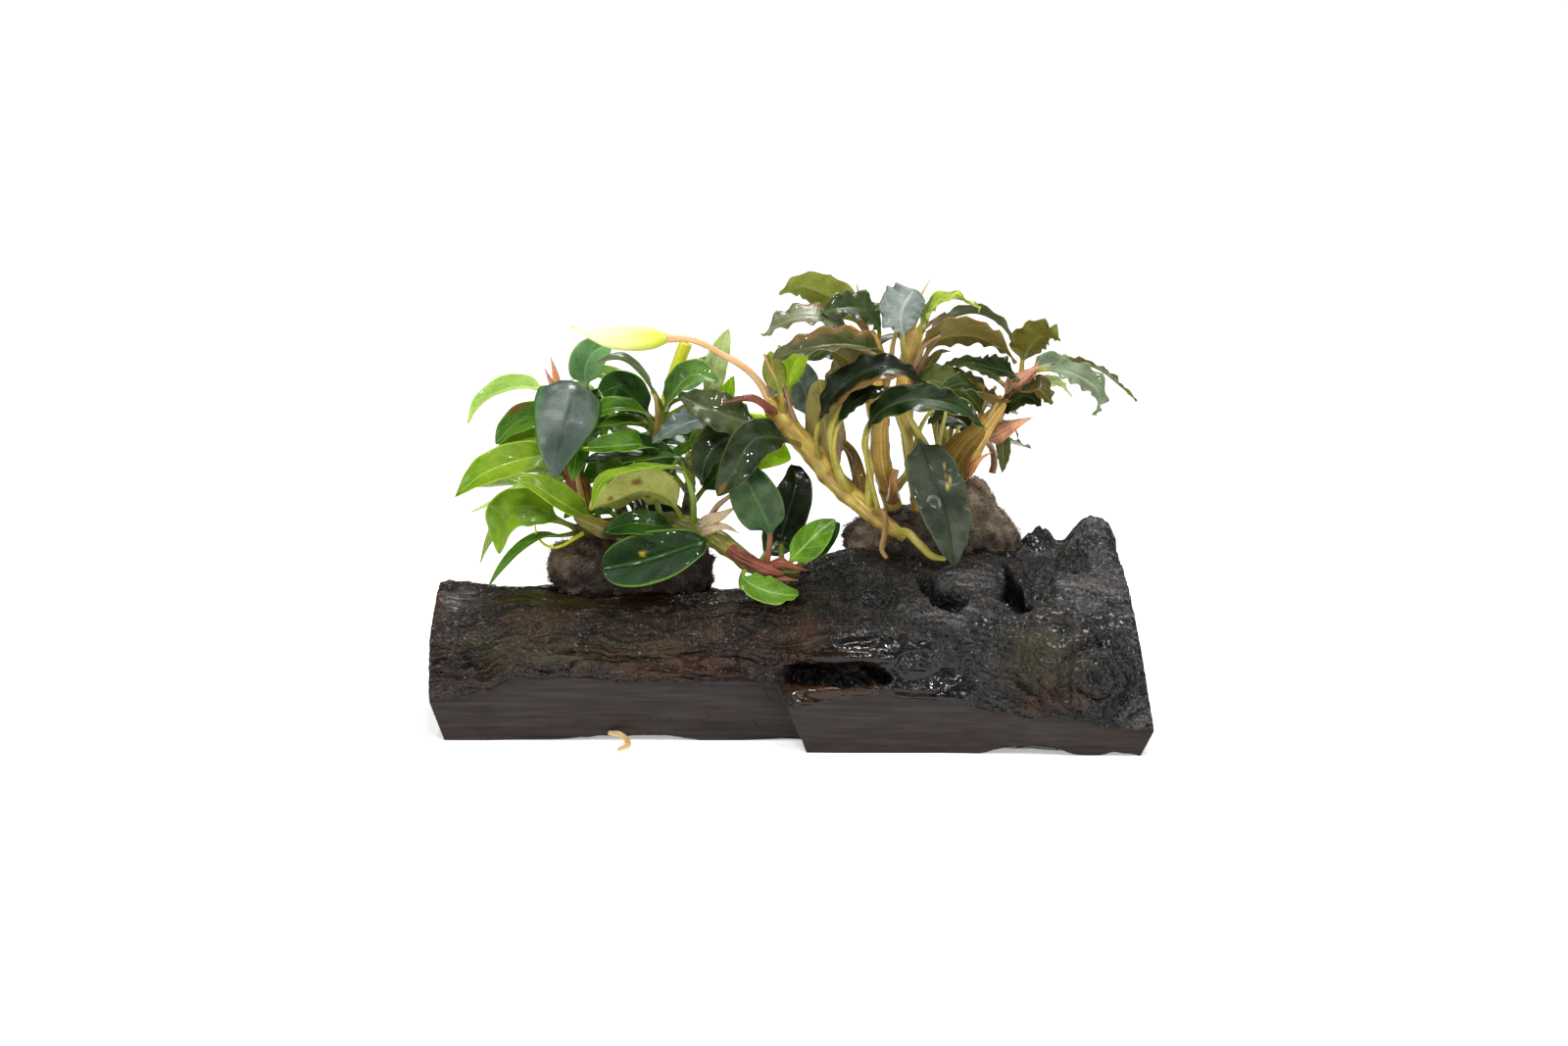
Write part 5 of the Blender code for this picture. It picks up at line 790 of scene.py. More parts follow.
        (43.5, 1, 59.5), (39, 2, 66), (34, 2, 69.5), (28, 2, 68)]),
    "olive_behind_low": ("oliveDark", "ellipse", (6.5, 0.2), (12, 0.05, 0.08), (-0.1, -0.7, 0.6), [
        (41, 2, 56.5), (38, 5, 60.5), (34, 7, 62), (30, 8, 60)]),
    "wavy_front": ("spiked", "lance", (6.5, 0.2), (12, 0.05, 0.1), (-0.2, -0.7, 0.7), [
        (45, 0, 63), (41, -6, 69), (36.5, -10, 71), (31, -12, 69.5)]),
    "right_low": ("spiked", "ellipse", (5.5, 0.25), (12, 0.05, 0.1), (0.2, -0.8, 0.6), [
        (44, 1, 61.5), (47, -3, 66), (50, -4, 67.5), (53, -4, 65.5)]),
    "right_far": ("greyGreen", "lance", (5.5, 0.3), (12, 0.05, 0.1), (0.3, -0.6, 0.8), [
        (49, 0, 70), (52.5, 4, 72.5), (57, 6, 73), (63, 6, 70.5)]),
    "gold_side": ("goldSheath", "strap", (5.0, 0.04), (-22, -0.25, 0.02), (0.2, -1, 0.3), [
        (36.5, -1, 48.5), (38.5, -5, 56), (41.5, -6, 61.5), (45.5, -5, 66.5)]),
    "side_orange": ("pinkSheath", "spike", (4.6, 0.05), (-18, -0.2, 0.02), (0, -0.95, 0.3), [
        (44.5, -2, 67.5), (47, -4, 70), (50, -5, 72.5), (52.5, -5, 74)]),
}, "stem_left_far": {
    "pale_far": ("paleLime", "lance", (4, 0.2), (10, 0.05, 0.04), (-0.2, -0.5, 0.8), [
        (-34.5, 12, 42.5), (-48, 15, 42), (-57.5, 16, 43), (-66.5, 16, 40)]),
    "behind_j": ("darkGreen", "ellipse", (8, 0.2), (12, 0.05, 0.04), (0, -0.8, 0.6), [
        (-35.5, 12, 45.5), (-31, 14, 41), (-25, 14, 39), (-19.5, 13, 35.5)]),
}}

# Petioles that stand free: stem, skin, radius, points of the middle line
strands = [
    ("rhizome_left", "fresh_yellow", 0.35, [
        (-42, -4, 38), (-46, -5, 36.5), (-49, -5, 36.5), (-51, -5, 38.5), (-51.5, -5, 41)]),
    ("stem_right_leaning", "fresh", 0.85, [
        (14.5, -8, 48.5), (11.5, -11, 52), (10, -12, 57), (9.5, -13, 62), (11.5, -12, 66.5),
        (13.5, -11, 69)]),
    ("stem_right_leaning", "fresh", 0.8, [
        (20, -8, 48), (17.5, -12, 53.5), (16.5, -13, 59.5), (18, -14, 64.5), (21, -14, 68)]),
    ("stem_right_upright", "fresh", 0.8, [
        (26, -2, 47.5), (25.5, -7, 52.5), (25, -10, 59), (23, -12, 65), (21.5, -13, 68.5)]),
    ("stem_right_second", "fresh", 0.75, [
        (27, -3, 48), (29.5, -9, 56), (27.5, -12, 61), (24.5, -13, 66), (22, -13, 69.5)]),
    ("stem_right_second", "fresh", 0.55, [(26.5, -3, 50), (27, -8, 58), (28.5, -9, 63), (31.5, -10, 67)]),
    ("stem_right_second", "fresh", 0.5, [(28, -3, 49), (31, -6, 56), (32.5, -8, 62), (33.5, -9, 67)]),
    ("stem_right_upright", "tan", 0.6, [(20.5, 0, 64), (21.5, -3, 71.5), (22.5, -4, 79), (24, -5, 83.5)]),
    ("stem_right_upright", "tan", 0.55, [(19.5, 0, 68), (18.5, -3, 74.5), (16, -5, 80), (13.5, -7, 82.5)]),
    ("stem_right_second", "tan", 0.6, [(25.5, -1, 68), (26, -3, 75.5), (26.5, -3, 81), (27.5, -3, 84)]),
    ("stem_right_second", "dusk", 0.55, [(25.5, -1, 68), (26, 1, 74.5), (28.5, 4, 80), (33.5, 7, 83.5)]),
    ("stem_right_second", "dusk", 0.5, [(25.5, -2, 66.5), (27, -5, 74.5), (29, -6, 78.5), (32, -7, 80.5)]),
    ("stem_right_leaning", "dusk", 0.55, [(4, -5, 60.5), (1, -7, 66.5), (-0.5, -7, 72), (-1, -7, 78.5)]),
    ("stem_right_leaning", "tan", 0.5, [(2.5, -5, 64.5), (-1, -8, 70), (-3, -9, 74.5), (-4, -9, 77)]),
    ("stem_right_leaning", "dusk", 0.45, [(7.5, -6, 57.5), (7.5, -3, 62.5), (8.5, -1, 66), (10.5, 0, 69)]),
    ("stem_right_leaning", "dusk", 0.5, [
        (12.5, -6, 52.5), (11.5, -8, 59), (11.5, -9, 65), (12.5, -10, 71)]),
    ("stem_right_leaning", "brown", 0.5, [
        (16, -7, 49.5), (14.5, -5, 54.5), (12.5, -4, 57.5), (11.5, -4, 59)]),
    ("stem_right_side", "tan", 0.7, [(38, 2, 49), (39, -3, 57), (41.5, -5, 62.5), (44.5, -6, 68)]),
    ("stem_right_side", "tan", 0.6, [(37, 3, 51), (37.5, 0, 57.5), (41, 2, 63.5), (44, 4, 68.5)]),
    ("stem_right_side", "brown", 0.5, [(43.5, 2, 59.5), (45, -2, 65), (48, -3, 69.5), (51, -3, 72)]),
    ("stem_right_side", "fresh", 0.5, [(36.5, 3, 47), (35, -2, 52), (34.5, -4, 57.5), (36, -6, 61.5)]),
    ("stem_right_far", "fresh", 0.5, [(31, 11, 45.5), (32.5, 12, 53.5), (33, 12, 61), (36.5, 12, 67.5)]),
    ("stem_right_far", "tan", 0.5, [(31, 11, 47.5), (34.5, 10, 55), (36, 10, 61.5), (40.5, 10, 66.5)]),
    ("stem_right_upright", "stump", 1.1, [(23.5, 0, 45.5), (22.5, -6, 48.5), (22.5, -8, 51), (23, -8, 53)]),
    ("stem_left_mid", "green", 0.55, [(-30, 5, 42.5), (-31, -1, 47.5), (-30, -4, 52), (-26.5, -6, 56)]),
    ("stem_left_mid", "green", 0.5, [(-30, 5, 46.5), (-32.5, 2, 51.5), (-36, 1, 56), (-38.5, 2, 59.5)]),
    ("rhizome_left", "green", 0.7, [(-19, -6, 39), (-18.5, -10, 45), (-19, -12, 49.5), (-20.5, -13, 53.5)]),
    ("rhizome_left", "green", 0.55, [(-24.5, -5, 40), (-26, -7, 45.5), (-24.5, -8, 50.5), (-22, -8, 55)]),
    ("rhizome_left", "dusk", 0.7, [
        (-18, -7, 39.5), (-15.5, -10, 43), (-13.5, -11, 46), (-10.5, -12, 48.5)]),
    ("stem_left_back", "tan", 0.6, [(-41, 3, 38.5), (-42, -2, 46.5), (-43, -4, 53), (-44, -5, 58.5)]),
    ("stem_left_back", "green", 0.5, [(-43, 3, 49), (-41, 0, 54.5), (-40, -1, 60), (-41, 1, 65)]),
    ("stem_left_mid", "tan", 0.55, [(-27, 6, 54.5), (-26.5, 4, 60), (-26.5, 3, 65.5), (-27.5, 4, 67.5)]),
    ("stem_left_mid", "green", 0.5, [(-26.5, 6, 59), (-24, 4, 64.5), (-20.5, 2, 66.5), (-18, 0, 67.5)]),
]


# Stem skins: two colours of the bark, the colour of the leaf scars, roughness
stemSkins = {
    "olive_stem": ("#969a3a", "#5e601e", "#5a4a18", 0.36),
    "yellow_stem": ("#ccb458", "#94792f", "#7a5220", 0.34),
    "tan_stem": ("#9a7a45", "#7a5a2c", "#4f3818", 0.45),
    "red_brown_stem": ("#8a5a3a", "#6a4a28", "#4a2a18", 0.42),
    "orange_stem": ("#e0b585", "#cc9a62", "#c07a50", 0.40),
    "cream_root": ("#d8c08a", "#b89a5c", "#8a6a34", 0.45),
    "pale_spathe": ("#f6f291", "#ccd838", "#fdf9d0", 0.42),
    "fresh_yellow": ("#dcdc34", "#c2c226", "#9a9424", 0.32),
    "fresh": ("#b4ac4c", "#8f8436", "#6a5a28", 0.34),
    "green": ("#7c9430", "#5a7020", "#5a5a20", 0.34),
    "dusk": ("#a5835c", "#7c5a42", "#5a3c2c", 0.38),
    "stump": ("#c49458", "#8c5c30", "#5a3418", 0.42),
    "tan": ("#c09e5a", "#94743c", "#6a4a22", 0.40),
    "brown": ("#7a5a30", "#573a1c", "#3a2412", 0.42),
}
# The spathe from its foot to its tip
spatheHues = [(0.0, "#b4c430"), (0.15, "#d0d840"), (0.42, "#f5f19a"), (0.8, "#fbf5c8"), (0.93, "#fdeccb"),
              (1.0, "#d88a48")]
slotOf = {"fresh_yellow": "yellow_stem", "fresh": "yellow_stem", "green": "olive_stem", "tan": "tan_stem",
          "dusk": "red_brown_stem", "stump": "tan_stem", "brown": "red_brown_stem"}
stemLook = {"streak": 0.9, "grain": 0.3, "depth": 0.1, "old": "#2c2412", "spatheShow": 0.8}  # sizes in mm
# Visual radii along the stems that thicken between their ends, in mm
swellings = {
    "rhizome_left": [1.6, 2.0, 2.3, 2.4, 2.2, 1.9, 1.6, 1.2],
    "stem_right_leaning": [1.2, 1.7, 2.2, 2.3, 2.2, 2.2, 2.1],
    "stem_right_upright": [1.9, 2.0, 2.0, 1.9, 1.7, 1.3],
}


def stemSkin(name):
    # Fleshy stem: streaks along it, brown rings at the leaf scars, and a thin wet film.
    light, dark, scar, rough = stemSkins[name]
    material, tree, shader, coords = newMaterial("fleshyStem_" + name)
    *section, ring = (addNode(tree, "Attribute", attribute_name=field).outputs["Fac"]
                      for field in ("sideX", "sideY", "run", "scar"))
    # the streaks run along: noise over the section's position and a shortened length
    lengthwise = addNode(tree, "CombineXYZ", dict(enumerate(section)))
    streaks = addNode(tree, "TexNoise", {"Vector": lengthwise, "Scale": 1 / (stemLook["streak"] * mm),
                                         "Detail": 5.0})
    share = addNode(tree, "MapRange", {0: streaks, 1: 0.35, 2: 0.65})
    ring = addNode(tree, "Math", {0: ring, 1: share}, operation="MULTIPLY")
    hue = addNode(tree, "Mix", {0: share, 6: dark, 7: light}, data_type="RGBA")
    tints = [(ring, scar)]
    if name in ("olive_stem", "pale_spathe"):
        along = addNode(tree, "Attribute", attribute_name="along").outputs["Fac"]
    if name == "olive_stem":  # browner for the old part, and darker as painted shade where it lies under the leaves
        old = addNode(tree, "MapRange", {0: along, 1: 0.62, 2: 0.35, 4: 0.85})
        tints.append((old, stemLook["old"]))
    if name == "pale_spathe":
        tints.append((stemLook["spatheShow"], addNode(tree, "ValToRGB", {0: along}, spatheHues)))
    for amount, tint in tints:
        hue = addNode(tree, "Mix", {0: amount, 6: hue, 7: tint}, data_type="RGBA")
    fine = addNode(tree, "TexNoise", {"Vector": coords, "Scale": 1 / (stemLook["grain"] * mm),
                                      "Detail": 3.0})
    relief = addNode(tree, "Math", {0: streaks, 1: 2.0, 2: fine}, operation="MULTIPLY_ADD")
    bump = addNode(tree, "Bump", {"Height": relief, "Strength": 0.25, "Distance": stemLook["depth"] * mm})
    fill(tree, shader, {"Coat Weight": 0.5, "Coat Roughness": 0.08, "Coat IOR": 1.33, "Base Color": hue,
                        "Normal": bump, "Roughness": rough, "IOR": 1.42, "Subsurface Weight": 0.15,
                        "Subsurface Radius": (1.0, 0.7, 0.3), "Subsurface Scale": 1.0 * mm})
    return material


# Rows, points round, leaf scars, and how lumpy the surface is
tubeMake = {
    "bark": (90, 24, 7, 0.09),
    "skin": (60, 18, 0, 0.05),
    "petiole": (30, 10, 0, 0.10),
}


def tubeSurface(points, radii, make, seed):
    # Round section carried along a path: radius(t) (1 + swollen scars + lumps) in the direction of a.
    rows, around, scars, rough = make
    shares = np.linspace(0, 1, rows)
    line = smoothPath(points, shares)
    across, up = tubeFrames(line)
    wide = np.interp(shares, np.linspace(0, 1, len(radii)), radii)[:, None]
    turn = np.linspace(0, 2 * math.pi, around, endpoint=False)[None, :]
    spot = together(shares[:, None] * 14, 1.4 * np.cos(turn), 1.4 * np.sin(turn) + seed)
    lumps = layeredNoise(spot, seed, 3)
    ringed = np.zeros((rows, 1))
    for k in range(scars):
        at = (k + 0.6) / scars + 0.25 * math.sin(seed + 2.3 * k) / scars
        ringed = ringed + np.exp(-(((shares[:, None] - at + 0.012 * np.cos(turn + k)) * scars * 6) ** 2))
    wide = wide * (1 + rough * lumps + 0.10 * ringed)
    rings = (line[:, None] + across[:, None] * (wide * np.cos(turn))[..., None]
             + up[:, None] * (wide * np.sin(turn))[..., None])
    length = np.concatenate([[0], np.cumsum(np.linalg.norm(np.diff(line, axis=0), axis=1))])[:, None]
    fields = {"scar": np.clip(ringed, 0, 1), "sideX": np.cos(turn) * wide * mm,
              "sideY": np.sin(turn) * wide * mm, "run": length * 0.16 * mm, "along": shares[:, None]}
    return rings, {name: values + np.zeros(rings.shape[:2]) for name, values in fields.items()}


def growTube(name, skin, points, radii, node):
    # One round part; the first word of its name says how it is made
    make = tubeMake[name.split("_")[0]]
    rings, fields = tubeSurface(points, radii, make, sum(map(ord, name)) % 89)
    if skin not in madeStems:
        madeStems[skin] = stemSkin(skin)
    return dress(loftPiece(name, rings, fields), madeStems[skin], slotOf.get(skin, skin), node)


madeStems = {}
tubeHues = {"stalk_yellow": "fresh_yellow", "root_yellow_green": "fresh"}
for name, (skin, foot, tip, points) in stems.items():
    growTube("bark_" + name, skin, points, swellings.get(name, [foot, tip]), name)
print("stems", len(stems))

for name, (skin, radii, points) in tubes.items():
    growTube("skin_" + name, tubeHues.get(name, skin), points, radii, name)
print("roots, peduncle and spathe", len(tubes))

for k, (stem, skin, radius, points) in enumerate(strands):
    start = stemSkinPoint(stem, points[0], 0.3)
    radii = [radius * 1.5, radius, radius * 0.9, radius * 0.6]
    growTube("petiole_%d" % (k + 1), skin, [start] + points[1:], radii, stem)
print("petioles", len(strands))

for stem, group in leaves.items():
    for name, (skin, form, size, bend, facing, midrib) in group.items():
        node = name if name.startswith("leaf_") else stem
        growLeaf("blade_" + name.removeprefix("leaf_"), stem, skin, form, size, bend, facing, midrib, node)
print("leaves", sum(map(len, leaves.values())))


# Leaves behind the far stems: number, length, width, lean of the upper side in degrees, skin
farLeaves = {
    "stem_left_far": (6, 21.0, 7.5, 15.0, "midGreen"),
    "stem_right_far": (6, 21.0, 7.5, 25.0, "oliveDark"),
}
farFan = {"spread": 150.0, "rises": (0.35, 0.6, 0.85), "petiole": 0.35, "golden": 137.5,
          "bend": (12, 0.05, 0.06)}


def farLeafLines(stem):
    # Arching midribs in a fan behind the stem, each higher up than the one before
    count, length, width, lean, skin = farLeaves[stem]
    line = smoothPath(stems[stem][3], np.linspace(0, 1, count + 5))
    for k in range(count):
        turned = k * farFan["golden"] / 360 % 1
        turn = math.radians(90 - farFan["spread"] / 2 + farFan["spread"] * turned)
        heading = np.array([math.cos(turn), math.sin(turn), 0.0])
        rise = np.array([0.0, 0.0, length * farFan["rises"][k % 3]])
        start = line[k + 3]
        midrib = [start, start + heading * length * 0.2 + rise * 0.6, start + heading * length * 0.5 + rise,
                  start + heading * length + rise * 0.6]
        facing = np.array([0, 0, 1.0]) + heading * math.sin(math.radians(lean))
        yield k, width, facing, midrib, skin


for stem in farLeaves:
    for k, width, facing, midrib, skin in farLeafLines(stem):
        growLeaf("blade_far_%s_%d" % (stem.split("_")[1], k + 1), stem, skin, "ellipse",
                 (width, farFan["petiole"]), farFan["bend"], facing, midrib, stem)
print("far leaves", sum(row[0] for row in farLeaves.values()))


# The driftwood: its cuts, its fronts and its crown on either side of the step, in mm
wood = {
    "left": -72.0,
    "right": 74.6,
    "stepAt": -0.7,
    "stepSlant": 5.0,
    "leftFront": -25.0,
    "rightFront": -36.0,
    "endFront": -38.5,
    "back": 28.0,
    "leftCrown": 25.5,
    "rightCrown": 34.0,
    "backFlank": 7.0,
    "endSlant": 0.155,
    "leftCorner": (3.0, 8.0),
    "rightCorner": (3.4, 5.0),
    "facetLeft": [(-72, 8.4), (-66, 8.8), (-60, 10.4), (-54, 13.0), (-40, 12.6), (-22, 11.6),
                  (-8, 12.0), (-1, 11.2)],
    "facetRight": [(-1, 9.0), (8, 10.3), (20, 11.2), (34, 10.6), (44, 8.3), (60, 6.7), (74.6, 5.0)],
    "stations": 392,
    "facetPoints": 26,
    "lipPoints": 14,
    "barkPoints": 172,
    "backPoints": 10,
    "bottomPoints": 18,
    "capRings": 12,
    "chips": [(49.0, 7.5, 1.7), (-30.0, 11.0, 1.0), (67.0, 3.0, 0.7)],
    "gather": (2.2, 6, 9),  # closer rings at the step: how far they move, and their half widths
    "ragged": (5.0, 0.45),  # the facet's upper edge: size and height of its bumps
}
# Raised features of the bark: centre, half sizes, the way they stand out, height, roughness, ring height
knobs = {
    "stubMiddle": ((58.8, -13.5, 34.0), (3.8, 3.4, 3.6), (0, -0.3, 1), 3.4, 0.35, 0.3),
    "stubBackLeft": ((52.6, 4.0, 35.0), (6.0, 4.6, 4.0), (0, 0, 1), 3.0, 0.1, 0),
    "stubBackTop": ((53.2, 4.0, 35.0), (3.8, 4.0, 4.0), (0, 0, 1), 2.6, 0.3, 0),
    "stubBackSlope": ((63.0, 5.0, 35.0), (6.6, 6.4, 5.4), (0, 0, 1), 3.4, 0.08, 0),
    "stubBackRight": ((65.8, 5.0, 35.0), (5.4, 5.4, 5.4), (0, 0, 1), 3.6, 0.1, 0),
    "ringKnot": ((62.3, -34.0, 14.6), (6.4, 4.0, 6.2), (0, -1, 0.15), 2.2, 0.2, 0.3),
    "flow": ((16.0, -32.5, 21.0), (14.0, 5.0, 4.4), (0, -0.9, 0.4), 1.1, 0.05, 0),
    "hook": ((26.4, -34.0, 17.0), (4.2, 4.0, 2.4), (0.3, -1, 0.5), 1.0, 0.4, 0.12),
    "swirl": ((17.4, -26.5, 29.5), (4.6, 4.0, 3.4), (0, -0.7, 0.7), 0.6, 0.3, 0.6),
    "lip": ((10.0, -34.5, 18.6), (12.0, 6.0, 1.3), (0, -1, 0.1), 1.4, 0.05, 0),
    "shelf": ((10.0, -35.0, 12.4), (10.5, 6.0, 1.2), (0, -0.9, 0.4), 1.0, 0.1, 0),
}
# Sunk features: centre, half sizes, the way they face, depth
pits = {
    "notch": ((10.4, -34.5, 15.4), (11.6, 6.0, 2.0), (0, -1, 0.1), 6.0),
}
# Angular features: corners as x and as height in the tilted view (z + slope y), rise, edge width
slabs = {
    "plateau": ([(31.1, 26.6), (32.9, 30.7), (36.6, 33.3), (41.6, 34.1), (44.9, 32.1), (45.7, 28.7),
                 (43.6, 24.6), (40.2, 22.6), (36.6, 25.6)], 1.3, 0.7),
    "crack": ([(27.1, 29.1), (29.7, 30.5), (30.7, 26.4), (36.6, 24.8), (34.7, 22.6), (30.1, 23.6),
               (28.6, 26.6)], -4.0, 0.6),
    "triangle": ([(45.2, 30.9), (46.9, 27.9), (48.3, 24.6), (50.0, 22.8), (46.4, 22.4),
                  (44.9, 25.0)], -5.0, 0.6),
    "crater": ([(8.9, 31.1), (20.8, 29.9), (23.4, 26.0), (17.8, 22.4), (12.9, 24.2),
                (11.6, 27.4)], -1.9, 1.3),
    "hollow": ([(49.3, 30.3), (54.3, 30.5), (54.5, 26.0), (51.1, 23.4), (49.3, 25.4)], -1.6, 0.9),
}
slabView = {"slope": 0.176, "frontOf": 8.0}
# Relief of the bark in mm. Noise drawn out along the grain: length, height, layer
carving = {
    "broad": (9, 1.5, 0),
    "narrow": (4, 0.85, 5),
    "soft": (15, 3.0, 0),
    "split": (17, 2.4, 0),
    "wave": (9, 2.2, 3),
    "crumb": 2.2,
    "narrowShare": 0.6,
    "softShare": 0.5,
    "splitDepth": 0.75,
    "fibreHeight": (0.46, 0.22),  # on brown bark and on char
    "crumbHeight": (0.12, 0.34),
    "waveHeight": (0.25, 0.55),  # dry and wet
    "wetSmooth": 0.9,
    "tornHalf": 1.6,  # the torn band at the step
    "tornTop": (19, 15),
    "moat": (1.12, 0.14, 2.4),  # the groove round a knot: place, half width, depth
    "rings": (20, 0.8),  # rings on a knot: how close, how deep
    "sawFine": ((5, 3, 1.2), 0.05),  # saw marks: sizes, height
    "sawBroad": ((16, 8, 7), 0.25),
    "capMarks": ((4, 4, 0.9), 0.10),
}
# Places where the grain runs in closed loops: centre, stretch along the wood, reach
grainEyes = {
    "loops": ((-28.6, -22.6, 20.9), 6.5, 3.6),
    "swirl": ((16.5, -25.5, 29.5), 1.4, 6.5),
    "knot": ((62.3, -34.0, 14.6), 1.1, 11.0),
    "hook": ((26.4, -34.0, 17.0), 1.5, 5.0),
    "leftEnd": ((-56.0, -20.0, 22.5), 6.0, 2.8),
    "nearStep": ((-12.0, -25.7, 16.3), 4.0, 3.2),
}
# Colour stains: centre and half sizes. The bare patches are partly grey ash and partly a painted sheen of
# the wet top; soot is taken out of them.
stains = {
    "olive": [((-53.0, -22.0, 18.0), (14.0, 6.0, 5.0)), ((-47.0, -9.0, 26.5), (13.0, 7.0, 4.0)),
              ((52.0, -34.0, 19.0), (9.0, 8.0, 8.0)), ((-40.0, -24.0, 18.0), (20.0, 6.0, 3.0))],
    "rust": [((54.0, -36.5, 10.5), (6.0, 5.0, 4.0)), ((2.0, -29.0, 22.0), (10.0, 6.0, 6.0)),
             ((-24.0, -24.0, 16.0), (20.0, 5.0, 4.0)), ((10.0, -35.0, 12.6), (11.0, 6.0, 2.2)),
             ((-71.5, -8.0, 23.0), (2.5, 12.0, 6.0)), ((-50.0, -18.0, 24.0), (8.0, 5.0, 3.0))],
    "wet": [((17.0, -33.0, 20.0), (15.0, 8.0, 4.5)), ((30.0, -35.5, 14.0), (12.0, 6.0, 4.0)),
            ((9.0, -35.5, 12.0), (12.0, 6.0, 2.4)), ((-28.0, -10.0, 24.5), (8.0, 5.0, 3.0)),
            ((-66.5, -7.0, 26.5), (4.5, 7.0, 4.0)), ((-46.0, -9.0, 26.5), (12.0, 7.0, 4.0))],
    "bare": [((-66.5, -7.0, 26.0), (6.0, 7.0, 4.0)), ((38.5, -19.0, 32.5), (9.0, 9.0, 6.0)),
             ((62.0, -18.0, 31.0), (12.0, 14.0, 9.0)), ((71.0, -36.0, 8.0), (5.0, 6.0, 5.0)),
             ((64.0, 5.0, 38.0), (7.0, 8.0, 8.0)), ((30.0, -27.0, 27.0), (10.0, 5.0, 3.5))],
    "soot": [((58.8, -13.5, 34.0), (4.6, 4.6, 4.6)), ((15.5, -25.0, 29.0), (7.0, 5.0, 5.0)),
             ((51.5, -22.0, 28.0), (4.5, 5.0, 5.0)), ((53.0, 4.0, 38.0), (6.0, 6.0, 5.0)),
             ((68.0, -35.0, 16.0), (5.0, 6.0, 9.0))],
}


def woodGrid():
    # Rings of the wood for each x: front facet, a rounded lip, bark over the top as a raised half
    # circle (y = middle − reach cos a, z = foot + rise sin^0.8 a), back flank and flat underside.
    lo, hi, step = wood["left"], wood["right"], wood["stepAt"]
    x = np.linspace(lo, hi, wood["stations"])
    pull, near, far = wood["gather"]
    x = x - pull * np.tanh((x - step) / near) * np.exp(-(((x - step) / far) ** 2))
    past = smoothStep(step - 0.6, step + 0.6, x)
    ease = smoothStep(-9, 14, x)
    rightSide = blend(wood["rightFront"], wood["endFront"], smoothStep(30, 60, x))
    front = blend(wood["leftFront"], rightSide, past)
    leftLine, rightLine = (np.interp(x, *zip(*wood[side])) for side in ("facetLeft", "facetRight"))
    bump, height = wood["ragged"]
    ragged = height * layeredNoise(together(x / bump, 0 * x, 0 * x), 13, 3)
    facet = blend(leftLine, rightLine, past) + ragged
    footLine = blend(leftLine, rightLine, ease) + ragged
    barkFront = blend(wood["leftFront"], rightSide + 1.5, ease)
    crown = blend(wood["leftCrown"], wood["rightCrown"], ease)
    middle, reach = (barkFront + wood["back"]) / 2, (wood["back"] - barkFront) / 2
    rows = []
    for k in 9 * np.linspace(0, 1, wood["barkPoints"]) ** 1.3:  # closer on the front than on the back
        a = math.pi * (k + 0.35) / 9.7
        foot = blend(footLine + 1.2, wood["backFlank"], k / 9)
        rise = (crown - (footLine + wood["backFlank"]) / 2) * math.sin(a) ** 0.8
        swell = 0.5 * np.sin(x / 6.1 + 1.3 * k) + 0.4 * np.sin(x / 3.7 - 0.8 * k)
        rows.append((middle - reach * math.cos(a), foot + rise + swell * math.sin(a), 0 * x))
    firstY, firstZ, _ = rows[0]
    lastY, lastZ, _ = rows[-1]
    lip = []
    for s in np.linspace(0, 1, wood["facetPoints"]):
        lip.append((front + 0.25 * s**8, facet * s, 0 * x + 1))
    for s in np.linspace(0, 1, wood["lipPoints"] + 1)[:-1]:
        bulge = 0.8 * math.sin(math.pi * min(1.0, s * 1.15)) * (1 - s)
        lip.append((blend(front, firstY, s**1.4) - bulge, blend(facet + 0.15, firstZ, s), 0 * x))
    rows = lip + rows
    for s in np.linspace(0, 1, wood["backPoints"] + 1)[1:]:
        rows.append((blend(lastY, wood["back"] - 1.5, s), lastZ * (1 - s), 0 * x))
    for s in np.linspace(0, 1, wood["bottomPoints"] + 1)[1:-1]:
        rows.append((blend(wood["back"] - 1.5, front, s), 0 * x, 0 * x - 1))
    y, z, zone = np.moveaxis(np.array(rows), 0, -1)
    grid = together(x[:, None], y, z)
    near = np.maximum(0, 1 - np.abs(x - step) / 8)[:, None]
    lean = wood["stepSlant"] * np.maximum(0, 1 - z / 12) * near
    tilt = wood["endSlant"] * z * smoothStep(30, hi, x)[:, None] * past[:, None]
    leftEnd = wood["leftCorner"][0] * np.maximum(0, 1 - z / wood["leftCorner"][1])
    rightEnd = wood["rightCorner"][0] * np.maximum(0, 1 - z / wood["rightCorner"][1])
    push = lean - tilt + leftEnd * smoothStep(lo + 3.5, lo, x)[:, None]
    grid[..., 0] += push - rightEnd * smoothStep(hi - 4, hi, x)[:, None]
    # chips broken out of the lower front edge
    for place, width, height in wood["chips"]:
        chip = height * np.exp(-(((grid[..., 0] - place) / width) ** 4))
        chip *= 1 + 0.3 * layeredNoise(grid / 2.0, 17, 2)
        chip *= smoothStep(5, 1, grid[..., 1] - grid[..., 1].min(axis=1)[:, None])
        grid[..., 2] = np.maximum(grid[..., 2], chip)
    return grid, zone


def outward(grid):
    # Unit normals of a grid of rings, from the differences along it and around it
    alongX = np.gradient(grid, axis=0)
    around = np.roll(grid, -1, axis=1) - np.roll(grid, 1, axis=1)
    return unit(np.cross(alongX, around))


def nearness(points, centre, halves, facing=None):
    # Distance from a feature as a share of its half sizes, measured across the way that it faces
    off = points - np.array(centre)
    if facing is None:
        return np.linalg.norm(off / np.array(halves), axis=-1)
    facing = unit(np.array(facing, float))
    ahead = off @ facing
    aside = (off - ahead[..., None] * facing) / np.array(halves)
    return np.where(np.abs(ahead) < 9, np.linalg.norm(aside, axis=-1), 9.0)


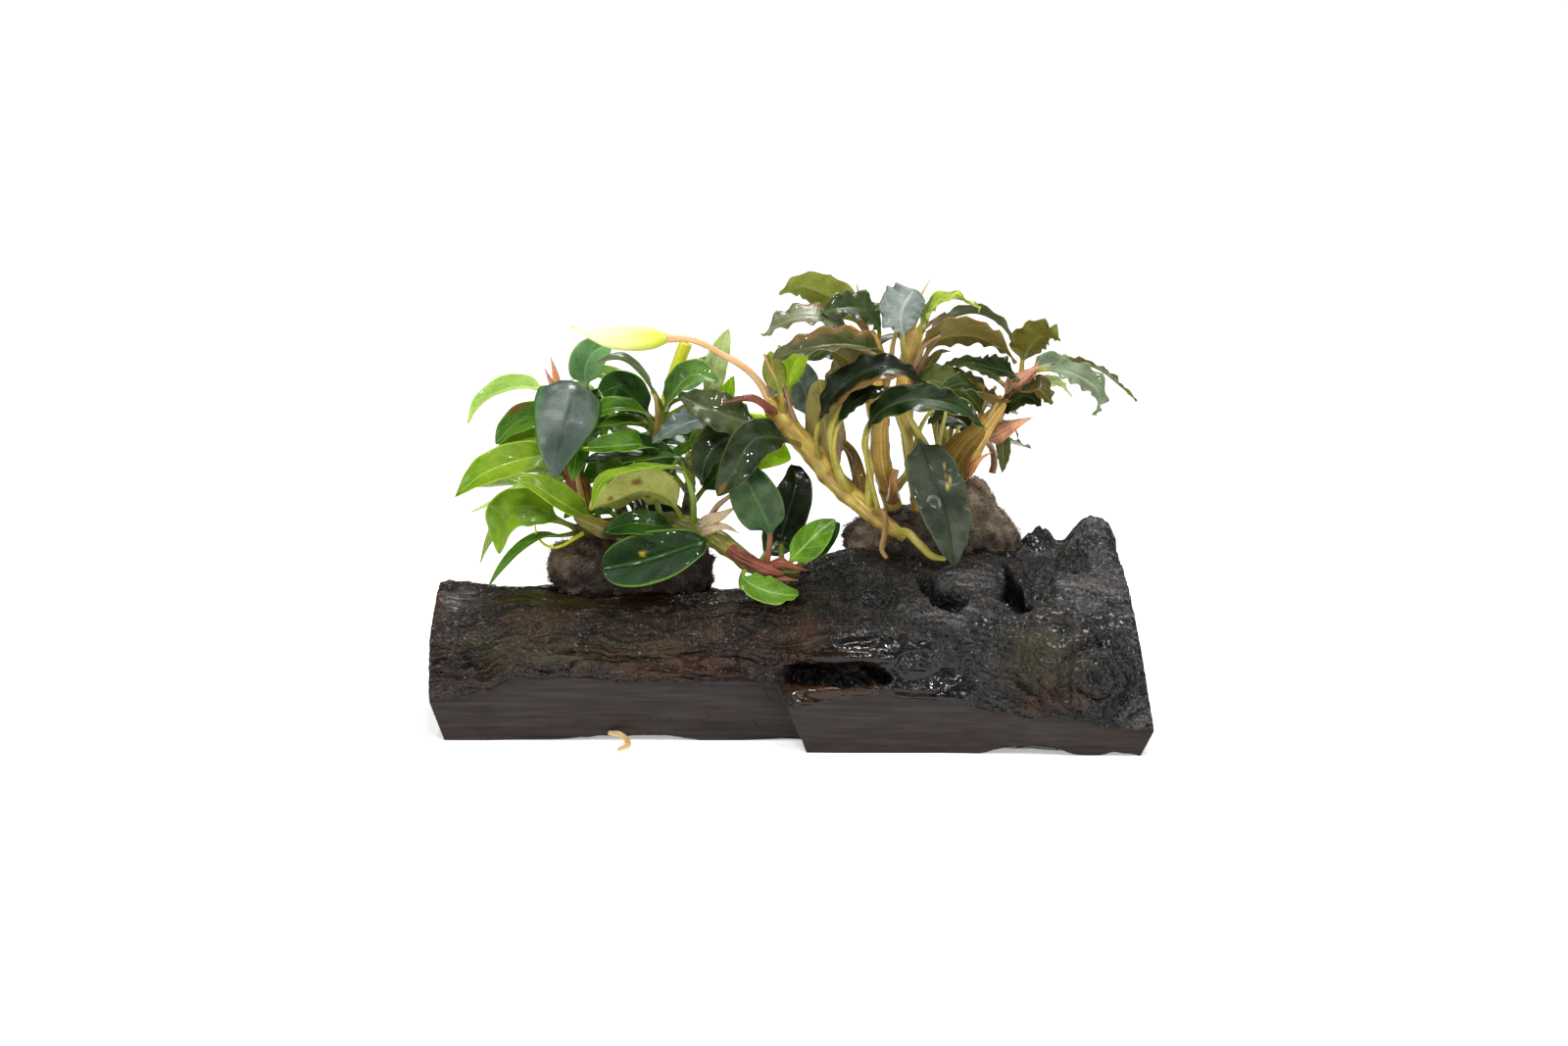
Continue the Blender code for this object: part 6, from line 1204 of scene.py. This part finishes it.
def insideSlab(grid, corners):
    # How far a point lies inside a closed outline, negative outside: the distance to its nearest side
    seen = together(grid[..., 0], grid[..., 2] + slabView["slope"] * grid[..., 1])
    seen = seen + 0.5 * together(*(layeredNoise(grid / 2.4, seed, 3) for seed in (101, 102)))
    nearest = np.full(grid.shape[:2], 99.0)
    within = np.zeros(grid.shape[:2], bool)
    for start, end in zip(np.array(corners), np.roll(np.array(corners), -1, axis=0)):
        side, off = end - start, seen - start
        share = np.clip((off @ side) / (side @ side), 0, 1)
        nearest = np.minimum(nearest, np.linalg.norm(off - share[..., None] * side, axis=-1))
        crosses = (start[1] > seen[..., 1]) != (end[1] > seen[..., 1])
        reach = start[0] + (seen[..., 1] - start[1]) / (side[1] + 1e-9) * side[0]
        within ^= crosses & (seen[..., 0] < reach)
    ahead = smoothStep(slabView["frontOf"], slabView["frontOf"] - 4, grid[..., 1])
    return np.where(within, nearest, -nearest), ahead


def grainLines(grid, zone):
    # Height across the grain: the arc length over the bark, warped, and turned into ellipses at the eyes
    steps = np.linalg.norm(np.diff(grid, axis=1), axis=-1) * (np.abs(zone[:, 1:]) < 0.5)
    arc = np.concatenate([np.zeros((len(grid), 1)), np.cumsum(steps, axis=1)], axis=1)
    firstBark = wood["facetPoints"] + wood["lipPoints"]
    level = arc - arc[:, firstBark:firstBark + 1]
    rule = level + 1.7 * layeredNoise(grid / np.array([28.0, 10.0, 10.0]), 21, 3)
    for centre, stretch, reach in grainEyes.values():
        spot = np.unravel_index(np.argmin(np.linalg.norm(grid - np.array(centre), axis=-1)), arc.shape)
        away = np.hypot((grid[..., 0] - centre[0]) / stretch, level - level[spot])
        away = away * (1 + 0.10 * layeredNoise(grid / 2.5, 23, 2))
        rule = blend(rule, level[spot] + away, np.exp(-((away / reach) ** 4)))
    return arc, rule


def carveWood(grid, zone):
    # Raises knobs, sinks pits, then adds fibre ridges, splits and crumbs along the outward direction.
    normal = outward(grid)
    bark = np.where(np.abs(zone) < 0.5, 1.0, 0.0)
    arc, rule = grainLines(grid, zone)
    x = grid[..., 0]
    torn = np.exp(-(((x - wood["stepAt"]) / carving["tornHalf"]) ** 2))
    torn = torn * smoothStep(*carving["tornTop"], grid[..., 2])
    bark = bark * smoothStep(-0.2, 1.2, arc) * (1 - 0.9 * torn)
    raised = np.zeros(zone.shape)
    moatAt, moatHalf, moatDepth = carving["moat"]
    closeness, ringDepth = carving["rings"]
    for centre, halves, facing, height, crag, rings in knobs.values():
        near = nearness(grid, centre, halves, facing) * (1 + crag * 0.3 * layeredNoise(grid / 4.0, 7, 2))
        rough = 1 + crag * layeredNoise(grid / 2.2, 5, 3)
        raised += bark * height * rough * smoothStep(1.2, 0.3, near)
        moat = moatDepth * np.exp(-(((near - moatAt) / moatHalf) ** 2))
        moat = moat + ringDepth * np.cos(closeness * near) * (near < 1.1)
        raised -= bark * rings * moat
    hollow = np.zeros(zone.shape)
    for centre, halves, facing, depth in pits.values():
        near = nearness(grid, centre, halves, facing) * (1 + 0.22 * layeredNoise(grid / 3.0, 11, 2))
        hollow += depth * smoothStep(1.1, 0.7, near) * (1 - torn)
    for corners, rise, edge in slabs.values():
        inside, ahead = insideSlab(grid, corners)
        lift = rise * smoothStep(-edge, edge, inside) * ahead
        raised += bark * np.maximum(lift, 0)
        hollow -= np.minimum(lift, 0)
    char = smoothStep(-4, 20, x + 7 * layeredNoise(grid / 12, 3, 3) + 0.5 * (grid[..., 2] - 20))
    wet = stainOf(grid, "wet")

    def drawnOut(kind):
        length, height, layer = carving[kind]
        return together(x / length, rule / height, layer)

    broad = 1 - 2 * np.abs(latticeNoise(drawnOut("broad"), 31))
    narrow = 1 - 2 * np.abs(latticeNoise(drawnOut("narrow"), 32))
    soft = latticeNoise(drawnOut("soft"), 33)
    fibres = broad + carving["narrowShare"] * narrow + carving["softShare"] * soft
    splits = 1 - np.abs(layeredNoise(drawnOut("split"), 41, 2))
    crumbs = layeredNoise(grid / carving["crumb"], 51, 3, 0.6)
    waves = layeredNoise(drawnOut("wave"), 45, 2)
    smooth = 1 - carving["wetSmooth"] * wet
    relief = blend(*carving["fibreHeight"], char) * fibres * smooth
    relief = relief - carving["splitDepth"] * smoothStep(0.95, 1.0, splits) * smooth
    relief = relief + blend(*carving["crumbHeight"], char) * crumbs * smooth
    relief = relief + blend(*carving["waveHeight"], wet) * waves
    raised += bark * relief
    saw = 0
    for kind, seed, layers in (("sawFine", 61, 3), ("sawBroad", 62, 2)):
        sizes, height = carving[kind]
        saw = saw + height * layeredNoise(grid / np.array(sizes), seed, layers)
    saw = (zone > 0.5) * saw
    raised = np.where(zone < -0.5, 0, raised + saw - hollow * np.where(zone > 0.5, 0, 1))
    carved = grid + normal * raised[..., None]
    carved[..., 2] = np.maximum(carved[..., 2], 0.0)
    # the relief handed on for colour is sunk further in pits and hollows, so that painted shade lands there
    return carved, relief - 0.35 * hollow, char, rule


def stainOf(grid, kind):
    # How strongly a stain shows, from 0 to 1, with a ragged edge
    total = np.zeros(grid.shape[:2])
    for centre, halves in stains[kind]:
        near = nearness(grid, centre, halves) * (1 + 0.35 * layeredNoise(grid / 3.5, 91, 3))
        total = np.maximum(total, smoothStep(1.25, 0.35, near))
    return total


def endCap(ring, inward):
    # Rings that shrink from a saw cut's rim to its middle, with faint saw marks along x
    middle = ring.mean(axis=0)
    sizes, height = carving["capMarks"]
    caps = []
    for k in range(1, wood["capRings"]):
        share = 1 - k / wood["capRings"]
        disc = blend(middle, ring, share)
        disc[:, 0] = np.interp(disc[:, 2], *heightRule(ring))
        disc[:, 0] += inward * height * (1 + layeredNoise(disc / np.array(sizes), 71, 3))
        caps.append(disc)
    return np.array(caps)


def heightRule(ring):
    # How far along the wood a saw cut's rim stands at each height
    heights = np.linspace(0, ring[:, 2].max(), 12)
    order = np.argsort(ring[:, 2])
    return heights, np.interp(heights, ring[order, 2], np.convolve(ring[order, 0], np.ones(9) / 9, "same")
                              / np.convolve(np.ones(len(order)), np.ones(9) / 9, "same"))


woodLook = {  # sizes of the patterns in mm, colours by rising noise
    "grain": 0.9,
    "grainDraw": 0.11,  # how short the grain's pattern is made along x
    "speck": 0.6,
    "thread": 1.1,
    "bead": 1.3,
    "barkDepth": 0.6,
    "filmDepth": 2.0,
    "brown": [(0.32, "#080302"), (0.5, "#160b05"), (0.64, "#2c1b0d"), (0.8, "#4e3622")],
    "black": [(0.35, "#030202"), (0.5, "#0b0a09"), (0.7, "#292625")],
    # grey flecks of ash, and a painted grey sheen of the wet top
    "ashAndSheen": [(0.40, "#161515"), (0.5, "#3a3837"), (0.62, "#7e7c7b")],
    "stains": {"olive": ("#3a3212", 0.6), "rust": ("#46280f", 0.4)},  # colour and strength
    "worn": "#4a3524",
    # painted shade for pits, cracks and hollows
    "hollowShade": "#050403",
    "sawLine": 0.7,
    "patch": 9,
    "scratch": 1.1,
    "scratchTurn": -52,  # degrees
    "sawnDepth": 0.2,
    "sawn": [(0.3, "#241e1d"), (0.5, "#2c2523"), (0.7, "#362f2d")],
    # the lower facet's colours: darker partly for wet wood, partly as a painted gradient under a lighter top
    # that stands in for a sheen
    "soaked": [(0.35, "#16100d"), (0.5, "#211712"), (0.7, "#30221a")],
    "soakedFrom": (14.0, 8.0),  # mm above the underside
    "cut": "#0c0807",
}


def barkSkin():
    # Soaked bogwood bark: near-black brown fibres under a film of water that sparkles on every ridge
    look = woodLook
    material, tree, shader, coords = newMaterial("soakedBark")
    read = {field: addNode(tree, "Attribute", attribute_name=field).outputs["Fac"]
            for field in ("char", "relief", "olive", "rust", "wet", "grainRule", "bare")}
    # the grain runs along x and across the stored rule, so it bends round the knots
    alongX = addNode(tree, "SeparateXYZ", {0: coords})
    alongX = addNode(tree, "Math", {0: alongX, 1: look["grainDraw"]}, operation="MULTIPLY")
    bent = addNode(tree, "CombineXYZ", {0: alongX, 1: read["grainRule"]})
    grain = addNode(tree, "TexNoise", {"Vector": bent, "Scale": 1 / (look["grain"] * mm), "Detail": 5.0,
                                       "Distortion": 0.5})
    speck = addNode(tree, "TexNoise", {"Vector": coords, "Scale": 1 / (look["speck"] * mm), "Detail": 6.0,
                                       "Roughness": 0.65})
    threads, beads = (
        addNode(tree, "TexNoise", {"Vector": way, "Scale": 1 / (look[kind] * mm), "Detail": 1.0})
        for kind, way in (("thread", bent), ("bead", coords)))
    crest = addNode(tree, "Math", {0: grain, 1: 0.5}, operation="SUBTRACT")
    crest = addNode(tree, "Math", {0: crest}, operation="ABSOLUTE")
    crest = addNode(tree, "Math", {0: crest, 1: -5.0, 2: 1.0}, operation="MULTIPLY_ADD")
    streaky = addNode(tree, "Mix", {0: 0.45, 2: speck, 3: grain})
    brown, black, ashAndSheen = (addNode(tree, "ValToRGB", {0: noise}, look[kind])
                         for kind, noise in (("brown", grain), ("black", speck), ("ashAndSheen", streaky)))
    hue = addNode(tree, "Mix", {0: read["char"], 6: brown, 7: black}, data_type="RGBA")
    # the ash ramp on the bare patches paints a grey sheen over the wet top, along with flecks of real ash
    tints = [(addNode(tree, "Math", {0: read["bare"], 1: 0.8}, operation="MULTIPLY"), ashAndSheen)]
    for stain, (colour, most) in look["stains"].items():
        share = addNode(tree, "MapRange", {0: grain, 1: 0.35, 2: 0.65, 3: 0.3, 4: most})
        tints.append((addNode(tree, "Math", {0: share, 1: read[stain]}, operation="MULTIPLY"), colour))
    # the deep tint is painted shade: near-black where the relief sinks into pits, cracks and hollows
    for kind, span in (("worn", {1: 0.1, 2: 0.8, 4: 0.2}), ("hollowShade", {1: -0.9, 2: -0.15, 3: 0.85, 4: 0.0})):
        tints.append((addNode(tree, "MapRange", {0: read["relief"], **span}), look[kind]))
    for share, tint in tints:
        hue = addNode(tree, "Mix", {0: share, 6: hue, 7: tint}, data_type="RGBA")
    height = addNode(tree, "Math", {0: crest, 1: 0.5, 2: speck}, operation="MULTIPLY_ADD")
    calm = addNode(tree, "MapRange", {0: read["wet"], 2: 0.8, 3: 0.8, 4: 0.1})
    # the water film follows the ridges but rounds them off
    beads = addNode(tree, "Math", {0: threads, 1: 1.0, 2: beads}, operation="MULTIPLY_ADD")
    bump, film = (addNode(tree, "Bump", {"Height": rise, "Strength": calm, "Distance": look[depth] * mm})
                  for rise, depth in ((height, "barkDepth"), (beads, "filmDepth")))
    filmRough = addNode(tree, "MapRange", {0: read["bare"], 3: 0.05, 4: 0.22})
    rough = addNode(tree, "MapRange", {0: speck, 1: 0.35, 2: 0.65, 3: 0.12, 4: 0.4})
    fill(tree, shader, {"Base Color": hue, "Normal": bump, "Roughness": rough, "Coat Normal": film,
                        "Coat Roughness": filmRough, "Coat Weight": 0.9, "Coat IOR": 1.33,
                        "Specular IOR Level": 0.12})
    return material


def sawnSkin():
    # Sawn bogwood: flat, satin and grey-brown, with fine lines along the cut and a few dark scratches
    look = woodLook
    material, tree, shader, coords = newMaterial("sawnBogwood")
    lined = addNode(tree, "Mapping", {"Vector": coords, "Scale": (0.06, 1.0, 1.0)})
    lines = addNode(tree, "TexNoise", {"Vector": lined, "Scale": 1 / (look["sawLine"] * mm), "Detail": 5.0,
                                       "Distortion": 0.3})
    turn = math.radians(look["scratchTurn"])
    turned = addNode(tree, "Mapping", {"Vector": coords, "Rotation": (0, turn, 0)})
    slant = addNode(tree, "Mapping", {"Vector": turned, "Scale": (0.14, 1, 1)})
    patch, scratch = (
        addNode(tree, "TexNoise", {"Vector": way, "Scale": 1 / (look[kind] * mm), "Detail": detail})
        for kind, way, detail in (("patch", coords, 4.0), ("scratch", slant, 1.0)))
    hue, soaked = (addNode(tree, "ValToRGB", {0: lines}, look[kind]) for kind in ("sawn", "soaked"))
    # the lower part is darker, browner and wetter, with a ragged border; the lighter upper part is partly a
    # painted sheen
    high, base = (edge * mm for edge in look["soakedFrom"])
    low = addNode(tree, "SeparateXYZ", {0: coords}).outputs[2]
    low = addNode(tree, "Math", {0: patch, 1: high, 2: low}, operation="MULTIPLY_ADD")
    low = addNode(tree, "MapRange", {0: low, 1: high, 2: base, 4: 0.85})
    cut = addNode(tree, "MapRange", {0: scratch, 1: 0.735, 2: 0.755, 4: 0.8})
    for share, tint in ((low, soaked), (cut, look["cut"])):
        hue = addNode(tree, "Mix", {0: share, 6: hue, 7: tint}, data_type="RGBA")
    bump = addNode(tree, "Bump", {"Height": lines, "Strength": 0.3, "Distance": look["sawnDepth"] * mm})
    rough = addNode(tree, "MapRange", {0: low, 3: 0.5, 4: 0.28})
    fill(tree, shader, {"Base Color": hue, "Normal": bump, "Roughness": rough, "IOR": 1.45,
                        "Specular IOR Level": 0.3})
    return material


def makeDriftwood():
    grid, zone = woodGrid()
    carved, relief, char, rule = carveWood(grid, zone)
    leftCap, rightCap = endCap(carved[0], 1), endCap(carved[-1], -1)
    rings = np.concatenate([leftCap[::-1], carved, rightCap])
    caps = wood["capRings"] - 1

    def widen(values):
        return np.concatenate([np.repeat(values[:1], caps, axis=0), values,
                               np.repeat(values[-1:], caps, axis=0)])

    fields = {"relief": relief, "char": char, "grainRule": rule * mm}
    fields.update({kind: stainOf(grid, kind) for kind in stains})
    fields["bare"] = fields["bare"] * (1 - fields.pop("soot"))
    piece = loftPiece("wetDriftwood", rings, {field: widen(values) for field, values in fields.items()})
    dress(piece, barkSkin(), "wet_wood", "driftwood")
    piece.data.materials.append(sawnSkin())
    # the sawn material goes on the facet, the underside and both saw cuts
    around = rings.shape[1]
    sawn = np.concatenate([np.ones((caps, around)), (np.abs(zone) > 0.5) * 1.0, np.ones((caps, around))])
    pairs = np.minimum(sawn, np.roll(sawn, -1, axis=1))
    faces = pairs[:-1] * pairs[1:]
    index = np.concatenate([faces.ravel(), np.ones(2 * around)]).astype(np.int32)
    piece.data.polygons.foreach_set("material_index", index)


makeDriftwood()
print("driftwood")


# Fibre plugs: centre, half sizes, and the height, place and reach of a hump on the top
plugs = {
    "fibre_plug_left": ((-34.5, 3.0, 30.0), (14.5, 9.0, 6.7), (0.8, -4.0, 6.0)),
    "fibre_plug_right": ((31.5, 4.0, 36.5), (17.9, 11.5, 5.6), (6.5, 8.5, 6.5)),
}
plugMake = {
    "square": 0.75,  # the power of each coordinate
    "rows": 110,
    "around": 180,
    "fibres": 1500,
    "fibrePoints": 9,
    "fibreHalf": 0.045,
    "fibreHeights": (-0.2, 0.98),  # cosines of the angle from the top
    "fibreLengths": (0.2, 0.55),  # radians on the ball
    "fibreBend": 2.2,
    "fibreLift": (0.1, 1.0),  # cubed, so that few stand high
    "fibreTone": (0.7, 1.3),
    "fibreShift": (-0.2, 0.35),
    "lumps": 1.5,
    "tufts": 0.8,
    "tuftSize": 1.8,
    "clump": 3.0,
    "thread": 0.35,
    "depth": 0.3,
}
# Dry places on the plugs: centre and half sizes
dryPlaces = {
    "fibre_plug_left": [((-47.0, 0.0, 35.0), (7.0, 9.0, 6.0))],
    "fibre_plug_right": [((42.0, 4.0, 43.0), (11.0, 16.0, 9.0)), ((17.0, -4.0, 39.0), (6.0, 8.0, 6.0))],
}
fibreHues = {
    "soaked": [(0.2, "#19120e"), (0.7, "#382b23"), (0.95, "#8c7964")],
    "dried": [(0.1, "#382b23"), (0.45, "#8c7964"), (0.85, "#bfae96")],
}
rightReach = {"fibre_plug_left": 1.35, "fibre_plug_right": 1.0}  # stretch of the right half
leastDry = {"fibre_plug_left": 0.0, "fibre_plug_right": 0.22}


def plugSurface(name, down, turn):
    # A ball squared by a power of each coordinate, lumpy, with a hump: down goes pole to pole, turn round.
    centre, halves, (hump, humpAt, humpReach) = plugs[name]
    flat = np.sin(down)
    ball = together(flat * np.cos(turn), flat * np.sin(turn), np.cos(down))
    squared = np.sign(ball) * np.abs(ball) ** plugMake["square"]
    place = squared * np.array(halves)
    place[..., 0] *= 1 + (rightReach[name] - 1) * smoothStep(0, 0.3 * halves[0], place[..., 0])
    place = place + unit(ball) * (plugMake["lumps"] * layeredNoise(place / 7.5, len(name), 3))[..., None]
    swell = np.exp(-(((place[..., 0] - humpAt) / humpReach) ** 2))
    place[..., 2] += hump * swell * np.maximum(squared[..., 2], 0)
    return place + np.array(centre), ball


def dryness(name, points):
    # How dry the fibres are, from 0 to 1, with a ragged border
    total = np.full(points.shape[:-1], leastDry[name])
    for centre, halves in dryPlaces[name]:
        near = nearness(points, centre, halves) * (1 + 0.3 * layeredNoise(points / 3.0, 83, 3))
        total = np.maximum(total, smoothStep(1.2, 0.5, near))
    return total


def fibreSkin():
    # Matted peat and rock-wool fibres: dull, dark when soaked, tan where the threads have dried
    material, tree, shader, coords = newMaterial("mattedFibre")
    dry = addNode(tree, "Attribute", attribute_name="dry").outputs["Fac"]
    clumps = addNode(tree, "TexNoise", {"Vector": coords, "Scale": 1 / (plugMake["clump"] * mm),
                                        "Detail": 5.0})
    threads = addNode(tree, "TexNoise", {"Vector": coords, "Scale": 1 / (plugMake["thread"] * mm),
                                         "Detail": 3.0, "Distortion": 1.2})
    share = addNode(tree, "Math", {0: clumps, 1: threads}, operation="ADD")
    share = addNode(tree, "MapRange", {0: share, 1: 0.7, 2: 1.3})
    soaked, dried = (addNode(tree, "ValToRGB", {0: share}, hues) for hues in fibreHues.values())
    hue = addNode(tree, "Mix", {0: dry, 6: soaked, 7: dried}, data_type="RGBA")
    bump = addNode(tree, "Bump", {"Height": threads, "Strength": 0.8, "Distance": plugMake["depth"] * mm})
    fill(tree, shader, {"Base Color": hue, "Normal": bump, "Roughness": 0.75})
    return material


def tufts(points):
    return plugMake["tufts"] * layeredNoise(points / plugMake["tuftSize"], 81, 4, 0.6)


def makePlug(name, skin):
    down = np.linspace(0.02, math.pi - 0.02, plugMake["rows"])[:, None]
    turn = np.linspace(0, 2 * math.pi, plugMake["around"], endpoint=False)[None, :]
    rings, ball = plugSurface(name, down, turn)
    rings = rings + unit(ball) * tufts(rings)[..., None]
    dress(loftPiece("mat_" + name, rings, {"dry": 0.8 * dryness(name, rings)}), skin, "fibre", name)
    # threads: short arcs that lie on the surface and lift off it by a random height
    random = np.random.default_rng(len(name))
    count, steps = plugMake["fibres"], plugMake["fibrePoints"]
    down = np.arccos(random.uniform(*plugMake["fibreHeights"], count))
    turn = random.uniform(0, 2 * math.pi, count)
    heading = random.uniform(0, 2 * math.pi, count)
    length = random.uniform(*plugMake["fibreLengths"], count)
    bendy = random.uniform(-plugMake["fibreBend"], plugMake["fibreBend"], count)
    lift = random.uniform(*plugMake["fibreLift"], count) ** 3
    s = np.linspace(-0.5, 0.5, steps)[None, :]
    way = heading[:, None] + bendy[:, None] * s
    thetas = np.clip(down[:, None] + length[:, None] * s * np.cos(way), 0.03, math.pi - 0.1)
    phis = turn[:, None] + length[:, None] * s * np.sin(way) / np.sin(np.clip(down[:, None], 0.3, 2.8))
    line, ball = plugSurface(name, thetas, phis)
    rise = tufts(line) + 0.1 + lift[:, None] * (1 - 3 * s**2)
    line = line + unit(ball) * rise[..., None]
    along = unit(np.gradient(line, axis=1))
    side = unit(np.cross(along, unit(ball)))
    up = np.cross(side, along)
    angle = np.array([0, 2 * math.pi / 3, 4 * math.pi / 3])
    half = plugMake["fibreHalf"] * np.sqrt(1.05 - 4 * s**2)[..., None, None]
    rings = line[:, :, None] + half * (side[:, :, None] * np.cos(angle)[:, None]
                                       + up[:, :, None] * np.sin(angle)[:, None])
    tone = random.uniform(*plugMake["fibreTone"], (count, 1, 1))
    shift = random.uniform(*plugMake["fibreShift"], (count, 1, 1))
    dry = np.clip(dryness(name, rings) * tone + shift, 0, 1)
    points, faces, fields = [], [], []
    for k in range(count):
        faces += loftFaces(steps, 3, len(points) * (steps * 3 + 2))
        points.append(withPoles(rings[k]))
        fields.append(withPoles(dry[k]))
    threads = meshPiece("threads_" + name, np.concatenate(points), [face[::-1] for face in faces],
                        {"dry": np.concatenate(fields)})
    dress(threads, skin, "fibre", name)


fibre = fibreSkin()
for name in plugs:
    makePlug(name, fibre)
print("fibre plugs")


# Stage: white studio floor, soft boxes and the camera
studio = {
    "lens": 85.0,
    "sensor": 36.0,
    "distance": 770.0,
    "aim": (0.0, 0.0, 40.4),
    "elevation": 10.0,
    "air": 0.13,  # light from all around
    "backdrop": 1.05,  # what the camera sees behind the floor
    "floorTone": "#f2f2f0",
    "floorReach": 4000,
    "floorDrop": 0.05,  # how far it lies under the wood
    "floorGlow": (0.42, 0.95),  # near the wood and far away, which keeps the paper white to the horizon
    "glowFrom": (0.1, 0.9),  # metres
    "boxes": {  # place, size, power in watts
        "above": ((0.10, 0.20, 0.58), (0.26, 0.20), 2.6),
        "key": ((-0.15, -0.35, 0.62), (0.10, 0.08), 1.5),
        "glow": ((0.30, -0.58, 0.42), (0.16, 0.12), 0.7),
        "spark": ((0.0, -0.56, 0.54), (0.03, 0.03), 0.7),
        "sparkLeft": ((-0.38, -0.40, 0.52), (0.03, 0.03), 0.7),
        "sparkRight": ((0.40, -0.42, 0.50), (0.03, 0.03), 0.7),
        "sparkHigh": ((0.06, -0.12, 0.74), (0.03, 0.03), 0.7),
        "sheen": ((-0.40, -0.60, 0.34), (0.20, 0.14), 0.55),
        "left": ((-0.60, -0.10, 0.35), (0.16, 0.16), 0.7),
        "right": ((0.55, -0.30, 0.40), (0.12, 0.12), 0.7),
    },
}


def setStage():
    reach, drop = studio["floorReach"], studio["floorDrop"]
    corners = [(x * reach, y * reach, -drop) for x, y in ((-1, -1), (1, -1), (1, 1), (-1, 1))]
    floor = meshPiece("studioFloor", corners, [(0, 1, 2, 3)])
    material, tree, shader, coords = newMaterial("paperFloor")
    # the glow grows with the distance from the middle, so that the paper stays white far off
    far = addNode(tree, "VectorMath", {0: coords}, operation="LENGTH").outputs["Value"]
    (start, end), (near, whole) = studio["glowFrom"], studio["floorGlow"]
    glow = addNode(tree, "MapRange", {0: far, 1: start, 2: end, 3: near, 4: whole})
    fill(tree, shader, {"Base Color": studio["floorTone"], "Roughness": 0.6,
                        "Emission Color": (1, 1, 1, 1), "Emission Strength": glow})
    floor.data.materials.append(material)
    world = bpy.data.worlds.new("studioAir")
    bpy.context.scene.world = world
    world.use_nodes = True
    air = world.node_tree.nodes["Background"]
    seen = addNode(world.node_tree, "LightPath").outputs["Is Camera Ray"]
    strength = addNode(world.node_tree, "Mix", {0: seen, 2: studio["air"], 3: studio["backdrop"]})
    fill(world.node_tree, air, {"Color": (1, 1, 1, 1), "Strength": strength})
    aim = Vector(studio["aim"]) * mm
    for name, (place, size, power) in studio["boxes"].items():
        light = bpy.data.lights.new(name, "AREA")
        light.shape = "RECTANGLE"
        light.size, light.size_y = size
        light.energy = power
        lamp = bpy.data.objects.new(name, light)
        bpy.context.scene.collection.objects.link(lamp)
        lamp.location = place
        lamp.rotation_euler = (aim - lamp.location).to_track_quat("-Z", "Y").to_euler()
    camera = bpy.data.cameras.new("photoCamera")
    camera.lens = studio["lens"]
    camera.sensor_width = studio["sensor"]
    camera.clip_start = 0.01
    eye = bpy.data.objects.new("photoCamera", camera)
    bpy.context.scene.collection.objects.link(eye)
    rise = math.radians(studio["elevation"])
    eye.location = aim + Vector((0, -math.cos(rise), math.sin(rise))) * studio["distance"] * mm
    eye.rotation_euler = (aim - eye.location).to_track_quat("-Z", "Y").to_euler()
    bpy.context.scene.camera = eye
    bpy.context.scene.view_settings.view_transform = "Standard"


setStage()
print("stage")
